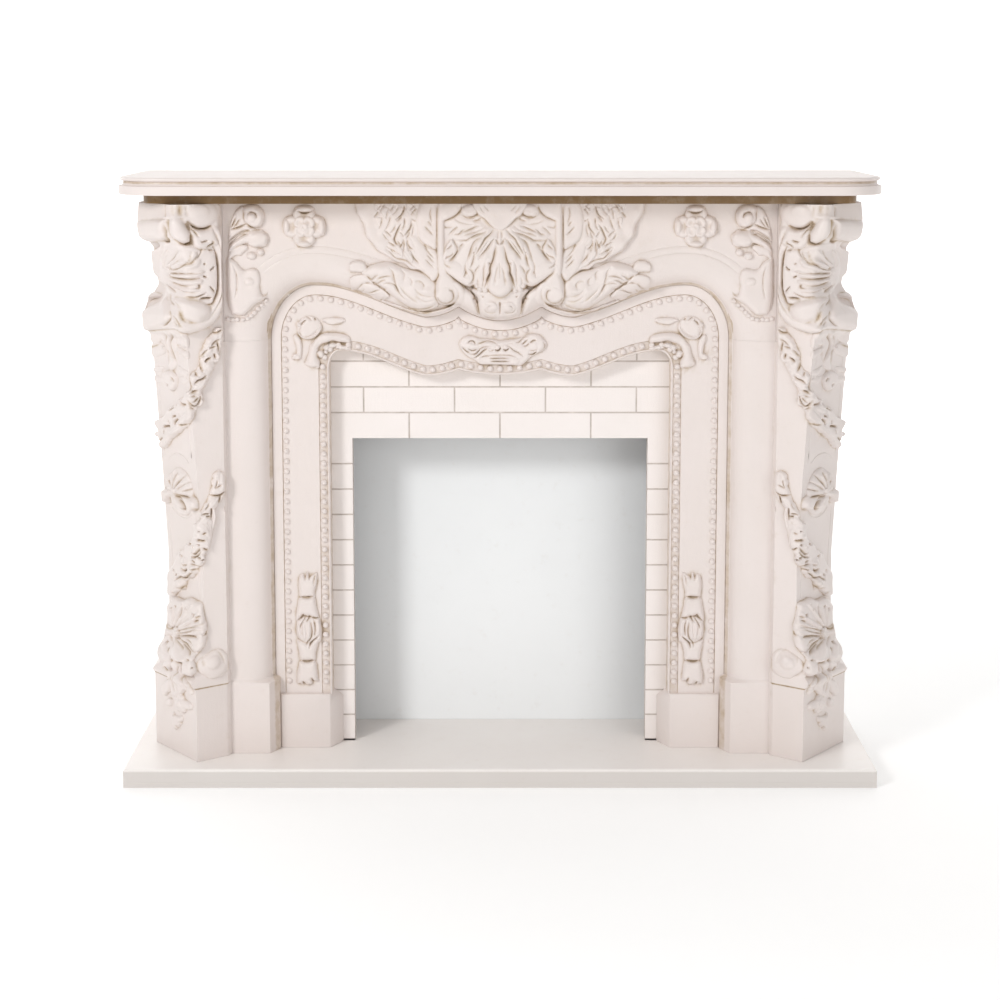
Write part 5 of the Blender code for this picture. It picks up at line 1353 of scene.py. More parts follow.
CAPITAL_FOLDS = (
    (0.0050, 0.0024, 0.0, ((152, 203), (151, 209), (152, 217))), (0.0030, 0.0024, 0.0, ((158.5, 203), (157.8, 209), (158.5, 216))),
    (0.0050, 0.0024, 0.0, ((165.5, 203), (165, 210), (166, 217))), (0.0030, 0.0024, 0.0, ((172, 203), (172, 210), (173, 216))),
    (0.0050, 0.0024, 0.0, ((179, 203), (179.5, 210), (180.5, 217))), (0.0030, 0.0024, 0.0, ((186, 203), (186.5, 210), (187, 218))),
    (0.0100, 0.0022, 0.3, ((188, 220.6), (192, 224.5), (197.4, 228), (203.5, 229), (209, 227.5), (212, 225))),
    (0.0090, 0.0020, 0.0, ((161, 240.6), (164.3, 241.6), (166.2, 238.5), (165.8, 231.4), (164.8, 223.7))),
    (0.0100, 0.0020, 0.0, ((172.8, 239), (178, 243), (183.5, 244.8), (188, 243.6), (192, 241.4), (191.4, 234.5))),
    (0.0060, 0.0015, 0.3, ((188, 221), (191, 227), (196, 233), (199, 237.5))),
    (0.0055, 0.0018, 0.3, ((187.4, 223), (189.7, 227.5), (192, 230.6))),
    (0.0070, 0.0015, 0.3, ((200.5, 242), (205, 241.4), (208, 240))),
    (0.0070, 0.0015, 0.3, ((206.6, 248.3), (209.7, 245.2), (213.5, 243), (212, 240.6))),
    (0.0060, 0.0015, 0.3, ((209, 250.6), (214.3, 249.8))),
    (0.0050, 0.0016, 0.4, ((169.7, 268), (174.3, 269.5), (179.7, 268), (184.3, 264.5), (187.4, 262), (189.7, 258.3), (191, 250))),
    (0.0045, 0.0015, 0.4, ((199, 251.4), (195.8, 258.3), (191.2, 263.7), (188, 266))),
    (0.0045, 0.0015, 0.4, ((202.8, 248.3), (200.5, 254.5), (195.8, 260))),
    (0.0035, 0.0014, 0.3, ((168, 249), (165, 253.7), (162.8, 256.8))), (0.0035, 0.0014, 0.3, ((178, 250), (174, 258), (170, 264))),
    (0.0040, 0.0014, 0.4, ((170.5, 273), (176.6, 273.7), (188, 273.7), (199, 273.3), (207, 271))),
    (0.0040, 0.0014, 0.4, ((170.5, 276), (175, 277.5), (182, 278.7), (194.3, 279), (203, 277))),
    (0.0040, 0.0014, 0.4, ((169.7, 279), (172.8, 281.4), (176.6, 283.7), (182, 285.6), (188, 286), (194.3, 285.2))),
    (0.0040, 0.0014, 0.4, ((169.7, 283), (174.3, 286.8), (180.5, 289.8), (188, 292.2), (195.8, 292.5), (200.5, 291.4))),
    (0.0060, 0.0015, 0.3, ((194.3, 288.3), (199, 288), (199.7, 286), (197.4, 284.5))),
    (0.0060, 0.0015, 0.3, ((183.5, 296), (189.7, 297.2), (195.8, 297.5), (202, 295.2), (207.4, 292.5))),
    (0.0090, 0.0020, 0.3, ((200.5, 298.7), (207.4, 298), (212.8, 298))),
    (0.0070, 0.0015, 0.3, ((209.7, 270.2), (212.8, 268.7), (214.7, 266))), (0.0070, 0.0015, 0.3, ((203, 275.8), (207.4, 277.5))),
    (0.0060, 0.0015, 0.3, ((209.7, 286), (212.8, 289), (215.8, 293))), (0.0050, 0.0016, 0.0, ((203.5, 263.5), (206, 264.5))),
    (0.0090, 0.0020, -0.3, ((213, 245), (216.6, 253), (218, 261.4), (219, 273), (219, 284.5), (218, 293), (215.8, 299),
                            (214.3, 303), (211.2, 304.5), (205, 304.8))),
    (0.0050, 0.0018, 0.0, ((212.8, 226.8), (216, 234.5), (219.5, 243.7), (222, 256), (223, 269), (223.4, 284.5),
                           (222, 294.5), (219.5, 303.7), (215, 311.4), (209.7, 318.3), (203.5, 322))),
    (0.0045, 0.0015, 0.3, ((176.6, 310.6), (179.7, 315.2), (182.8, 319.8), (186.6, 323.7))),
    (0.0050, 0.0015, 0.3, ((169.7, 314.5), (172.8, 319), (176.6, 323.7), (181.2, 327.5), (184.3, 328.3))),
    (0.0045, 0.0015, 0.3, ((170.5, 320.6), (175, 326.8))), (0.0050, 0.0015, 0.3, ((168, 311), (168.4, 318), (164, 324), (160, 326.5))),
    (0.0045, 0.0015, 0.3, ((169, 293), (168, 301), (172, 306))), (0.0050, 0.0020, 0.3, ((165, 284.5), (170, 288), (176, 293))),
)


def capital(relief):
    """Head of the pier: a fluted band, round lobes, drapery that fans out of a daisy, a double ribbon
    round it and two smooth lobes below."""
    relief.body(CAPITAL_EDGE, 0.0130, 0.008, seen=0.007)
    lay_bodies(relief, CAPITAL_LOBES)
    relief.ridge(((214, 226), (217, 234), (221.5, 244), (223.5, 256), (224, 269), (224, 284), (222, 296), (219, 306),
                  (213, 316), (205, 323), (196, 327), (187, 328.5), (176, 326)), 0.0185, 0.0080, 0.0110, 0.06, 0.016)
    relief.dome((200, 214), (0.0285, 0.0285), 0.0120, 0.0100, seen=0.016)
    relief.dome((200.5, 213), (0.0150, 0.0160), 0.0050, 0.0190, seen=0.022)
    for start, bend, end in (((170, 271.5), (184, 268), (200, 259)), ((171, 275), (186, 276), (204, 271)),
                             ((170, 279), (184, 282.5), (203, 281)), ((169, 284), (182, 290), (200, 289)),
                             ((168, 266), (177, 259), (184, 250)), ((164, 268), (164, 260), (168, 250)),
                             ((172, 268), (186, 262), (196, 252))):
        relief.ridge((start, bend, end), 0.0078, 0.0044, seen=0.018)
    relief.soften(1)
    cut_lines(relief, CAPITAL_FOLDS, 0.018, 1.15)
    relief.flower((166.6, 272.2), 0.0105, 0.0060, 6, 0.2, 0.0170, 0.25, 0.36, seen=0.022)
    relief.place = on_far_pier
    lay_bodies(relief, CAPITAL_LOBES[5:6])
    relief.dome((200, 214), (0.0270, 0.0285), 0.0120, 0.0080, seen=0.016)


# Acanthus drop under the capital
DROP_LEAVES = (
    (0.0051, 0.013, 0.0000, 0.003, ((158, 328), (162, 340), (165, 350), (166.5, 362), (170, 371), (175, 368),
                                    (177, 358), (176.5, 348), (178, 338), (183, 328), (170, 325))),
    (0.0048, 0.013, 0.0000, 0.003, ((152, 330), (152.5, 339), (153, 346), (155.8, 348), (158.8, 346), (161, 340),
                                    (163, 330))),
    (0.0042, 0.013, 0.0000, 0.003, ((155, 346), (156, 353), (158, 356.5), (162, 355), (165, 350), (161, 343))),
    (0.0051, 0.013, 0.0000, 0.003, ((177, 331), (176.5, 341), (178, 346), (182, 348.6), (186, 349.2), (189.5, 348),
                                    (190, 340), (188, 332))),
    (0.0048, 0.013, 0.0000, 0.003, ((175.5, 346), (177, 352), (180.5, 357), (184, 359.7), (188.5, 359.7),
                                    (190.5, 356), (188, 351), (182, 348))),
    (0.0100, 0.010, 0.0000, 0.003, ((163, 374), (165, 371.4), (169.2, 370.4), (173, 371.8), (176.4, 377), (177, 382.5),
                                    (175.8, 388), (172.7, 391.8), (168.8, 390), (166, 386.4), (164.2, 382))),
    (0.0036, 0.013, 0.0000, 0.003, ((156, 367), (155.6, 371), (157.5, 373.6), (160.5, 373.4), (163, 370), (162, 366))),
    (0.0036, 0.013, 0.0000, 0.003, ((177, 365), (180, 367), (185, 369), (188, 372.5), (186, 376.4), (181, 375),
                                    (178, 371))),
    (0.0033, 0.013, 0.0000, 0.003, ((177.5, 376), (179.5, 382), (182.3, 386), (186, 384.5), (188, 380), (184, 377))),
    (0.0033, 0.013, 0.0000, 0.003, ((157, 375), (158, 380), (161, 384), (163.6, 383), (163, 377))),
)
DROP_LINES = (
    (0.0065, 0.0020, 0.3, ((171.5, 333), (170.6, 340), (170.3, 346), (172.3, 352), (174.2, 358), (175.4, 364))),
    (0.0055, 0.0020, 0.3, ((164, 348), (167.4, 352.6), (168.5, 359), (168.8, 365))),
    (0.0050, 0.0020, 0.3, ((164, 333), (165, 341), (167, 348), (171, 355))),
    (0.0080, 0.0018, 0.2, ((153.5, 346.6), (155.8, 347.6), (158.5, 346), (159.2, 344.2))),
    (0.0090, 0.0018, 0.2, ((176.5, 347), (179.6, 346.2), (182, 348.3), (185, 349.1), (188.4, 348.7))),
    (0.0080, 0.0018, 0.2, ((178, 353.7), (181.2, 356.8), (184.2, 359.5), (188.2, 359.5))),
    (0.0050, 0.0018, 0.2, ((179.6, 367.3), (183.5, 368.3), (186.8, 370.6))),
    (0.0050, 0.0018, 0.2, ((180.4, 383.4), (182.3, 385.6), (185.8, 383.7))),
    (0.0060, 0.0018, 0.2, ((155.8, 373), (158.5, 372.4), (160.4, 373), (161.2, 368.7))),
    (0.0060, 0.0018, 0.0, ((172, 377.6), (173.6, 379), (175, 381.8))), (0.0040, 0.0018, 0.0, ((167.3, 383), (170, 386.4))),
    (0.0055, 0.0018, 0.3, ((166, 386.6), (169, 390.2), (172.7, 391.6), (175.6, 388.6))),
)


def acanthus_drop(relief):
    """Below the capital: a tall middle leaf with curled side lobes, and a bud with small leaves."""
    lay_bodies(relief, DROP_LEAVES)
    relief.ridge(((166.5, 332), (166.8, 342), (169, 352), (172.5, 361)), 0.0080, 0.0030, seen=0.008)
    relief.soften(1)
    cut_lines(relief, DROP_LINES, 0.005, 1.3)
    relief.dome((161.5, 348), (0.0022, 0.0022), 0.0020, 0.0060, seen=0.008)
    relief.place = on_far_pier
    lay_bodies(relief, DROP_LEAVES[3:5])
    relief.place = on_pier


# Garland that hangs over the near arris below the capital
UPPER_GARLAND = (
    (0.0120, 0.010, 0.0000, 0.008, ((221, 325), (217, 330), (213, 336), (209, 343), (205.5, 347.5), (202.6, 353),
                                    (201, 360), (198.8, 367), (195.8, 373), (193.4, 379), (191.8, 386), (188.8, 392),
                                    (186, 399), (178, 401), (172.6, 405.6), (167, 408.5), (165, 413), (160.5, 417),
                                    (157, 419), (155.6, 422), (156, 428), (153, 433), (152.6, 438), (158, 443),
                                    (160, 449), (163, 447), (168, 440.6), (172, 438), (176, 434.5), (180, 430.6),
                                    (185.5, 426.2), (191.5, 420), (196.5, 411), (200.6, 403), (202, 396),
                                    (203.5, 389), (207, 384.5), (209.6, 379), (212.8, 371.6), (216.6, 361),
                                    (220, 353), (222.6, 344), (225, 336.5), (224.6, 329))),
)
UPPER_GARLAND_LEAVES = (
    (((222, 327), (219, 336), (215.5, 345)), 0.016, 0.0080, 0.0080), (((219, 335), (213, 341), (206.5, 350)), 0.013, 0.0070, 0.0080),
    (((216, 342), (209, 350), (202.5, 358)), 0.013, 0.0070, 0.0090), (((214, 352), (217.5, 357), (216.8, 363)), 0.012, 0.0060, 0.0080),
    (((213, 356), (207, 361), (204, 372)), 0.014, 0.0070, 0.0090), (((205, 373), (199, 379), (193.4, 386)), 0.015, 0.0075, 0.0090),
    (((206, 377), (200, 386), (193, 391)), 0.015, 0.0070, 0.0090), (((198, 372), (195, 378), (194, 384)), 0.010, 0.0060, 0.0080),
    (((186, 399), (180, 402), (175, 401)), 0.012, 0.0060, 0.0080), (((184, 405), (177, 409), (167, 411)), 0.016, 0.0070, 0.0090),
    (((190, 411), (184, 418), (176, 425)), 0.018, 0.0075, 0.0090), (((178, 427), (170, 432), (163, 436)), 0.016, 0.0070, 0.0080),
    (((166, 417), (160, 421), (156.5, 420)), 0.012, 0.0060, 0.0060), (((168, 426), (161, 428), (156, 430)), 0.012, 0.0060, 0.0060),
    (((164, 436), (158, 434), (153.5, 437)), 0.013, 0.0070, 0.0060), (((167, 436), (163, 442), (160.5, 448)), 0.013, 0.0060, 0.0050),
)
UPPER_GARLAND_ROSES = (
    ((209.4, 366), 0.0125, 0.0085, 0.4), ((194, 400.5), 0.0170, 0.0100, 1.2), ((172.5, 418), 0.0190, 0.0100, 0.2),
    ((162, 432), 0.0110, 0.0070, 0.9), ((218.6, 347), 0.0085, 0.0060, 0.5),
)
UPPER_GARLAND_LINES = (
    (0.0080, 0.0018, 0.2, ((211.5, 333.3), (217.3, 332.9), (221, 331), (222.7, 329.5))),
    (0.0080, 0.0018, 0.2, ((218.5, 341), (219.2, 347), (220.4, 352.5))), (0.0070, 0.0018, 0.2, ((212, 346), (216, 342), (221, 339))),
    (0.0090, 0.0018, 0.2, ((201.5, 358.3), (205.8, 352.5), (208.8, 349.5))), (0.0070, 0.0018, 0.2, ((209.6, 348.3), (213.4, 347.5), (217, 346.4))),
    (0.0100, 0.0020, 0.2, ((205.4, 362.8), (208, 359.8), (212.3, 357.5))), (0.0090, 0.0020, 0.2, ((215.4, 353.3), (217, 359.5))),
    (0.0090, 0.0018, 0.2, ((201.5, 361.8), (202.3, 367), (203.8, 372.5))), (0.0080, 0.0018, 0.2, ((197, 371.8), (197.7, 377))),
    (0.0100, 0.0020, 0.2, ((194, 384.7), (198.8, 381), (204.2, 378.7), (207.3, 375.6))),
    (0.0080, 0.0018, 0.2, ((189.6, 394.8), (194.2, 391.8), (198.8, 390.6))), (0.0060, 0.0018, 0.2, ((191, 397.4), (195.8, 395.6))),
    (0.0080, 0.0018, 0.2, ((192, 402.6), (194.2, 402), (198.8, 397.5))),
    (0.0110, 0.0020, 0.2, ((187.3, 399.5), (188.8, 403.3), (192.7, 406.4), (197.3, 406), (200.4, 401), (201.5, 395.6))),
    (0.0070, 0.0018, 0.2, ((188, 406.6), (191.2, 409.2), (195.8, 410))), (0.0090, 0.0018, 0.2, ((177, 401.4), (180.4, 404.5), (185, 405.2))),
    (0.0070, 0.0018, 0.2, ((173, 403.4), (175.4, 407.2))), (0.0070, 0.0018, 0.2, ((166.5, 411), (170.4, 408.3), (173, 408))),
    (0.0090, 0.0018, 0.2, ((172.3, 416.8), (175.4, 415.2))), (0.0100, 0.0020, 0.2, ((172.3, 424.8), (174.5, 421), (176.8, 418.4))),
    (0.0080, 0.0018, 0.2, ((175.8, 425), (180.4, 425), (184.2, 423.4))), (0.0100, 0.0020, 0.2, ((160.4, 427), (164, 426.2), (168.4, 426.4))),
    (0.0080, 0.0018, 0.2, ((165.8, 420), (166.6, 424))), (0.0080, 0.0018, 0.2, ((160.6, 437), (159, 443))), (0.0080, 0.0018, 0.2, ((163, 430), (162.6, 434))),
)


def hang_garland(relief, bodies, leaves, roses, lines):
    """Rope of leaves and roses: one long form, with each leaf and rose laid over it and lines cut in."""
    lay_bodies(relief, bodies)
    for knots, width, height, level in leaves:
        relief.leaf(knots, width, height, level, lobes=3, notch=0.25, groove=0.35, full=0.45, seen=0.014)
    for centre, radius, height, turn in roses:
        relief.rose(centre, radius, height, turn, 0.0100, seen=0.018)
    relief.soften(1)
    cut_lines(relief, lines, 0.016)


# Medallion with its small shell
MEDALLION_LOBES = (
    (0.0060, 0.006, 0.0110, 0.014, ((173, 494), (177, 496), (181, 499), (184.5, 503), (186.4, 507.6), (189, 510.6),
                                    (191.8, 510.4), (194, 507.6), (192.6, 502), (188, 498), (181, 495.6), (175, 492))),
    (0.0060, 0.005, 0.0100, 0.014, ((173, 496), (175, 502), (177.6, 506.6), (179.4, 509), (181.8, 508.8), (182, 505.6),
                                    (180, 501.6), (176.5, 498))),
    (0.0050, 0.005, 0.0090, 0.012, ((171, 496), (171.5, 502), (174, 506), (176, 504), (175, 499))),
)
MEDALLION_LINES = (
    (0.0080, 0.0018, 0.2, ((167, 481), (169, 481.6), (171, 483.2))), (0.0050, 0.0018, 0.2, ((174, 489), (178, 481), (182, 474))),
    (0.0050, 0.0018, 0.2, ((172, 489), (173, 480), (174.6, 472))), (0.0060, 0.0018, 0.2, ((180, 491.6), (185, 490.2), (190, 488.6))),
    (0.0040, 0.0018, 0.2, ((176, 489.6), (182, 484.6), (188.4, 480.6))), (0.0070, 0.0018, 0.2, ((180.8, 471.4), (182.6, 473.8))),
    (0.0070, 0.0018, 0.2, ((187.4, 479.6), (190, 482.8))), (0.0080, 0.0019, 0.2, ((174, 492.3), (177.4, 495), (183.3, 496.7), (189, 498.6))),
    (0.0050, 0.0018, 0.2, ((190, 496.3), (196.5, 496.9))),
    (0.0080, 0.0019, 0.2, ((174, 496), (179, 497.9), (183.3, 501), (185.8, 503.6))),
    (0.0090, 0.0019, 0.2, ((177.4, 499.4), (180.8, 502.7), (182.3, 506.5), (181.8, 509.4), (179, 509.2))),
    (0.0090, 0.0019, 0.2, ((186, 507.6), (188.8, 511), (191.8, 510.8), (194.2, 508))),
)


def medallion(relief):
    """Round medallion with a small shell, its petals up and two long lobes down."""
    relief.dome((181, 491.5), (0.049, 0.049), 0.0130, seen=0.003)
    relief.fan((172.8, 491), -12, 192, (0.034, 0.040), 7, 0.0080, 0.0095, 0.4, 0.45, 0.15, 0.7, seen=0.016)
    lay_bodies(relief, MEDALLION_LOBES)
    relief.soften(1)
    cut_lines(relief, MEDALLION_LINES, 0.014)
    relief.flower((172.6, 491.4), 0.0065, 0.0050, 5, 0.3, 0.0150, seen=0.018)
    relief.place = on_far_pier
    lay_bodies(relief, MEDALLION_LOBES[:1])
    relief.place = on_pier


# Garland below the medallion
LOWER_GARLAND = (
    (0.0120, 0.010, 0.0000, 0.008, ((222, 472), (218, 478), (214, 484), (211, 491), (208.5, 499), (206, 506),
                                    (202, 511), (199.5, 517), (198, 523), (194.5, 530), (192, 537), (189, 541),
                                    (184.5, 544.5), (184, 550), (177, 552), (175, 559), (171, 566), (167.8, 571),
                                    (167, 577), (164.8, 583), (165, 590), (167.4, 595), (172, 597), (176, 592),
                                    (181.5, 587), (185.5, 580.5), (190.5, 576), (195.4, 569.6), (200.4, 562.6),
                                    (204, 556.6), (208.6, 551), (211.4, 544), (212.6, 536), (214, 528), (214, 518),
                                    (216, 509), (221, 503), (225.4, 493), (226.6, 482), (225.4, 474))),
)
LOWER_GARLAND_LEAVES = (
    (((221, 472), (220, 482), (221, 495)), 0.030, 0.0090, 0.0060), (((220, 494), (213, 503), (205, 511)), 0.017, 0.0070, 0.0090),
    (((212, 511), (206, 513), (200, 517)), 0.013, 0.0065, 0.0090), (((212, 517), (206, 520), (200, 524)), 0.013, 0.0065, 0.0090),
    (((202, 545), (206, 548), (210, 549)), 0.013, 0.0060, 0.0080), (((198, 546), (194, 550), (190, 555)), 0.014, 0.0065, 0.0090),
    (((200, 550), (194, 557), (188, 558)), 0.014, 0.0065, 0.0090), (((192, 543), (188, 545), (184.6, 546)), 0.012, 0.0060, 0.0080),
    (((184, 550), (180, 554), (177, 557)), 0.013, 0.0060, 0.0080), (((189, 560), (194, 564), (199, 563)), 0.013, 0.0060, 0.0080),
    (((193, 567), (188, 573), (181, 577)), 0.016, 0.0070, 0.0090), (((184, 574), (176, 575), (170, 572)), 0.013, 0.0060, 0.0080),
    (((181, 580), (175, 584), (171, 588)), 0.015, 0.0065, 0.0080), (((175, 590), (169, 589), (165.6, 592)), 0.015, 0.0070, 0.0050),
    (((203, 556), (200, 560), (196, 566)), 0.012, 0.0060, 0.0080),
)
LOWER_GARLAND_ROSES = (
    ((204, 530), 0.0180, 0.0095, 0.3), ((196.5, 537.5), 0.0120, 0.0080, 0.8), ((203.8, 541.5), 0.0110, 0.0070, 0.2),
    ((191, 548), 0.0110, 0.0070, 0.5), ((182, 564.5), 0.0170, 0.0090, 1.0), ((176.6, 584), 0.0120, 0.0070, 0.4),
)
LOWER_GARLAND_LINES = (
    (0.0100, 0.0020, 0.2, ((210.3, 495.8), (216, 496), (221.5, 495.4), (225.6, 491.3))),
    (0.0100, 0.0020, 0.2, ((222.3, 495.8), (220.6, 501.7), (221, 508.8))), (0.0060, 0.0018, 0.2, ((218.3, 480), (217.5, 486), (215.8, 488.6))),
    (0.0060, 0.0018, 0.2, ((215.8, 489), (219, 487.4), (223.3, 485))), (0.0060, 0.0018, 0.2, ((205, 511), (208.6, 507), (209.6, 503))),
    (0.0100, 0.0020, 0.2, ((212.4, 508.3), (212.6, 515), (212, 520.8))), (0.0090, 0.0018, 0.2, ((201, 515.6), (205.6, 514.6), (210.6, 514.2))),
    (0.0080, 0.0018, 0.2, ((206.6, 517.2), (211.6, 516.8))), (0.0090, 0.0018, 0.2, ((197.6, 531.4), (198.8, 531.2))),
    (0.0100, 0.0020, 0.2, ((194.9, 541.5), (196.6, 540.8), (198.2, 539))), (0.0100, 0.0020, 0.2, ((200.3, 540), (202.4, 541.5), (205.7, 540.2))),
    (0.0070, 0.0018, 0.2, ((202.4, 535), (206.5, 532.5))), (0.0100, 0.0020, 0.2, ((202, 548.3), (206.5, 550.2), (209.4, 549.8))),
    (0.0080, 0.0018, 0.2, ((195.8, 545), (198.2, 546.4))), (0.0090, 0.0018, 0.2, ((185.8, 544.8), (189.2, 543.6))),
    (0.0090, 0.0018, 0.2, ((191, 547), (192.4, 547.2))), (0.0100, 0.0020, 0.2, ((190, 553.3), (192.4, 554.4), (196, 551), (199.2, 547.3))),
    (0.0090, 0.0018, 0.2, ((188.7, 557.5), (194, 557), (200, 551.7))), (0.0080, 0.0018, 0.2, ((195.8, 558.3), (200, 559.3))),
    (0.0100, 0.0020, 0.0, ((201.8, 560.2), (203.2, 561.2))), (0.0090, 0.0018, 0.2, ((177.9, 555), (180.8, 557.5))),
    (0.0060, 0.0018, 0.2, ((180.8, 562.6), (182.6, 565), (186, 565))), (0.0100, 0.0020, 0.2, ((178.3, 569.2), (182.4, 571), (185.6, 568.8))),
    (0.0090, 0.0018, 0.2, ((189, 560.6), (193.2, 563.5))), (0.0070, 0.0018, 0.2, ((187.4, 564.2), (196.6, 566.8))),
    (0.0080, 0.0018, 0.2, ((188.3, 570.6), (195.4, 569))), (0.0100, 0.0020, 0.2, ((176.6, 576.3), (181.6, 578.2), (186.6, 575), (190.7, 572.3))),
    (0.0080, 0.0018, 0.2, ((171, 570), (172.4, 571.4))), (0.0080, 0.0018, 0.2, ((172.6, 575.6), (175, 573.6))),
    (0.0070, 0.0018, 0.2, ((172.5, 580), (178.3, 576.6))), (0.0090, 0.0020, 0.0, ((169, 593.4), (170.4, 593.4))),
    (0.0080, 0.0018, 0.2, ((172.5, 588.3), (177.5, 589.2), (181.6, 584.2))),
)


# Foot of the pier: round shell, leaves and rose over the plinth
FOOT_BODIES = (
    (0.0130, 0.010, 0.0000, 0.009, ((170, 600), (174, 597), (181, 600), (188, 598), (194, 601), (200, 604), (203, 611),
                                    (205.5, 619), (208, 626), (208, 634), (206.6, 642), (204.6, 649), (200, 652),
                                    (197, 655), (194, 660), (187, 661), (181, 663.6), (175, 663), (170, 658),
                                    (167, 650), (163, 641), (161.6, 634), (164, 627), (167, 621), (167.5, 612),
                                    (167, 605))),
    (0.0110, 0.012, 0.0100, 0.018, ((177, 637), (184, 641), (190, 647), (195, 653), (199, 652), (204, 648), (205.6, 641),
                                    (203, 637), (196, 636), (186, 635))),
    (0.0115, 0.012, 0.0090, 0.017, ((170.5, 637), (172, 645), (170, 652), (172.4, 658.3), (174.4, 662), (178.3, 663.5),
                                    (181.2, 661.4), (182.6, 655), (180, 647), (175.6, 640))),
    (0.0085, 0.010, 0.0080, 0.014, ((180, 645), (184.6, 652), (185, 659), (188, 661), (191, 655), (187, 648),
                                    (183, 643))),
    (0.0130, 0.012, 0.0000, 0.009, ((183, 660), (181.4, 667), (180.6, 673.6), (183.3, 677), (187.5, 678.5), (191, 678),
                                    (195.4, 675.4), (198, 671), (196.6, 665), (192, 660), (187, 658.6))),
    (0.0120, 0.012, 0.0000, 0.008, ((161, 635), (160.6, 644), (161, 652), (163, 660), (168, 662), (171, 655), (170, 645),
                                    (167, 637))),
    (0.0110, 0.010, 0.0000, 0.008, ((163, 661), (160.5, 666), (162, 671), (165, 673), (169, 670), (171, 665),
                                    (168, 660))),
    (0.0105, 0.010, 0.0000, 0.007, ((171, 661), (170, 672), (169.5, 683), (171.5, 694), (176, 697), (181, 694),
                                    (183, 684), (181.5, 672), (179, 662))),
    (0.0075, 0.008, 0.0000, 0.005, ((181, 674), (186, 681), (191, 686), (193, 689.6), (190.8, 695.4), (187, 692.6),
                                    (182, 688))),
    (0.0075, 0.008, 0.0000, 0.005, ((169, 676), (163.5, 681), (161, 687), (162, 694.6), (166, 695.6), (169.6, 690))),
    (0.0070, 0.008, 0.0000, 0.004, ((182, 700), (187, 701.4), (191, 705), (190.6, 710), (186, 710), (182, 707))),
    (0.0070, 0.008, 0.0000, 0.004, ((172, 712), (176, 716), (181.6, 716), (181, 724), (175, 730), (172, 724))),
    (0.0060, 0.006, 0.0000, 0.004, ((171, 698), (167, 698.6), (164.6, 702), (167, 706), (171, 706))),
)
FOOT_RIBS = (
    ((177, 630.5), (188, 628), (197, 624.6), (203.5, 619)), ((177.4, 632.6), (190, 631.8), (200, 629.5), (206, 626.5)),
    ((177.4, 634.4), (188, 635), (198, 633.6), (205, 632.4)), ((176.6, 628.6), (185, 624), (193, 618), (199, 612)),
    ((175, 627), (181, 619), (187, 609), (191, 603)), ((173.4, 626.6), (177, 616), (180.4, 606)),
    ((171.6, 627), (171.6, 617), (172.6, 605)), ((177, 636.6), (186, 641), (194, 645), (200, 648)),
    ((174, 638), (179, 646), (183, 656)), ((172, 638), (174, 647), (176.6, 657)), ((178, 638), (186, 646), (193, 653)),
)
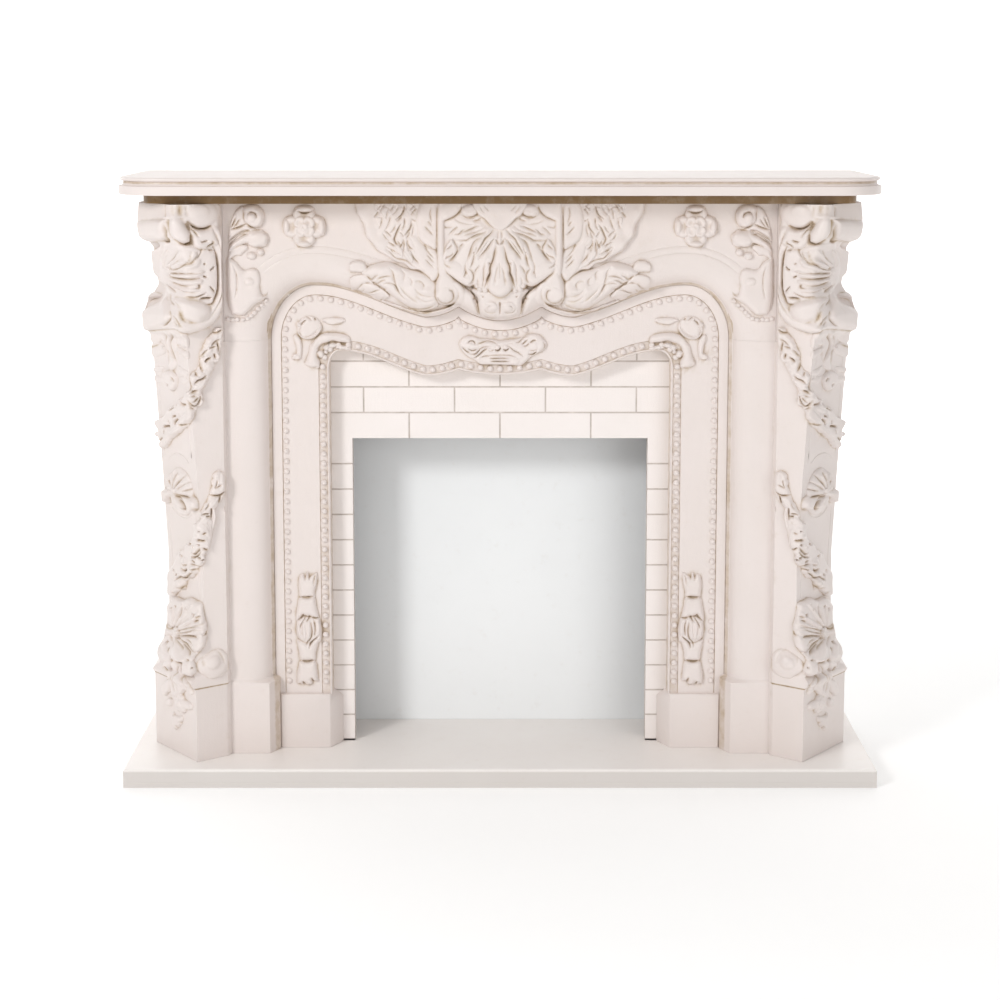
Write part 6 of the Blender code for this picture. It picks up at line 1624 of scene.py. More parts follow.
FOOT_LINES = (
    (0.0090, 0.0018, 0.2, ((167, 623.3), (170, 627.5), (173.3, 628.3), (176.3, 625.4))),
    (0.0100, 0.0020, 0.2, ((170, 608), (172, 609.2), (174.4, 610.6))), (0.0070, 0.0018, 0.2, ((175, 605.6), (177, 607.6))),
    (0.0060, 0.0018, 0.2, ((178.3, 630.8), (188.3, 628.3), (195, 626.7), (201.7, 624.2), (205, 622.3))),
    (0.0060, 0.0018, 0.2, ((178.3, 633.3), (188.3, 632), (196.7, 629.6), (203.3, 629.8))),
    (0.0090, 0.0018, 0.2, ((202.5, 635.2), (205.8, 634.8), (206.9, 630.8))),
    (0.0080, 0.0018, 0.2, ((180.8, 635.8), (191.7, 635.4), (196.7, 637), (200.4, 639))),
    (0.0090, 0.0020, 0.2, ((176.7, 635.8), (182.5, 639.2), (188.3, 645), (193.3, 651.7), (196.5, 653.2))),
    (0.0060, 0.0018, 0.2, ((186.7, 638.3), (192, 641), (196, 645.5))), (0.0080, 0.0018, 0.2, ((196, 652), (200.4, 652.6), (204.4, 647))),
    (0.0070, 0.0018, 0.2, ((175.8, 638.3), (180.8, 644.2), (184.6, 650.8))), (0.0080, 0.0018, 0.2, ((183, 643), (187.6, 649), (190, 657))),
    (0.0080, 0.0020, 0.2, ((169.6, 635.8), (172.5, 640), (176, 645.8))), (0.0090, 0.0018, 0.2, ((193.3, 657.6), (196.7, 657.4))),
    (0.0050, 0.0018, 0.2, ((182.5, 603), (182.6, 611), (180.8, 618))), (0.0050, 0.0018, 0.2, ((186, 606), (185.2, 612), (183.4, 617))),
    (0.0050, 0.0018, 0.2, ((189.4, 604), (188.6, 611))), (0.0090, 0.0018, 0.2, ((192.5, 613.8), (194, 615.4), (195.8, 615.8))),
    (0.0070, 0.0018, 0.2, ((195.8, 618.4), (200, 615.8))), (0.0060, 0.0018, 0.2, ((195, 621.6), (199.2, 620))),
    (0.0100, 0.0020, 0.2, ((165, 641.6), (167.7, 642.8))), (0.0100, 0.0020, 0.2, ((166.2, 649.4), (169.3, 647.4))),
    (0.0080, 0.0018, 0.2, ((169, 656.6), (170, 656.4))),
    (0.0100, 0.0020, 0.2, ((172.3, 658.3), (174.2, 662), (178.3, 663.5), (181, 661.7))), (0.0060, 0.0018, 0.2, ((185, 660), (187.6, 661.6))),
    (0.0080, 0.0020, 0.0, ((190.8, 668.8), (192, 668.8))),
    (0.0110, 0.0020, 0.2, ((180, 673.3), (183.3, 677), (187.5, 678.6), (190.8, 678.1), (195, 675.8), (199, 675))),
    (0.0110, 0.0020, 0.2, ((160.8, 666.5), (163, 670), (164.6, 672.2), (167.2, 668))), (0.0100, 0.0020, 0.2, ((162, 679.2), (165.2, 678.6))),
    (0.0070, 0.0018, 0.2, ((176.3, 665), (174.2, 674.2), (173.3, 683.3), (175.8, 692))),
    (0.0060, 0.0018, 0.2, ((178, 667), (179.4, 677), (181.6, 686), (182.4, 693))), (0.0060, 0.0018, 0.2, ((171.6, 674), (171, 684), (173.4, 693))),
    (0.0080, 0.0018, 0.2, ((180.8, 675), (185, 685), (188.3, 692.5), (190.8, 694.8))),
    (0.0090, 0.0018, 0.2, ((187.9, 686.5), (190, 687.4), (192.6, 689))),
    (0.0100, 0.0020, 0.2, ((162.5, 695.2), (165, 694.4), (170, 695.2))), (0.0100, 0.0020, 0.0, ((165.7, 698.2), (167, 698.4))),
    (0.0110, 0.0020, 0.2, ((170.2, 709), (173.3, 711.9), (178.3, 715.2), (182, 713.1))), (0.0090, 0.0018, 0.2, ((169.2, 715.4), (171.7, 714.2))),
    (0.0060, 0.0018, 0.2, ((184.2, 702.3), (187.5, 702.7), (190.8, 706))), (0.0090, 0.0020, 0.0, ((172.3, 727.7), (173.6, 728))),
    (0.0070, 0.0018, 0.2, ((175.8, 723.4), (178.8, 723.8))),
)


def foot_shell(relief):
    """Foot of the pier: a round shell, the leaves and rose that hang from it over the plinth, and the
    volute that ends the return."""
    relief.dome((214.3, 664.5), (0.0295, 0.0295), 0.0130, dimple=0.0, seen=0.006)
    relief.cut(((204, 668), (204.6, 658), (210, 650.6), (217, 650.6), (222.6, 656), (225, 664)), 0.0025, 0.0030, 0.2, 0.1, 0.010)
    relief.dome((214, 663.6), (0.0130, 0.0145), 0.0080, 0.0100, seen=0.016)
    lay_bodies(relief, FOOT_BODIES[:1])
    relief.swell((186, 622), (0.060, 0.036), 0.0050, 0.0, 0.012)
    for rib in FOOT_RIBS:
        relief.ridge(rib, 0.0074, 0.0046, blunt=0.3, seen=0.018)
    lay_bodies(relief, FOOT_BODIES[1:])
    relief.rose((177, 704.5), 0.0205, 0.0110, 0.4, 0.0030, seen=0.012)
    relief.soften(1)
    cut_lines(relief, FOOT_LINES, 0.013)
    relief.flower((174.2, 632.5), 0.0110, 0.0070, 6, 0.1, 0.0180, 0.25, 0.4, seen=0.024)
    relief.place = on_far_pier
    lay_bodies(relief, FOOT_BODIES[1:2])
    relief.place = on_pier


def face_border(relief):
    """Thin raised line that borders the canted face and breaks round the medallion."""
    relief.place = lambda knots, level: np.asarray(knots, float)
    level = HEARTH_TOP + 0.5505
    reach = math.radians(42)
    for direction in (-1, 1):
        angles = np.linspace(math.pi / 2 - reach, math.pi / 2 + reach, 9)
        arc = [[CENTRE + 0.066 * math.cos(angle), level + direction * 0.066 * math.sin(angle)] for angle in angles]
        relief.ridge(arc, 0.0042, 0.0018, 0.0, 0.03)
        end = FRIEZE_TOP - 0.240 if direction > 0 else PIER_PLINTH_TOP + 0.020
        for a in (0.017, FACE - 0.014):
            start = level + direction * 0.048
            relief.ridge([[a, start], [a, (start + end) / 2], [a, end]], 0.0042, 0.0018, 0.0, 0.03)
    relief.place = on_pier


def make_leg(name, node, ground_of, side, finish):
    """One leg: its body, and the carving of its upper and lower half. side is 1 on the right and -1 on the
    left."""
    head, upper, lower, foot = (pier_relief(*span) for span in (
        (0.893, FRIEZE_TOP - 0.0004), (0.652, 0.912), (0.352, 0.662), (0.085, 0.362)))
    capital(head)
    for relief in (upper, lower):
        face_border(relief)
    acanthus_drop(upper)
    hang_garland(upper, UPPER_GARLAND, UPPER_GARLAND_LEAVES, UPPER_GARLAND_ROSES, UPPER_GARLAND_LINES)
    medallion(lower)
    hang_garland(lower, LOWER_GARLAND, LOWER_GARLAND_LEAVES, LOWER_GARLAND_ROSES, LOWER_GARLAND_LINES)
    lower.ridge(((226, 489), (227.6, 497), (227.6, 505), (225.6, 513)), 0.0110, 0.0060, 0.0, seen=0.004)
    lower.ridge(((213.4, 508), (214.6, 516), (213.6, 523), (211.8, 530)), 0.0080, 0.0050, 0.0060, seen=0.008)
    foot_shell(foot)
    carvings = []
    for reliefs in ((head, upper), (lower, foot)):
        carving = Carving()
        for relief in reliefs:
            relief.h = np.minimum(relief.h, far_limit(relief.a, relief.b))
            relief.shell(carving)
        carvings.append(carving)
    whole = Carving()
    for carving in carvings:
        whole.add(carving)
    depths = Depths(whole, (-0.13, HEARTH_TOP - 0.01), (0.24, FRIEZE_TOP + 0.02))
    x, y, z, own_hollow, plan_a = leg_body()
    # Glaze and painted shade on the leg's body beside the carving, weaker than on the carving.
    near = depths.hollow(np.column_stack([plan_a.ravel(), z.ravel(), np.zeros(x.size)])).reshape(x.shape)
    near = np.clip(0.6 * near, -1.0, 0.3)
    near[plan_a < -0.4] = 0.0
    body = Carving()
    body.tube(x, z, -y, np.maximum(near, own_hollow))
    upright = lambda a, b, h: np.column_stack([side * a, -h, b])
    make_piece(name, [(body, upright, None)], finish, node)
    for part, carving in zip(("capital", "foot"), carvings):
        make_piece(f"{name}_{part}", [(carving, ground_of, depths)], finish, node)


# Beaded frame


def make_frame(finish):
    """The arched frame: rings round its section carried from one foot over the arch to the other. The
    section has a roll on the inner edge, two sunk bead tracks, a flat band and an outer border."""
    foot = HEARTH_TOP + 0.110
    outer, inner = whole_arch(frieze_arch(GAP)), whole_arch(frame_arch())
    stretch = np.linspace(0, 1, 60)[:, None]
    paths = []
    for line in (outer, inner):
        right = np.array([line[0, 0], foot]) + (line[0] - [line[0, 0], foot]) * stretch[:-1]
        left = right[::-1] * [-1, 1]
        paths.append(np.vstack([right, line, left]))
    outer, inner = paths
    outer_way, inner_way = -outward_normals(outer, 5), outward_normals(inner, 5)
    outer_steps = np.array([0.0, 0.0015, 0.0195, 0.0205, 0.0215, 0.034])
    outer_sinks = np.array([0.0012, 0.0, 0.0, 0.0022, 0.0012, 0.0012])
    inner_steps = np.array([0.0, 0.0012, 0.003, 0.0048, 0.006, 0.0195, 0.0205, 0.0215])
    inner_sinks = np.array([0.004, 0.0010, 0.0, 0.0010, 0.0026, 0.0026, 0.0030, 0.0006])
    a = [outer + outer_way * step for step in outer_steps]
    b = [inner + inner_way * step for step in inner_steps[::-1]]
    middle = [a[-1] + (b[0] - a[-1]) * share for share in np.linspace(0, 1, 14)[1:-1]]
    lines = np.stack([outer] + a + middle + b + [inner], 1)
    sinks = np.concatenate([outer_sinks, np.full(len(middle), 0.0006), inner_sinks[::-1]])
    y = np.concatenate([[BRICK_FACE - GAP], FRAME_FACE + sinks, [BRICK_FACE - GAP]])
    y = np.broadcast_to(y, lines.shape[:2])
    # Glaze and painted shade in the frame's grooves and along its edges.
    own = np.concatenate([[0.5, 0.35, 0.0, 0.05, 0.75, 0.10, 0.0], np.zeros(len(middle)),
                          [0.05, 0.6, 0.2, 0.3, 0.4, 0.0, 0.1, 0.3, 0.5]])
    body = Carving()
    body.tube(lines[..., 0], lines[..., 1], FRAME_FACE - y, np.broadcast_to(own, lines.shape[:2]))
    carving = Carving()
    for path, way, offset, pitch in ((outer, outer_way, 0.0275, 0.0205), (inner, inner_way, 0.0128, 0.0196)):
        track = path + way * offset
        track = track[track[:, 1] > HEARTH_TOP + 0.128]
        run = np.concatenate([[0.0], np.cumsum(np.hypot(*np.diff(track, axis=0).T))])
        count = int(run[-1] / pitch)
        even = np.linspace(0.004, run[-1] - 0.004, count)
        for x, z in zip(np.interp(even, run, track[:, 0]), np.interp(even, run, track[:, 1])):
            dome(carving, (x, z), (0.0062, 0.0062), 0.0062, -0.0010, sides=12, rings=5)
    corner, drop, crest = Carving(), Carving(), Carving()
    frame_corner(corner)
    husks(drop)
    frame_crest(crest)
    carving.add(crest)
    for part in (corner, drop):
        carving.add(part)
        carving.add(part.mirrored())
    for sign in (-1, 1):
        plinth_block(body, sign)
    depths = Depths(carving, (-0.50, HEARTH_TOP - 0.01), (0.50, CROWN + 0.02))

    class BandDepths:
        """The band takes the glaze and painted shade beside the carving from the carving's own map."""

        @staticmethod
        def hollow(plan):
            return depths.hollow(plan * [1, 1, 0])

    ground = flat_ground(FRAME_FACE)
    return make_piece("beaded_frame", [(body, ground, BandDepths), (carving, ground, depths)], finish,
                      "arched_frame")


def frame_relief(left, right, low, high, over_arch=False):
    """Empty relief on the frame's band; over the arch it starts at the inner edge of the frame."""
    across = np.linspace(left, right, int((right - left) / 0.0012))
    foot = np.full(len(across), low)
    if over_arch:
        arch = frame_arch()[::-1]
        edge = np.interp(abs(across), [*arch[:, 0], INNER_SIDE + 0.016], [*(arch[:, 1] + 0.0015), low])
        foot = np.maximum(edge, low)
    share = np.linspace(0, 1, int((high - low) / 0.0012))
    a = np.repeat(across[:, None], len(share), 1)
    return Relief(a, foot[:, None] + (high - foot[:, None]) * share, on_upright(FRAME_FACE))


# Left corner of the frame in pixels: leaf beside the rose, leaf below it, acanthus round the corner, berries
FRAME_CORNER_BODIES = (
    (0.0060, 0.006, 0.0, 0.005, ((321, 320), (326, 318), (332, 317.5), (339, 318), (344, 318.5), (345, 322), (341, 325),
                                 (335, 326.3), (329, 325.8), (324, 322.5))),
    (0.0060, 0.006, 0.0, 0.005, ((294, 334), (298, 336), (301.5, 341), (302.5, 347), (302, 353), (300.5, 359),
                                 (296, 361.5), (292, 359.5), (294, 356), (296.5, 353), (295.5, 345), (293, 338))),
    (0.0085, 0.011, 0.0, 0.007, ((313, 342), (318, 336), (326, 333), (334, 333), (342, 334), (349, 337), (350, 343),
                                 (344, 343.5), (338, 343), (333, 341), (327, 344), (321, 347), (318, 351),
                                 (317.5, 356), (319.5, 362), (319, 368), (313, 369), (306, 366), (303.5, 362),
                                 (307, 357), (309, 350), (310, 345))),
    (0.0060, 0.006, 0.0, 0.005, ((323, 347), (328, 344), (334, 343), (341, 345), (350, 347), (350, 350), (342, 349.5),
                                 (333, 348.5), (327, 350), (323.5, 350))),
)
FRAME_CORNER_LINES = (
    (0.0030, 0.0014, 0.2, ((304, 337), (309, 336.5), (314, 333.5), (319, 328))),
    (0.0030, 0.0014, 0.2, ((301, 326.5), (299, 331), (301, 336))),
    (0.0070, 0.0014, 0.2, ((301, 325.5), (303, 322.5), (306, 320))),
    (0.0050, 0.0014, 0.2, ((303, 318.5), (305, 316.2), (308, 318), (312, 321))),
    (0.0060, 0.0014, 0.2, ((313.5, 318.5), (316, 320.5))),
    (0.0070, 0.0015, 0.2, ((320, 321), (322.5, 325), (322.5, 329), (320, 333), (316, 337), (311, 339.6), (304, 340.2),
                           (299.5, 338))),
    (0.0080, 0.0016, 0.2, ((323.5, 321.5), (327, 325), (332, 326), (338, 325), (343, 323), (344, 320))),
    (0.0060, 0.0014, 0.2, ((301, 341), (302.5, 346), (302.3, 352), (301.5, 356))),
    (0.0080, 0.0015, 0.2, ((293, 359.5), (296, 361), (299.5, 360))),
    (0.0070, 0.0014, 0.2, ((292.5, 336.5), (294.5, 333.5))),
    (0.0100, 0.0018, 0.2, ((334, 341.5), (337, 343.2), (342, 344), (350, 345))),
    (0.0080, 0.0015, 0.2, ((317.5, 350), (320, 346.5), (323, 344.5), (329, 343), (333, 341))),
    (0.0050, 0.0014, 0.2, ((304, 364), (305.5, 361), (307, 359))),
    (0.0050, 0.0014, 0.2, ((303.5, 356), (306, 355.5))),
    (0.0050, 0.0016, 0.2, ((305, 366), (309, 368.2), (314, 368.3), (318, 367))),
    (0.0030, 0.0014, 0.2, ((312, 346), (311.5, 344), (314, 341))),
    (0.0070, 0.0014, 0.2, ((317.5, 353), (318, 357), (320, 359), (323.5, 358.5), (325, 355), (328, 354))),
    (0.0060, 0.0014, 0.2, ((328, 349), (333, 349), (337, 346.5))),
    (0.0050, 0.0014, 0.2, ((323.3, 348.5), (323.5, 353), (325.5, 355))),
)


def frame_corner(carving):
    """Corner of the frame: a cupped rose, a leaf to its side, a curled one down, and a smooth acanthus
    that wraps the inner corner over a cluster of berries."""
    relief = frame_relief(-0.426, -0.294, 0.806, 0.942, True)
    relief.dome((309.5, 328.5), (0.0255, 0.0250), 0.0085, dimple=0.15, seen=0.005)
    lay_bodies(relief, FRAME_CORNER_BODIES)
    relief.ridge(((297.5, 333), (301, 337.5), (307, 339), (313, 337.5), (318, 333.5), (320.8, 328), (320, 323)), 0.0055,
                 0.0030, seen=0.008)
    relief.swell((332, 337), (0.020, 0.008), 0.0030, 0.0, 0.009)
    relief.swell((312, 360), (0.008, 0.014), 0.0025, 0.0, 0.009)
    relief.swell((319, 342), (0.008, 0.008), -0.0025, 0.0, 0.009)
    relief.dome((296, 357.5), (0.0075, 0.0065), 0.0050, 0.0040, dimple=0.5, seen=0.008)
    relief.dome((299, 325), (0.0050, 0.0050), 0.0050, 0.0040, seen=0.008)
    for px, py, size in ((320.5, 354.5, 0.0075), (326.5, 348, 0.0055), (333, 345.5, 0.0045), (325, 352.5, 0.0045),
                         (341, 347.5, 0.0045), (347, 348.5, 0.0040)):
        relief.dome((px, py), (size, size), 0.8 * size, 0.0035, seen=0.007)
    cut_lines(relief, FRAME_CORNER_LINES, 0.008)
    relief.shell(carving)


# Drop of husks in pixels, from the crown down
HUSK_BODIES = (
    (0.0100, 0.011, 0.0, 0.008, ((299.5, 576), (303, 574.5), (305, 577), (306, 573.5), (308.5, 573.3), (309.5, 577),
                                 (313, 575), (316.5, 573), (317.3, 577), (316.5, 585), (314.8, 592), (314.5, 598),
                                 (307, 598.5), (300, 598), (298.6, 592), (298, 584))),
    (0.0110, 0.013, 0.0, 0.009, ((299, 598.5), (307, 599), (314.5, 598), (316, 606), (318, 614), (318.8, 618.5),
                                 (315, 619), (310.5, 617.5), (306, 617), (302.5, 616), (300, 619), (296, 622),
                                 (295.5, 616), (297, 607))),
    (0.0125, 0.016, 0.0, 0.010, ((297, 620), (303, 617), (311, 617), (318, 617.5), (320.5, 622), (321.6, 630),
                                 (321.4, 638), (319.5, 643), (309, 645), (300, 641), (296.5, 636), (295.8, 628))),
    (0.0105, 0.013, 0.0, 0.008, ((297, 640), (306, 642), (313, 640), (319.8, 637.5), (318, 645), (316, 653),
                                 (315, 661), (308, 661.8), (300.5, 661.3), (298.5, 652))),
    (0.0110, 0.013, 0.0, 0.008, ((299.8, 662), (307, 662.8), (315, 661.5), (317, 670), (318, 678), (318.6, 682),
                                 (313.5, 682.5), (311.5, 685.5), (308, 686), (305, 684), (303.5, 685.3), (300, 685),
                                 (297, 684.5), (296.5, 676), (298, 668))),
)
HUSK_LINES = (
    (0.0050, 0.0014, 0.0, ((305.4, 581), (305, 577), (305.6, 574))),
    (0.0070, 0.0014, 0.0, ((309, 580), (309, 576), (308.4, 573.5))),
    (0.0050, 0.0014, 0.0, ((313.6, 586), (314, 579), (316, 574))),
    (0.0080, 0.0015, 0.3, ((299.5, 597), (304, 597.8), (310, 597.4), (314.5, 597))),
    (0.0070, 0.0014, 0.2, ((303.4, 614), (301.5, 618), (297, 621.4))),
    (0.0060, 0.0014, 0.2, ((306.4, 615.6), (304, 620), (301, 625), (300.5, 629))),
    (0.0070, 0.0014, 0.2, ((309.4, 615.6), (308.5, 619), (306, 621.8))),
    (0.0030, 0.0014, 0.2, ((302, 627), (301.6, 632), (302.4, 636))),
    (0.0070, 0.0014, 0.2, ((310.5, 621.6), (311.7, 628), (311.8, 634), (310.5, 638.5), (307, 643), (306.5, 648))),
    (0.0070, 0.0014, 0.2, ((313.5, 619.5), (314.8, 625), (315, 631), (314.4, 636.8))),
    (0.0090, 0.0015, 0.2, ((319, 636), (314, 640), (310.5, 643.5), (309.3, 649))),
    (0.0070, 0.0014, 0.2, ((312, 618.2), (315.5, 618.8), (318.8, 618))),
    (0.0030, 0.0014, 0.2, ((296, 639.5), (298, 640), (300, 642.5))),
    (0.0080, 0.0015, 0.3, ((300, 660.5), (304, 661.7), (309, 661.6), (314.5, 660.5))),
    (0.0070, 0.0014, 0.0, ((297, 684.8), (301, 685))),
    (0.0100, 0.0016, 0.0, ((302.6, 681.5), (303.8, 684.4), (305.4, 684.8))),
    (0.0090, 0.0016, 0.0, ((311.2, 677.5), (312.3, 680.5), (313.5, 682.6), (317, 682.6), (320, 682.6))),
    (0.0050, 0.0014, 0.0, ((308, 684), (310, 686), (312.5, 684.6))),
)


def husks(carving):
    """Drop of husks: two waisted cups with petals at their mouths, joined by a bundle of ribs."""
    relief = frame_relief(-0.4165, -0.3525, 0.155, 0.412)
    lay_bodies(relief, HUSK_BODIES)
    for rib in (((299.6, 599.4), (306, 600.2), (314, 599.2)), ((300, 663.2), (307, 664), (314.6, 662.8)),
                ((299, 623), (298.4, 630), (299.6, 637)), ((303.6, 621), (304, 630), (305, 640)),
                ((308.4, 620), (308.8, 630), (308, 640)), ((318, 620), (319, 628), (318, 636))):
        relief.ridge(rib, 0.0060, 0.0022, seen=0.012)
    cut_lines(relief, HUSK_LINES, 0.010)
    relief.shell(carving)


# Crest in pixels
CREST_EDGE = (
    (459, 344), (463, 338), (468, 336), (474, 336.5), (480, 338.5), (490, 339), (500, 340.5), (510, 339.5), (520, 338),
    (530, 334), (538, 334.5), (543, 338), (545.5, 344), (543, 350), (537, 354), (530, 358), (525, 363), (520, 366),
    (512, 365.5), (500, 365), (488, 365), (480, 364.5), (474, 360), (468, 357), (462, 351))
CREST_LINES = (
    (0.0070, 0.0014, 0.2, ((467.5, 343.6), (471, 341), (474.5, 342.5), (475, 345.4))),
    (0.0070, 0.0014, 0.2, ((468, 348.5), (472, 351), (477.5, 349.5))),
    (0.0070, 0.0015, 0.2, ((461.6, 347), (466, 351.5), (470.5, 353.4))),
    (0.0070, 0.0014, 0.2, ((470, 354.6), (475, 354.5), (478, 352), (480.8, 348.8))),
    (0.0070, 0.0014, 0.2, ((473, 358.8), (478, 356), (483, 351.5), (487.4, 348.2))),
    (0.0060, 0.0014, 0.2, ((476.5, 344), (480, 343.6), (484, 342), (488, 341.3), (492, 342), (498.6, 344.8))),
    (0.0050, 0.0014, 0.2, ((479, 350), (483, 347.7), (487, 347), (490.6, 347.5))),
    (0.0030, 0.0014, 0.2, ((480, 354.4), (485, 350.7), (489, 348.6), (493, 348))),
    (0.0080, 0.0014, 0.2, ((495, 350), (498.5, 350.8), (500.6, 347.6))),
    (0.0040, 0.0014, 0.2, ((488.6, 351), (492, 351), (494.4, 349.3))),
    (0.0070, 0.0014, 0.2, ((503, 349.2), (506, 350.8), (509, 348.4))),
    (0.0050, 0.0014, 0.2, ((507, 344.6), (510, 347.5), (514, 351), (518.4, 353), (524, 357))),
    (0.0030, 0.0014, 0.2, ((508, 343.4), (514, 343.4))),
    (0.0060, 0.0014, 0.2, ((515.6, 342.3), (519, 342.6), (521, 340.5), (524, 338), (528.6, 335.8))),
    (0.0060, 0.0014, 0.2, ((521.6, 345.2), (525, 342.5), (528, 339.6))),
    (0.0050, 0.0014, 0.2, ((523.4, 346.7), (527, 346), (529.6, 343))),
    (0.0070, 0.0014, 0.2, ((530, 343.4), (533, 341), (536.6, 340.2))),
    (0.0050, 0.0016, 0.2, ((539.6, 352.2), (544, 349), (545, 345), (543, 341))),
    (0.0080, 0.0016, 0.2, ((528, 354.5), (533, 354.7), (537, 351.6))),
    (0.0040, 0.0014, 0.2, ((528.6, 350.5), (534, 350.7), (538.6, 348.2))),
    (0.0050, 0.0014, 0.2, ((480.6, 358.4), (484, 356.5), (490, 356.2))),
    (0.0060, 0.0014, 0.0, ((489, 355.6), (500, 355.3), (510, 355.6), (517, 357.2))),
    (0.0070, 0.0014, 0.0, ((489, 358.6), (500, 358.5), (510, 358.4))),
    (0.0070, 0.0014, 0.0, ((490, 361.6), (500, 361.7), (510, 361.6))),
)


def frame_crest(carving):
    """Crest in the middle of the frame: acanthus that spreads to a scroll on each side over a banded
    block, with two small curls in the middle."""
    relief = frame_relief(-0.090, 0.096, 0.820, 0.897, True)
    relief.body(CREST_EDGE, 0.0080, 0.007, seen=0.006)
    relief.dome((471, 345.5), (0.0170, 0.0130), 0.0045, 0.0065, seen=0.010)
    relief.dome((537, 345), (0.0180, 0.0150), 0.0050, 0.0065, seen=0.010)
    for centre, size, height, turn in (((487, 345), (0.020, 0.006), 0.0025, 0.1), ((515, 347), (0.022, 0.007), 0.0025, -0.4),
                                       ((500, 357), (0.030, 0.010), 0.0020, 0.0), ((477, 356), (0.010, 0.006), 0.0020, 0.5)):
        relief.swell(centre, size, height, turn, 0.009)
    for px, py, size in ((497.6, 348, 0.0052), (505.6, 347.6, 0.0055), (470.6, 345, 0.0050), (535, 345, 0.0060)):
        relief.dome((px, py), (size, size), 0.0040, 0.0085, seen=0.012)
    relief.dome((515.5, 361.5), (0.0090, 0.0065), 0.0035, 0.0070, seen=0.009)
    cut_lines(relief, CREST_LINES, 0.010)
    relief.shell(carving)


def plinth_block(carving, sign):
    """Plinth under the frame: an upright block, canted on its inner side, with eased edges."""
    low, high = HEARTH_TOP + GAP, HEARTH_TOP + 0.1123
    outside, inside = FRAME_HALF - 0.0104, INNER_SIDE + 0.004
    toe = INNER_SIDE - 0.019
    front, back = FRAME_FACE - 0.010, BRICK_FACE - GAP
    ring_x = np.array([outside, outside, outside - 0.002, inside + 0.002, inside - 0.001, toe, toe])
    ring_y = np.array([back, front + 0.002, front, front, front + 0.002, back - 0.004, back])
    slope = np.array([outside, outside, outside, inside, inside, inside, inside])
    levels = np.array([low, high - 0.014, high - 0.002, high])[:, None]
    share = np.array([0.0, 0.0, 0.85, 1.0])[:, None]
    inset = np.array([0.0, 0.0, 0.0, 0.002])[:, None]
    x = ring_x[None] + (np.minimum(slope, ring_x + 0.019) - ring_x)[None] * share * (ring_x < INNER_SIDE + 0.004)[None]
    y = ring_y[None] + inset * (ring_y < back - 0.01)[None]
    carving.tube(sign * x, levels + 0 * x, FRAME_FACE - y)


# Bricks, shelf and plain pieces


def make_bricks(finish):
    """Brick panel: a backing plate in three closed slabs and one slip for each brick, its front a
    low cushion with rounded edges."""
    opening_half, opening_top = 0.301, HEARTH_TOP + 0.636
    half, foot, top = PANEL_HIGH.x, HEARTH_TOP + GAP, PANEL_HIGH.z
    face, back = BRICK_FACE, PANEL_HIGH.y
    course, length, joint = 0.0528, 0.185, 0.0032
    carving = Carving()

    def slab(x0, x1, z0, z1, proud, edge, hollow):
        s = np.array([0.0, 0.0, 0.25, 0.6, 1.0])
        rise = np.array([0.0, 0.55, 0.85, 0.97, 1.0])
        u = np.concatenate([x0 + edge * s, x1 - edge * s[::-1]])
        v = np.concatenate([z0 + edge * s, z1 - edge * s[::-1]])
        lift = np.minimum(np.concatenate([rise, rise[::-1]])[:, None], np.concatenate([rise, rise[::-1]])[None])
        carving.sheet(u[:, None] + 0 * v[None], v[None] + 0 * u[:, None], proud * lift, back - face)
        plan, quads, triangles, _ = carving.shells.pop()
        carving.keep(plan, quads, triangles, hollow)

    for x0, x1, z0, z1 in ((-half, -opening_half, foot, opening_top), (opening_half, half, foot, opening_top),
                           (-half, half, opening_top, top)):
        slab(x0, x1, z0, z1, -0.0016, 0.0004, 0.75)
    for side in (-1, 1):
        rows = int(0.636 / course) + 1
        for row in range(rows):
            z1 = opening_top - row * course - joint / 2 * (row > 0)
            z0 = max(opening_top - (row + 1) * course + joint / 2, foot)
            inner, outer = side * (opening_half + 0.0001), side * half
            slab(min(inner, outer), max(inner, outer), z0, z1, 0.0, 0.0022, 0.0)
    for row in range(5):
        z0 = opening_top + row * course + joint / 2 * (row > 0)
        z1 = min(opening_top + (row + 1) * course - joint / 2, top)
        if z1 - z0 < 0.004:
            continue
        edges = [-half]
        start = -5 * length + 0.5 * length * (row % 2)
        edges += [start + index * length for index in range(12) if abs(start + index * length) < half - 0.01]
        edges.append(half)
        for x0, x1 in zip(edges, edges[1:]):
            slab(x0 + joint / 2 * (x0 > -half), x1 - joint / 2 * (x1 < half), z0, z1, 0.0, 0.0022, 0.0)
    return make_piece("brick_slips", [(carving, flat_ground(face), None)], finish, "brick_panel", 50)


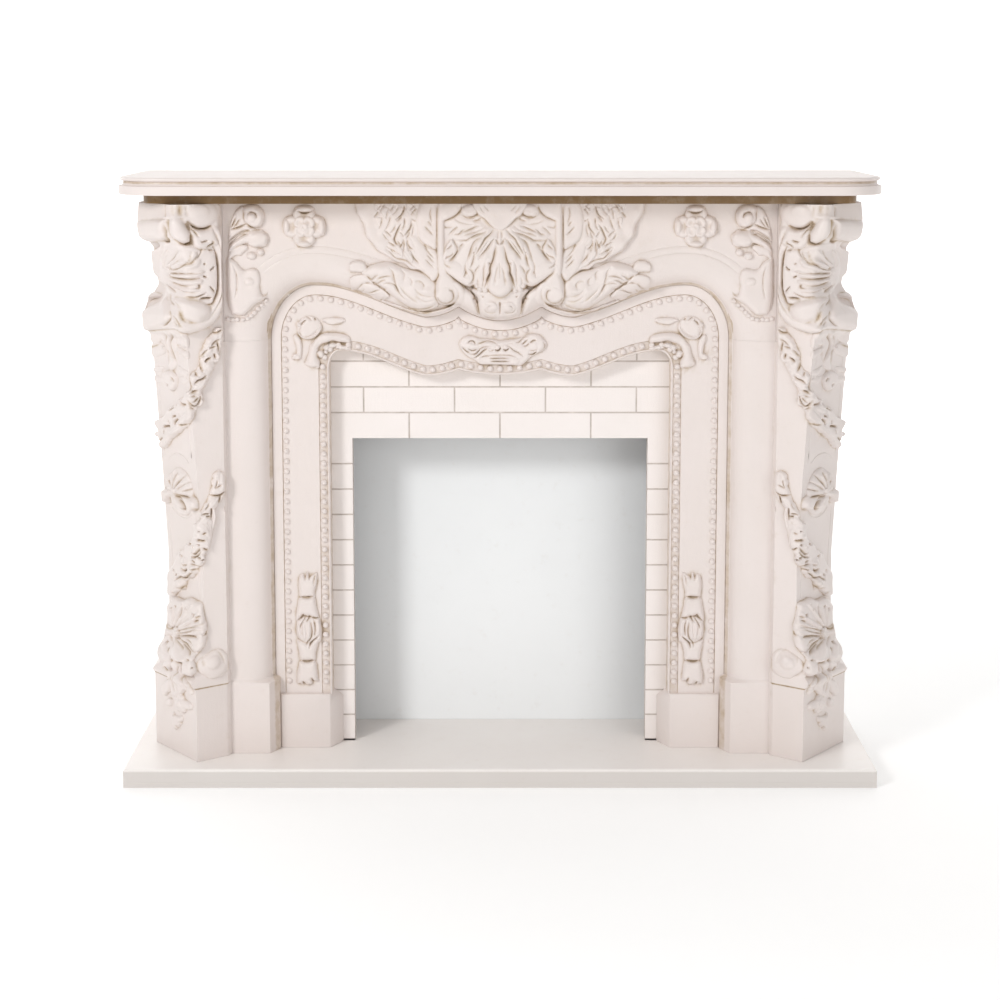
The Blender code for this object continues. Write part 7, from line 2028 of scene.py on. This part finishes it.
def make_shelf(finish):
    """Shelf: its plan, with round front corners, drawn in by each step of the profile."""
    slab = SHELF_LOW.z + 0.0177
    half, corner, front = SHELF_HIGH.x, 0.100, SHELF_LOW.y
    arcs = ((0.0, 0.0032, 0.0004, 0.0), (0.0, 0.0168, 0.003, 0.0205))
    fascia = [(arcs[0][0] + 0.0028 * (1 - math.sin(q)), slab + 0.0030 * (1 - math.cos(q)))
              for q in np.linspace(0, math.pi / 2, 6)]
    cove = [(0.0090 * math.sin(q), slab + 0.0225 - 0.0055 * math.cos(q)) for q in np.linspace(0, math.pi / 2, 6)]
    bead = [(0.0045 + 0.0045 * math.cos(q), slab + 0.0262 + 0.0022 * math.sin(q))
            for q in np.linspace(-math.pi / 2, 0, 3)]
    nose = [(0.0100 - 0.0070 * math.sin(q), slab + 0.0306 - 0.0044 * math.cos(q)) for q in np.linspace(0, math.pi, 12)]
    neck = 0.048
    profile = [(neck, SHELF_LOW.z), (neck, slab - 0.0025), (neck - 0.001, slab - 0.0012), (0.0060, slab)]
    profile += fascia + cove + [(0.0098, slab + 0.0262)] + nose + [(0.0140, SHELF_HIGH.z)]
    profile = [(inset, min(level, SHELF_HIGH.z)) for inset, level in profile]
    inset = np.array([step[0] for step in profile])[:, None]
    level = np.array([step[1] for step in profile])[:, None]
    turn = np.linspace(0, math.pi / 2, 25)[None]
    radius = corner - inset
    centre = half - inset - radius
    left_x, left_y = -centre - radius * np.cos(turn), front + inset + radius * (1 - np.sin(turn))
    straight = np.linspace(-1, 1, 30)[None, 1:-1]
    x = np.hstack([-(half - inset), left_x, centre * straight, -left_x[:, ::-1], half - inset])
    y = np.hstack([WALL + 0 * inset, left_y, front + inset + 0 * straight, left_y[:, ::-1], WALL + 0 * inset])
    hollow = np.zeros_like(x)
    # Darkest tone in the neck under the shelf: painted shade under the shelf, over the glaze. The crease between the
    # cove and the bead takes glaze and painted shade.
    hollow[:4] = 1.0
    hollow[[4 + len(fascia) + len(cove) - 1, 4 + len(fascia) + len(cove)]] = 0.5
    body = Carving()
    body.tube(x, level + 0 * x, -y, hollow)
    ground = lambda a, b, h: np.column_stack([a, -h, b])
    return make_piece("moulded_shelf", [(body, ground, None)], finish, "shelf", 30)


def studio(paper, backcloth):
    """Pale floor, a lit backcloth behind it, a soft key from the upper left, a wide fill from the right
    and an even world."""
    for name, corners, finish in (
            ("studio_floor", [(-7, -7, 0), (7, -7, 0), (7, 2.8, 0), (-7, 2.8, 0)], paper),
            ("studio_backcloth", [(-7, 2.8, 0), (7, 2.8, 0), (7, 2.8, 6), (-7, 2.8, 6)], backcloth)):
        mesh = bpy.data.meshes.new(name)
        mesh.from_pydata(corners, [], [(0, 1, 2, 3)])
        mesh.materials.append(finish)
        sheet = bpy.data.objects.new(name, mesh)
        bpy.context.scene.collection.objects.link(sheet)
    for name, place, aim, size, energy in LAMPS:
        light = bpy.data.lights.new(name, "AREA")
        light.size = size
        light.energy = energy
        lamp = bpy.data.objects.new(name, light)
        lamp.location = place
        lamp.rotation_euler = (Vector(aim) - Vector(place)).to_track_quat("-Z", "Y").to_euler()
        bpy.context.scene.collection.objects.link(lamp)
    world = bpy.data.worlds.new("studio_world")
    world.use_nodes = True
    world.node_tree.nodes["Background"].inputs["Color"].default_value = (1.0, 0.99, 0.98, 1.0)
    world.node_tree.nodes["Background"].inputs["Strength"].default_value = WORLD_STRENGTH
    bpy.context.scene.world = world
    bpy.context.scene.view_settings.view_transform = "Standard"


def camera():
    """Camera at the photograph's viewing angle, level with the top of the shelf and a little above."""
    lens = bpy.data.cameras.new("camera")
    lens.sensor_width = 36.0
    lens.lens = 76.54
    lens.shift_y = -0.1283
    view = bpy.data.objects.new("camera", lens)
    view.location = (0.0, -4.292, 1.3774)
    view.rotation_euler = (math.pi / 2 - 0.1317, 0.0, 0.0)
    bpy.context.scene.collection.objects.link(view)
    bpy.context.scene.camera = view


def plain_finish(name, glow):
    """Pale matt paper or cloth with a faint cloudiness, and a glow where it is lit from elsewhere."""
    finish = bpy.data.materials.new(name)
    finish.use_nodes = True
    add = node_adder(finish.node_tree)
    place = add("ShaderNodeTexCoord").outputs["Object"]
    clouds = add("ShaderNodeTexNoise", {"Vector": place, "Scale": 1.5, "Detail": 2.0})
    tone = add("ShaderNodeMix", {0: clouds.outputs["Fac"], 6: (0.93, 0.93, 0.93, 1.0), 7: (0.95, 0.95, 0.945, 1.0)},
               data_type="RGBA")
    shader = finish.node_tree.nodes["Principled BSDF"]
    finish.node_tree.links.new(tone.outputs[2], shader.inputs["Base Color"])
    shader.inputs["Roughness"].default_value = 0.9
    shader.inputs["Emission Color"].default_value = (1.0, 1.0, 1.0, 1.0)
    shader.inputs["Emission Strength"].default_value = glow
    return finish


def dress():
    """Make every piece of the mantel and the studio round it."""
    # Beige glaze for the hollows, partly real antique glaze and partly painted shade.
    glaze = (0.50, 0.38, 0.25)
    ivory = painted("ivory_paint", (0.800, 0.725, 0.695), (0.780, 0.705, 0.670), glaze, 0.40)
    bricks = painted("brick_paint", (0.900, 0.840, 0.815), (0.880, 0.820, 0.790), (0.68, 0.61, 0.57), 0.50,
                     deep=(0.50, 0.44, 0.39))
    # Pale hearth paint with its front face, below the top, darkened: painted light on the top and painted shade on the
    # front.
    hearth = painted("hearth_paint", (0.930, 0.890, 0.860), (0.915, 0.870, 0.840), glaze, 0.36, 0.6,
                     edge=(HEARTH_TOP - 0.002, (0.72, 0.71, 0.70)))
    board = painted("board_paint", (0.930, 0.945, 0.950), (0.915, 0.930, 0.935), glaze, 0.60, 0.5)
    camera()
    studio(plain_finish("studio_paper", 0.18), plain_finish("studio_cloth", 0.75))
    make_shelf(ivory)
    make_frieze(ivory)
    make_leg("carved_leg_right", "leg_right", pier_ground, 1, ivory)
    make_leg("carved_leg_left", "leg_left", mirrored_ground(pier_ground), -1, ivory)
    make_frame(ivory)
    make_bricks(bricks)
    for node, finish in (("hearth_slab", hearth), ("firebox_back", board)):
        for index in range(len(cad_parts[node].material_slots)):
            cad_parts[node].material_slots[index].material = finish


dress()
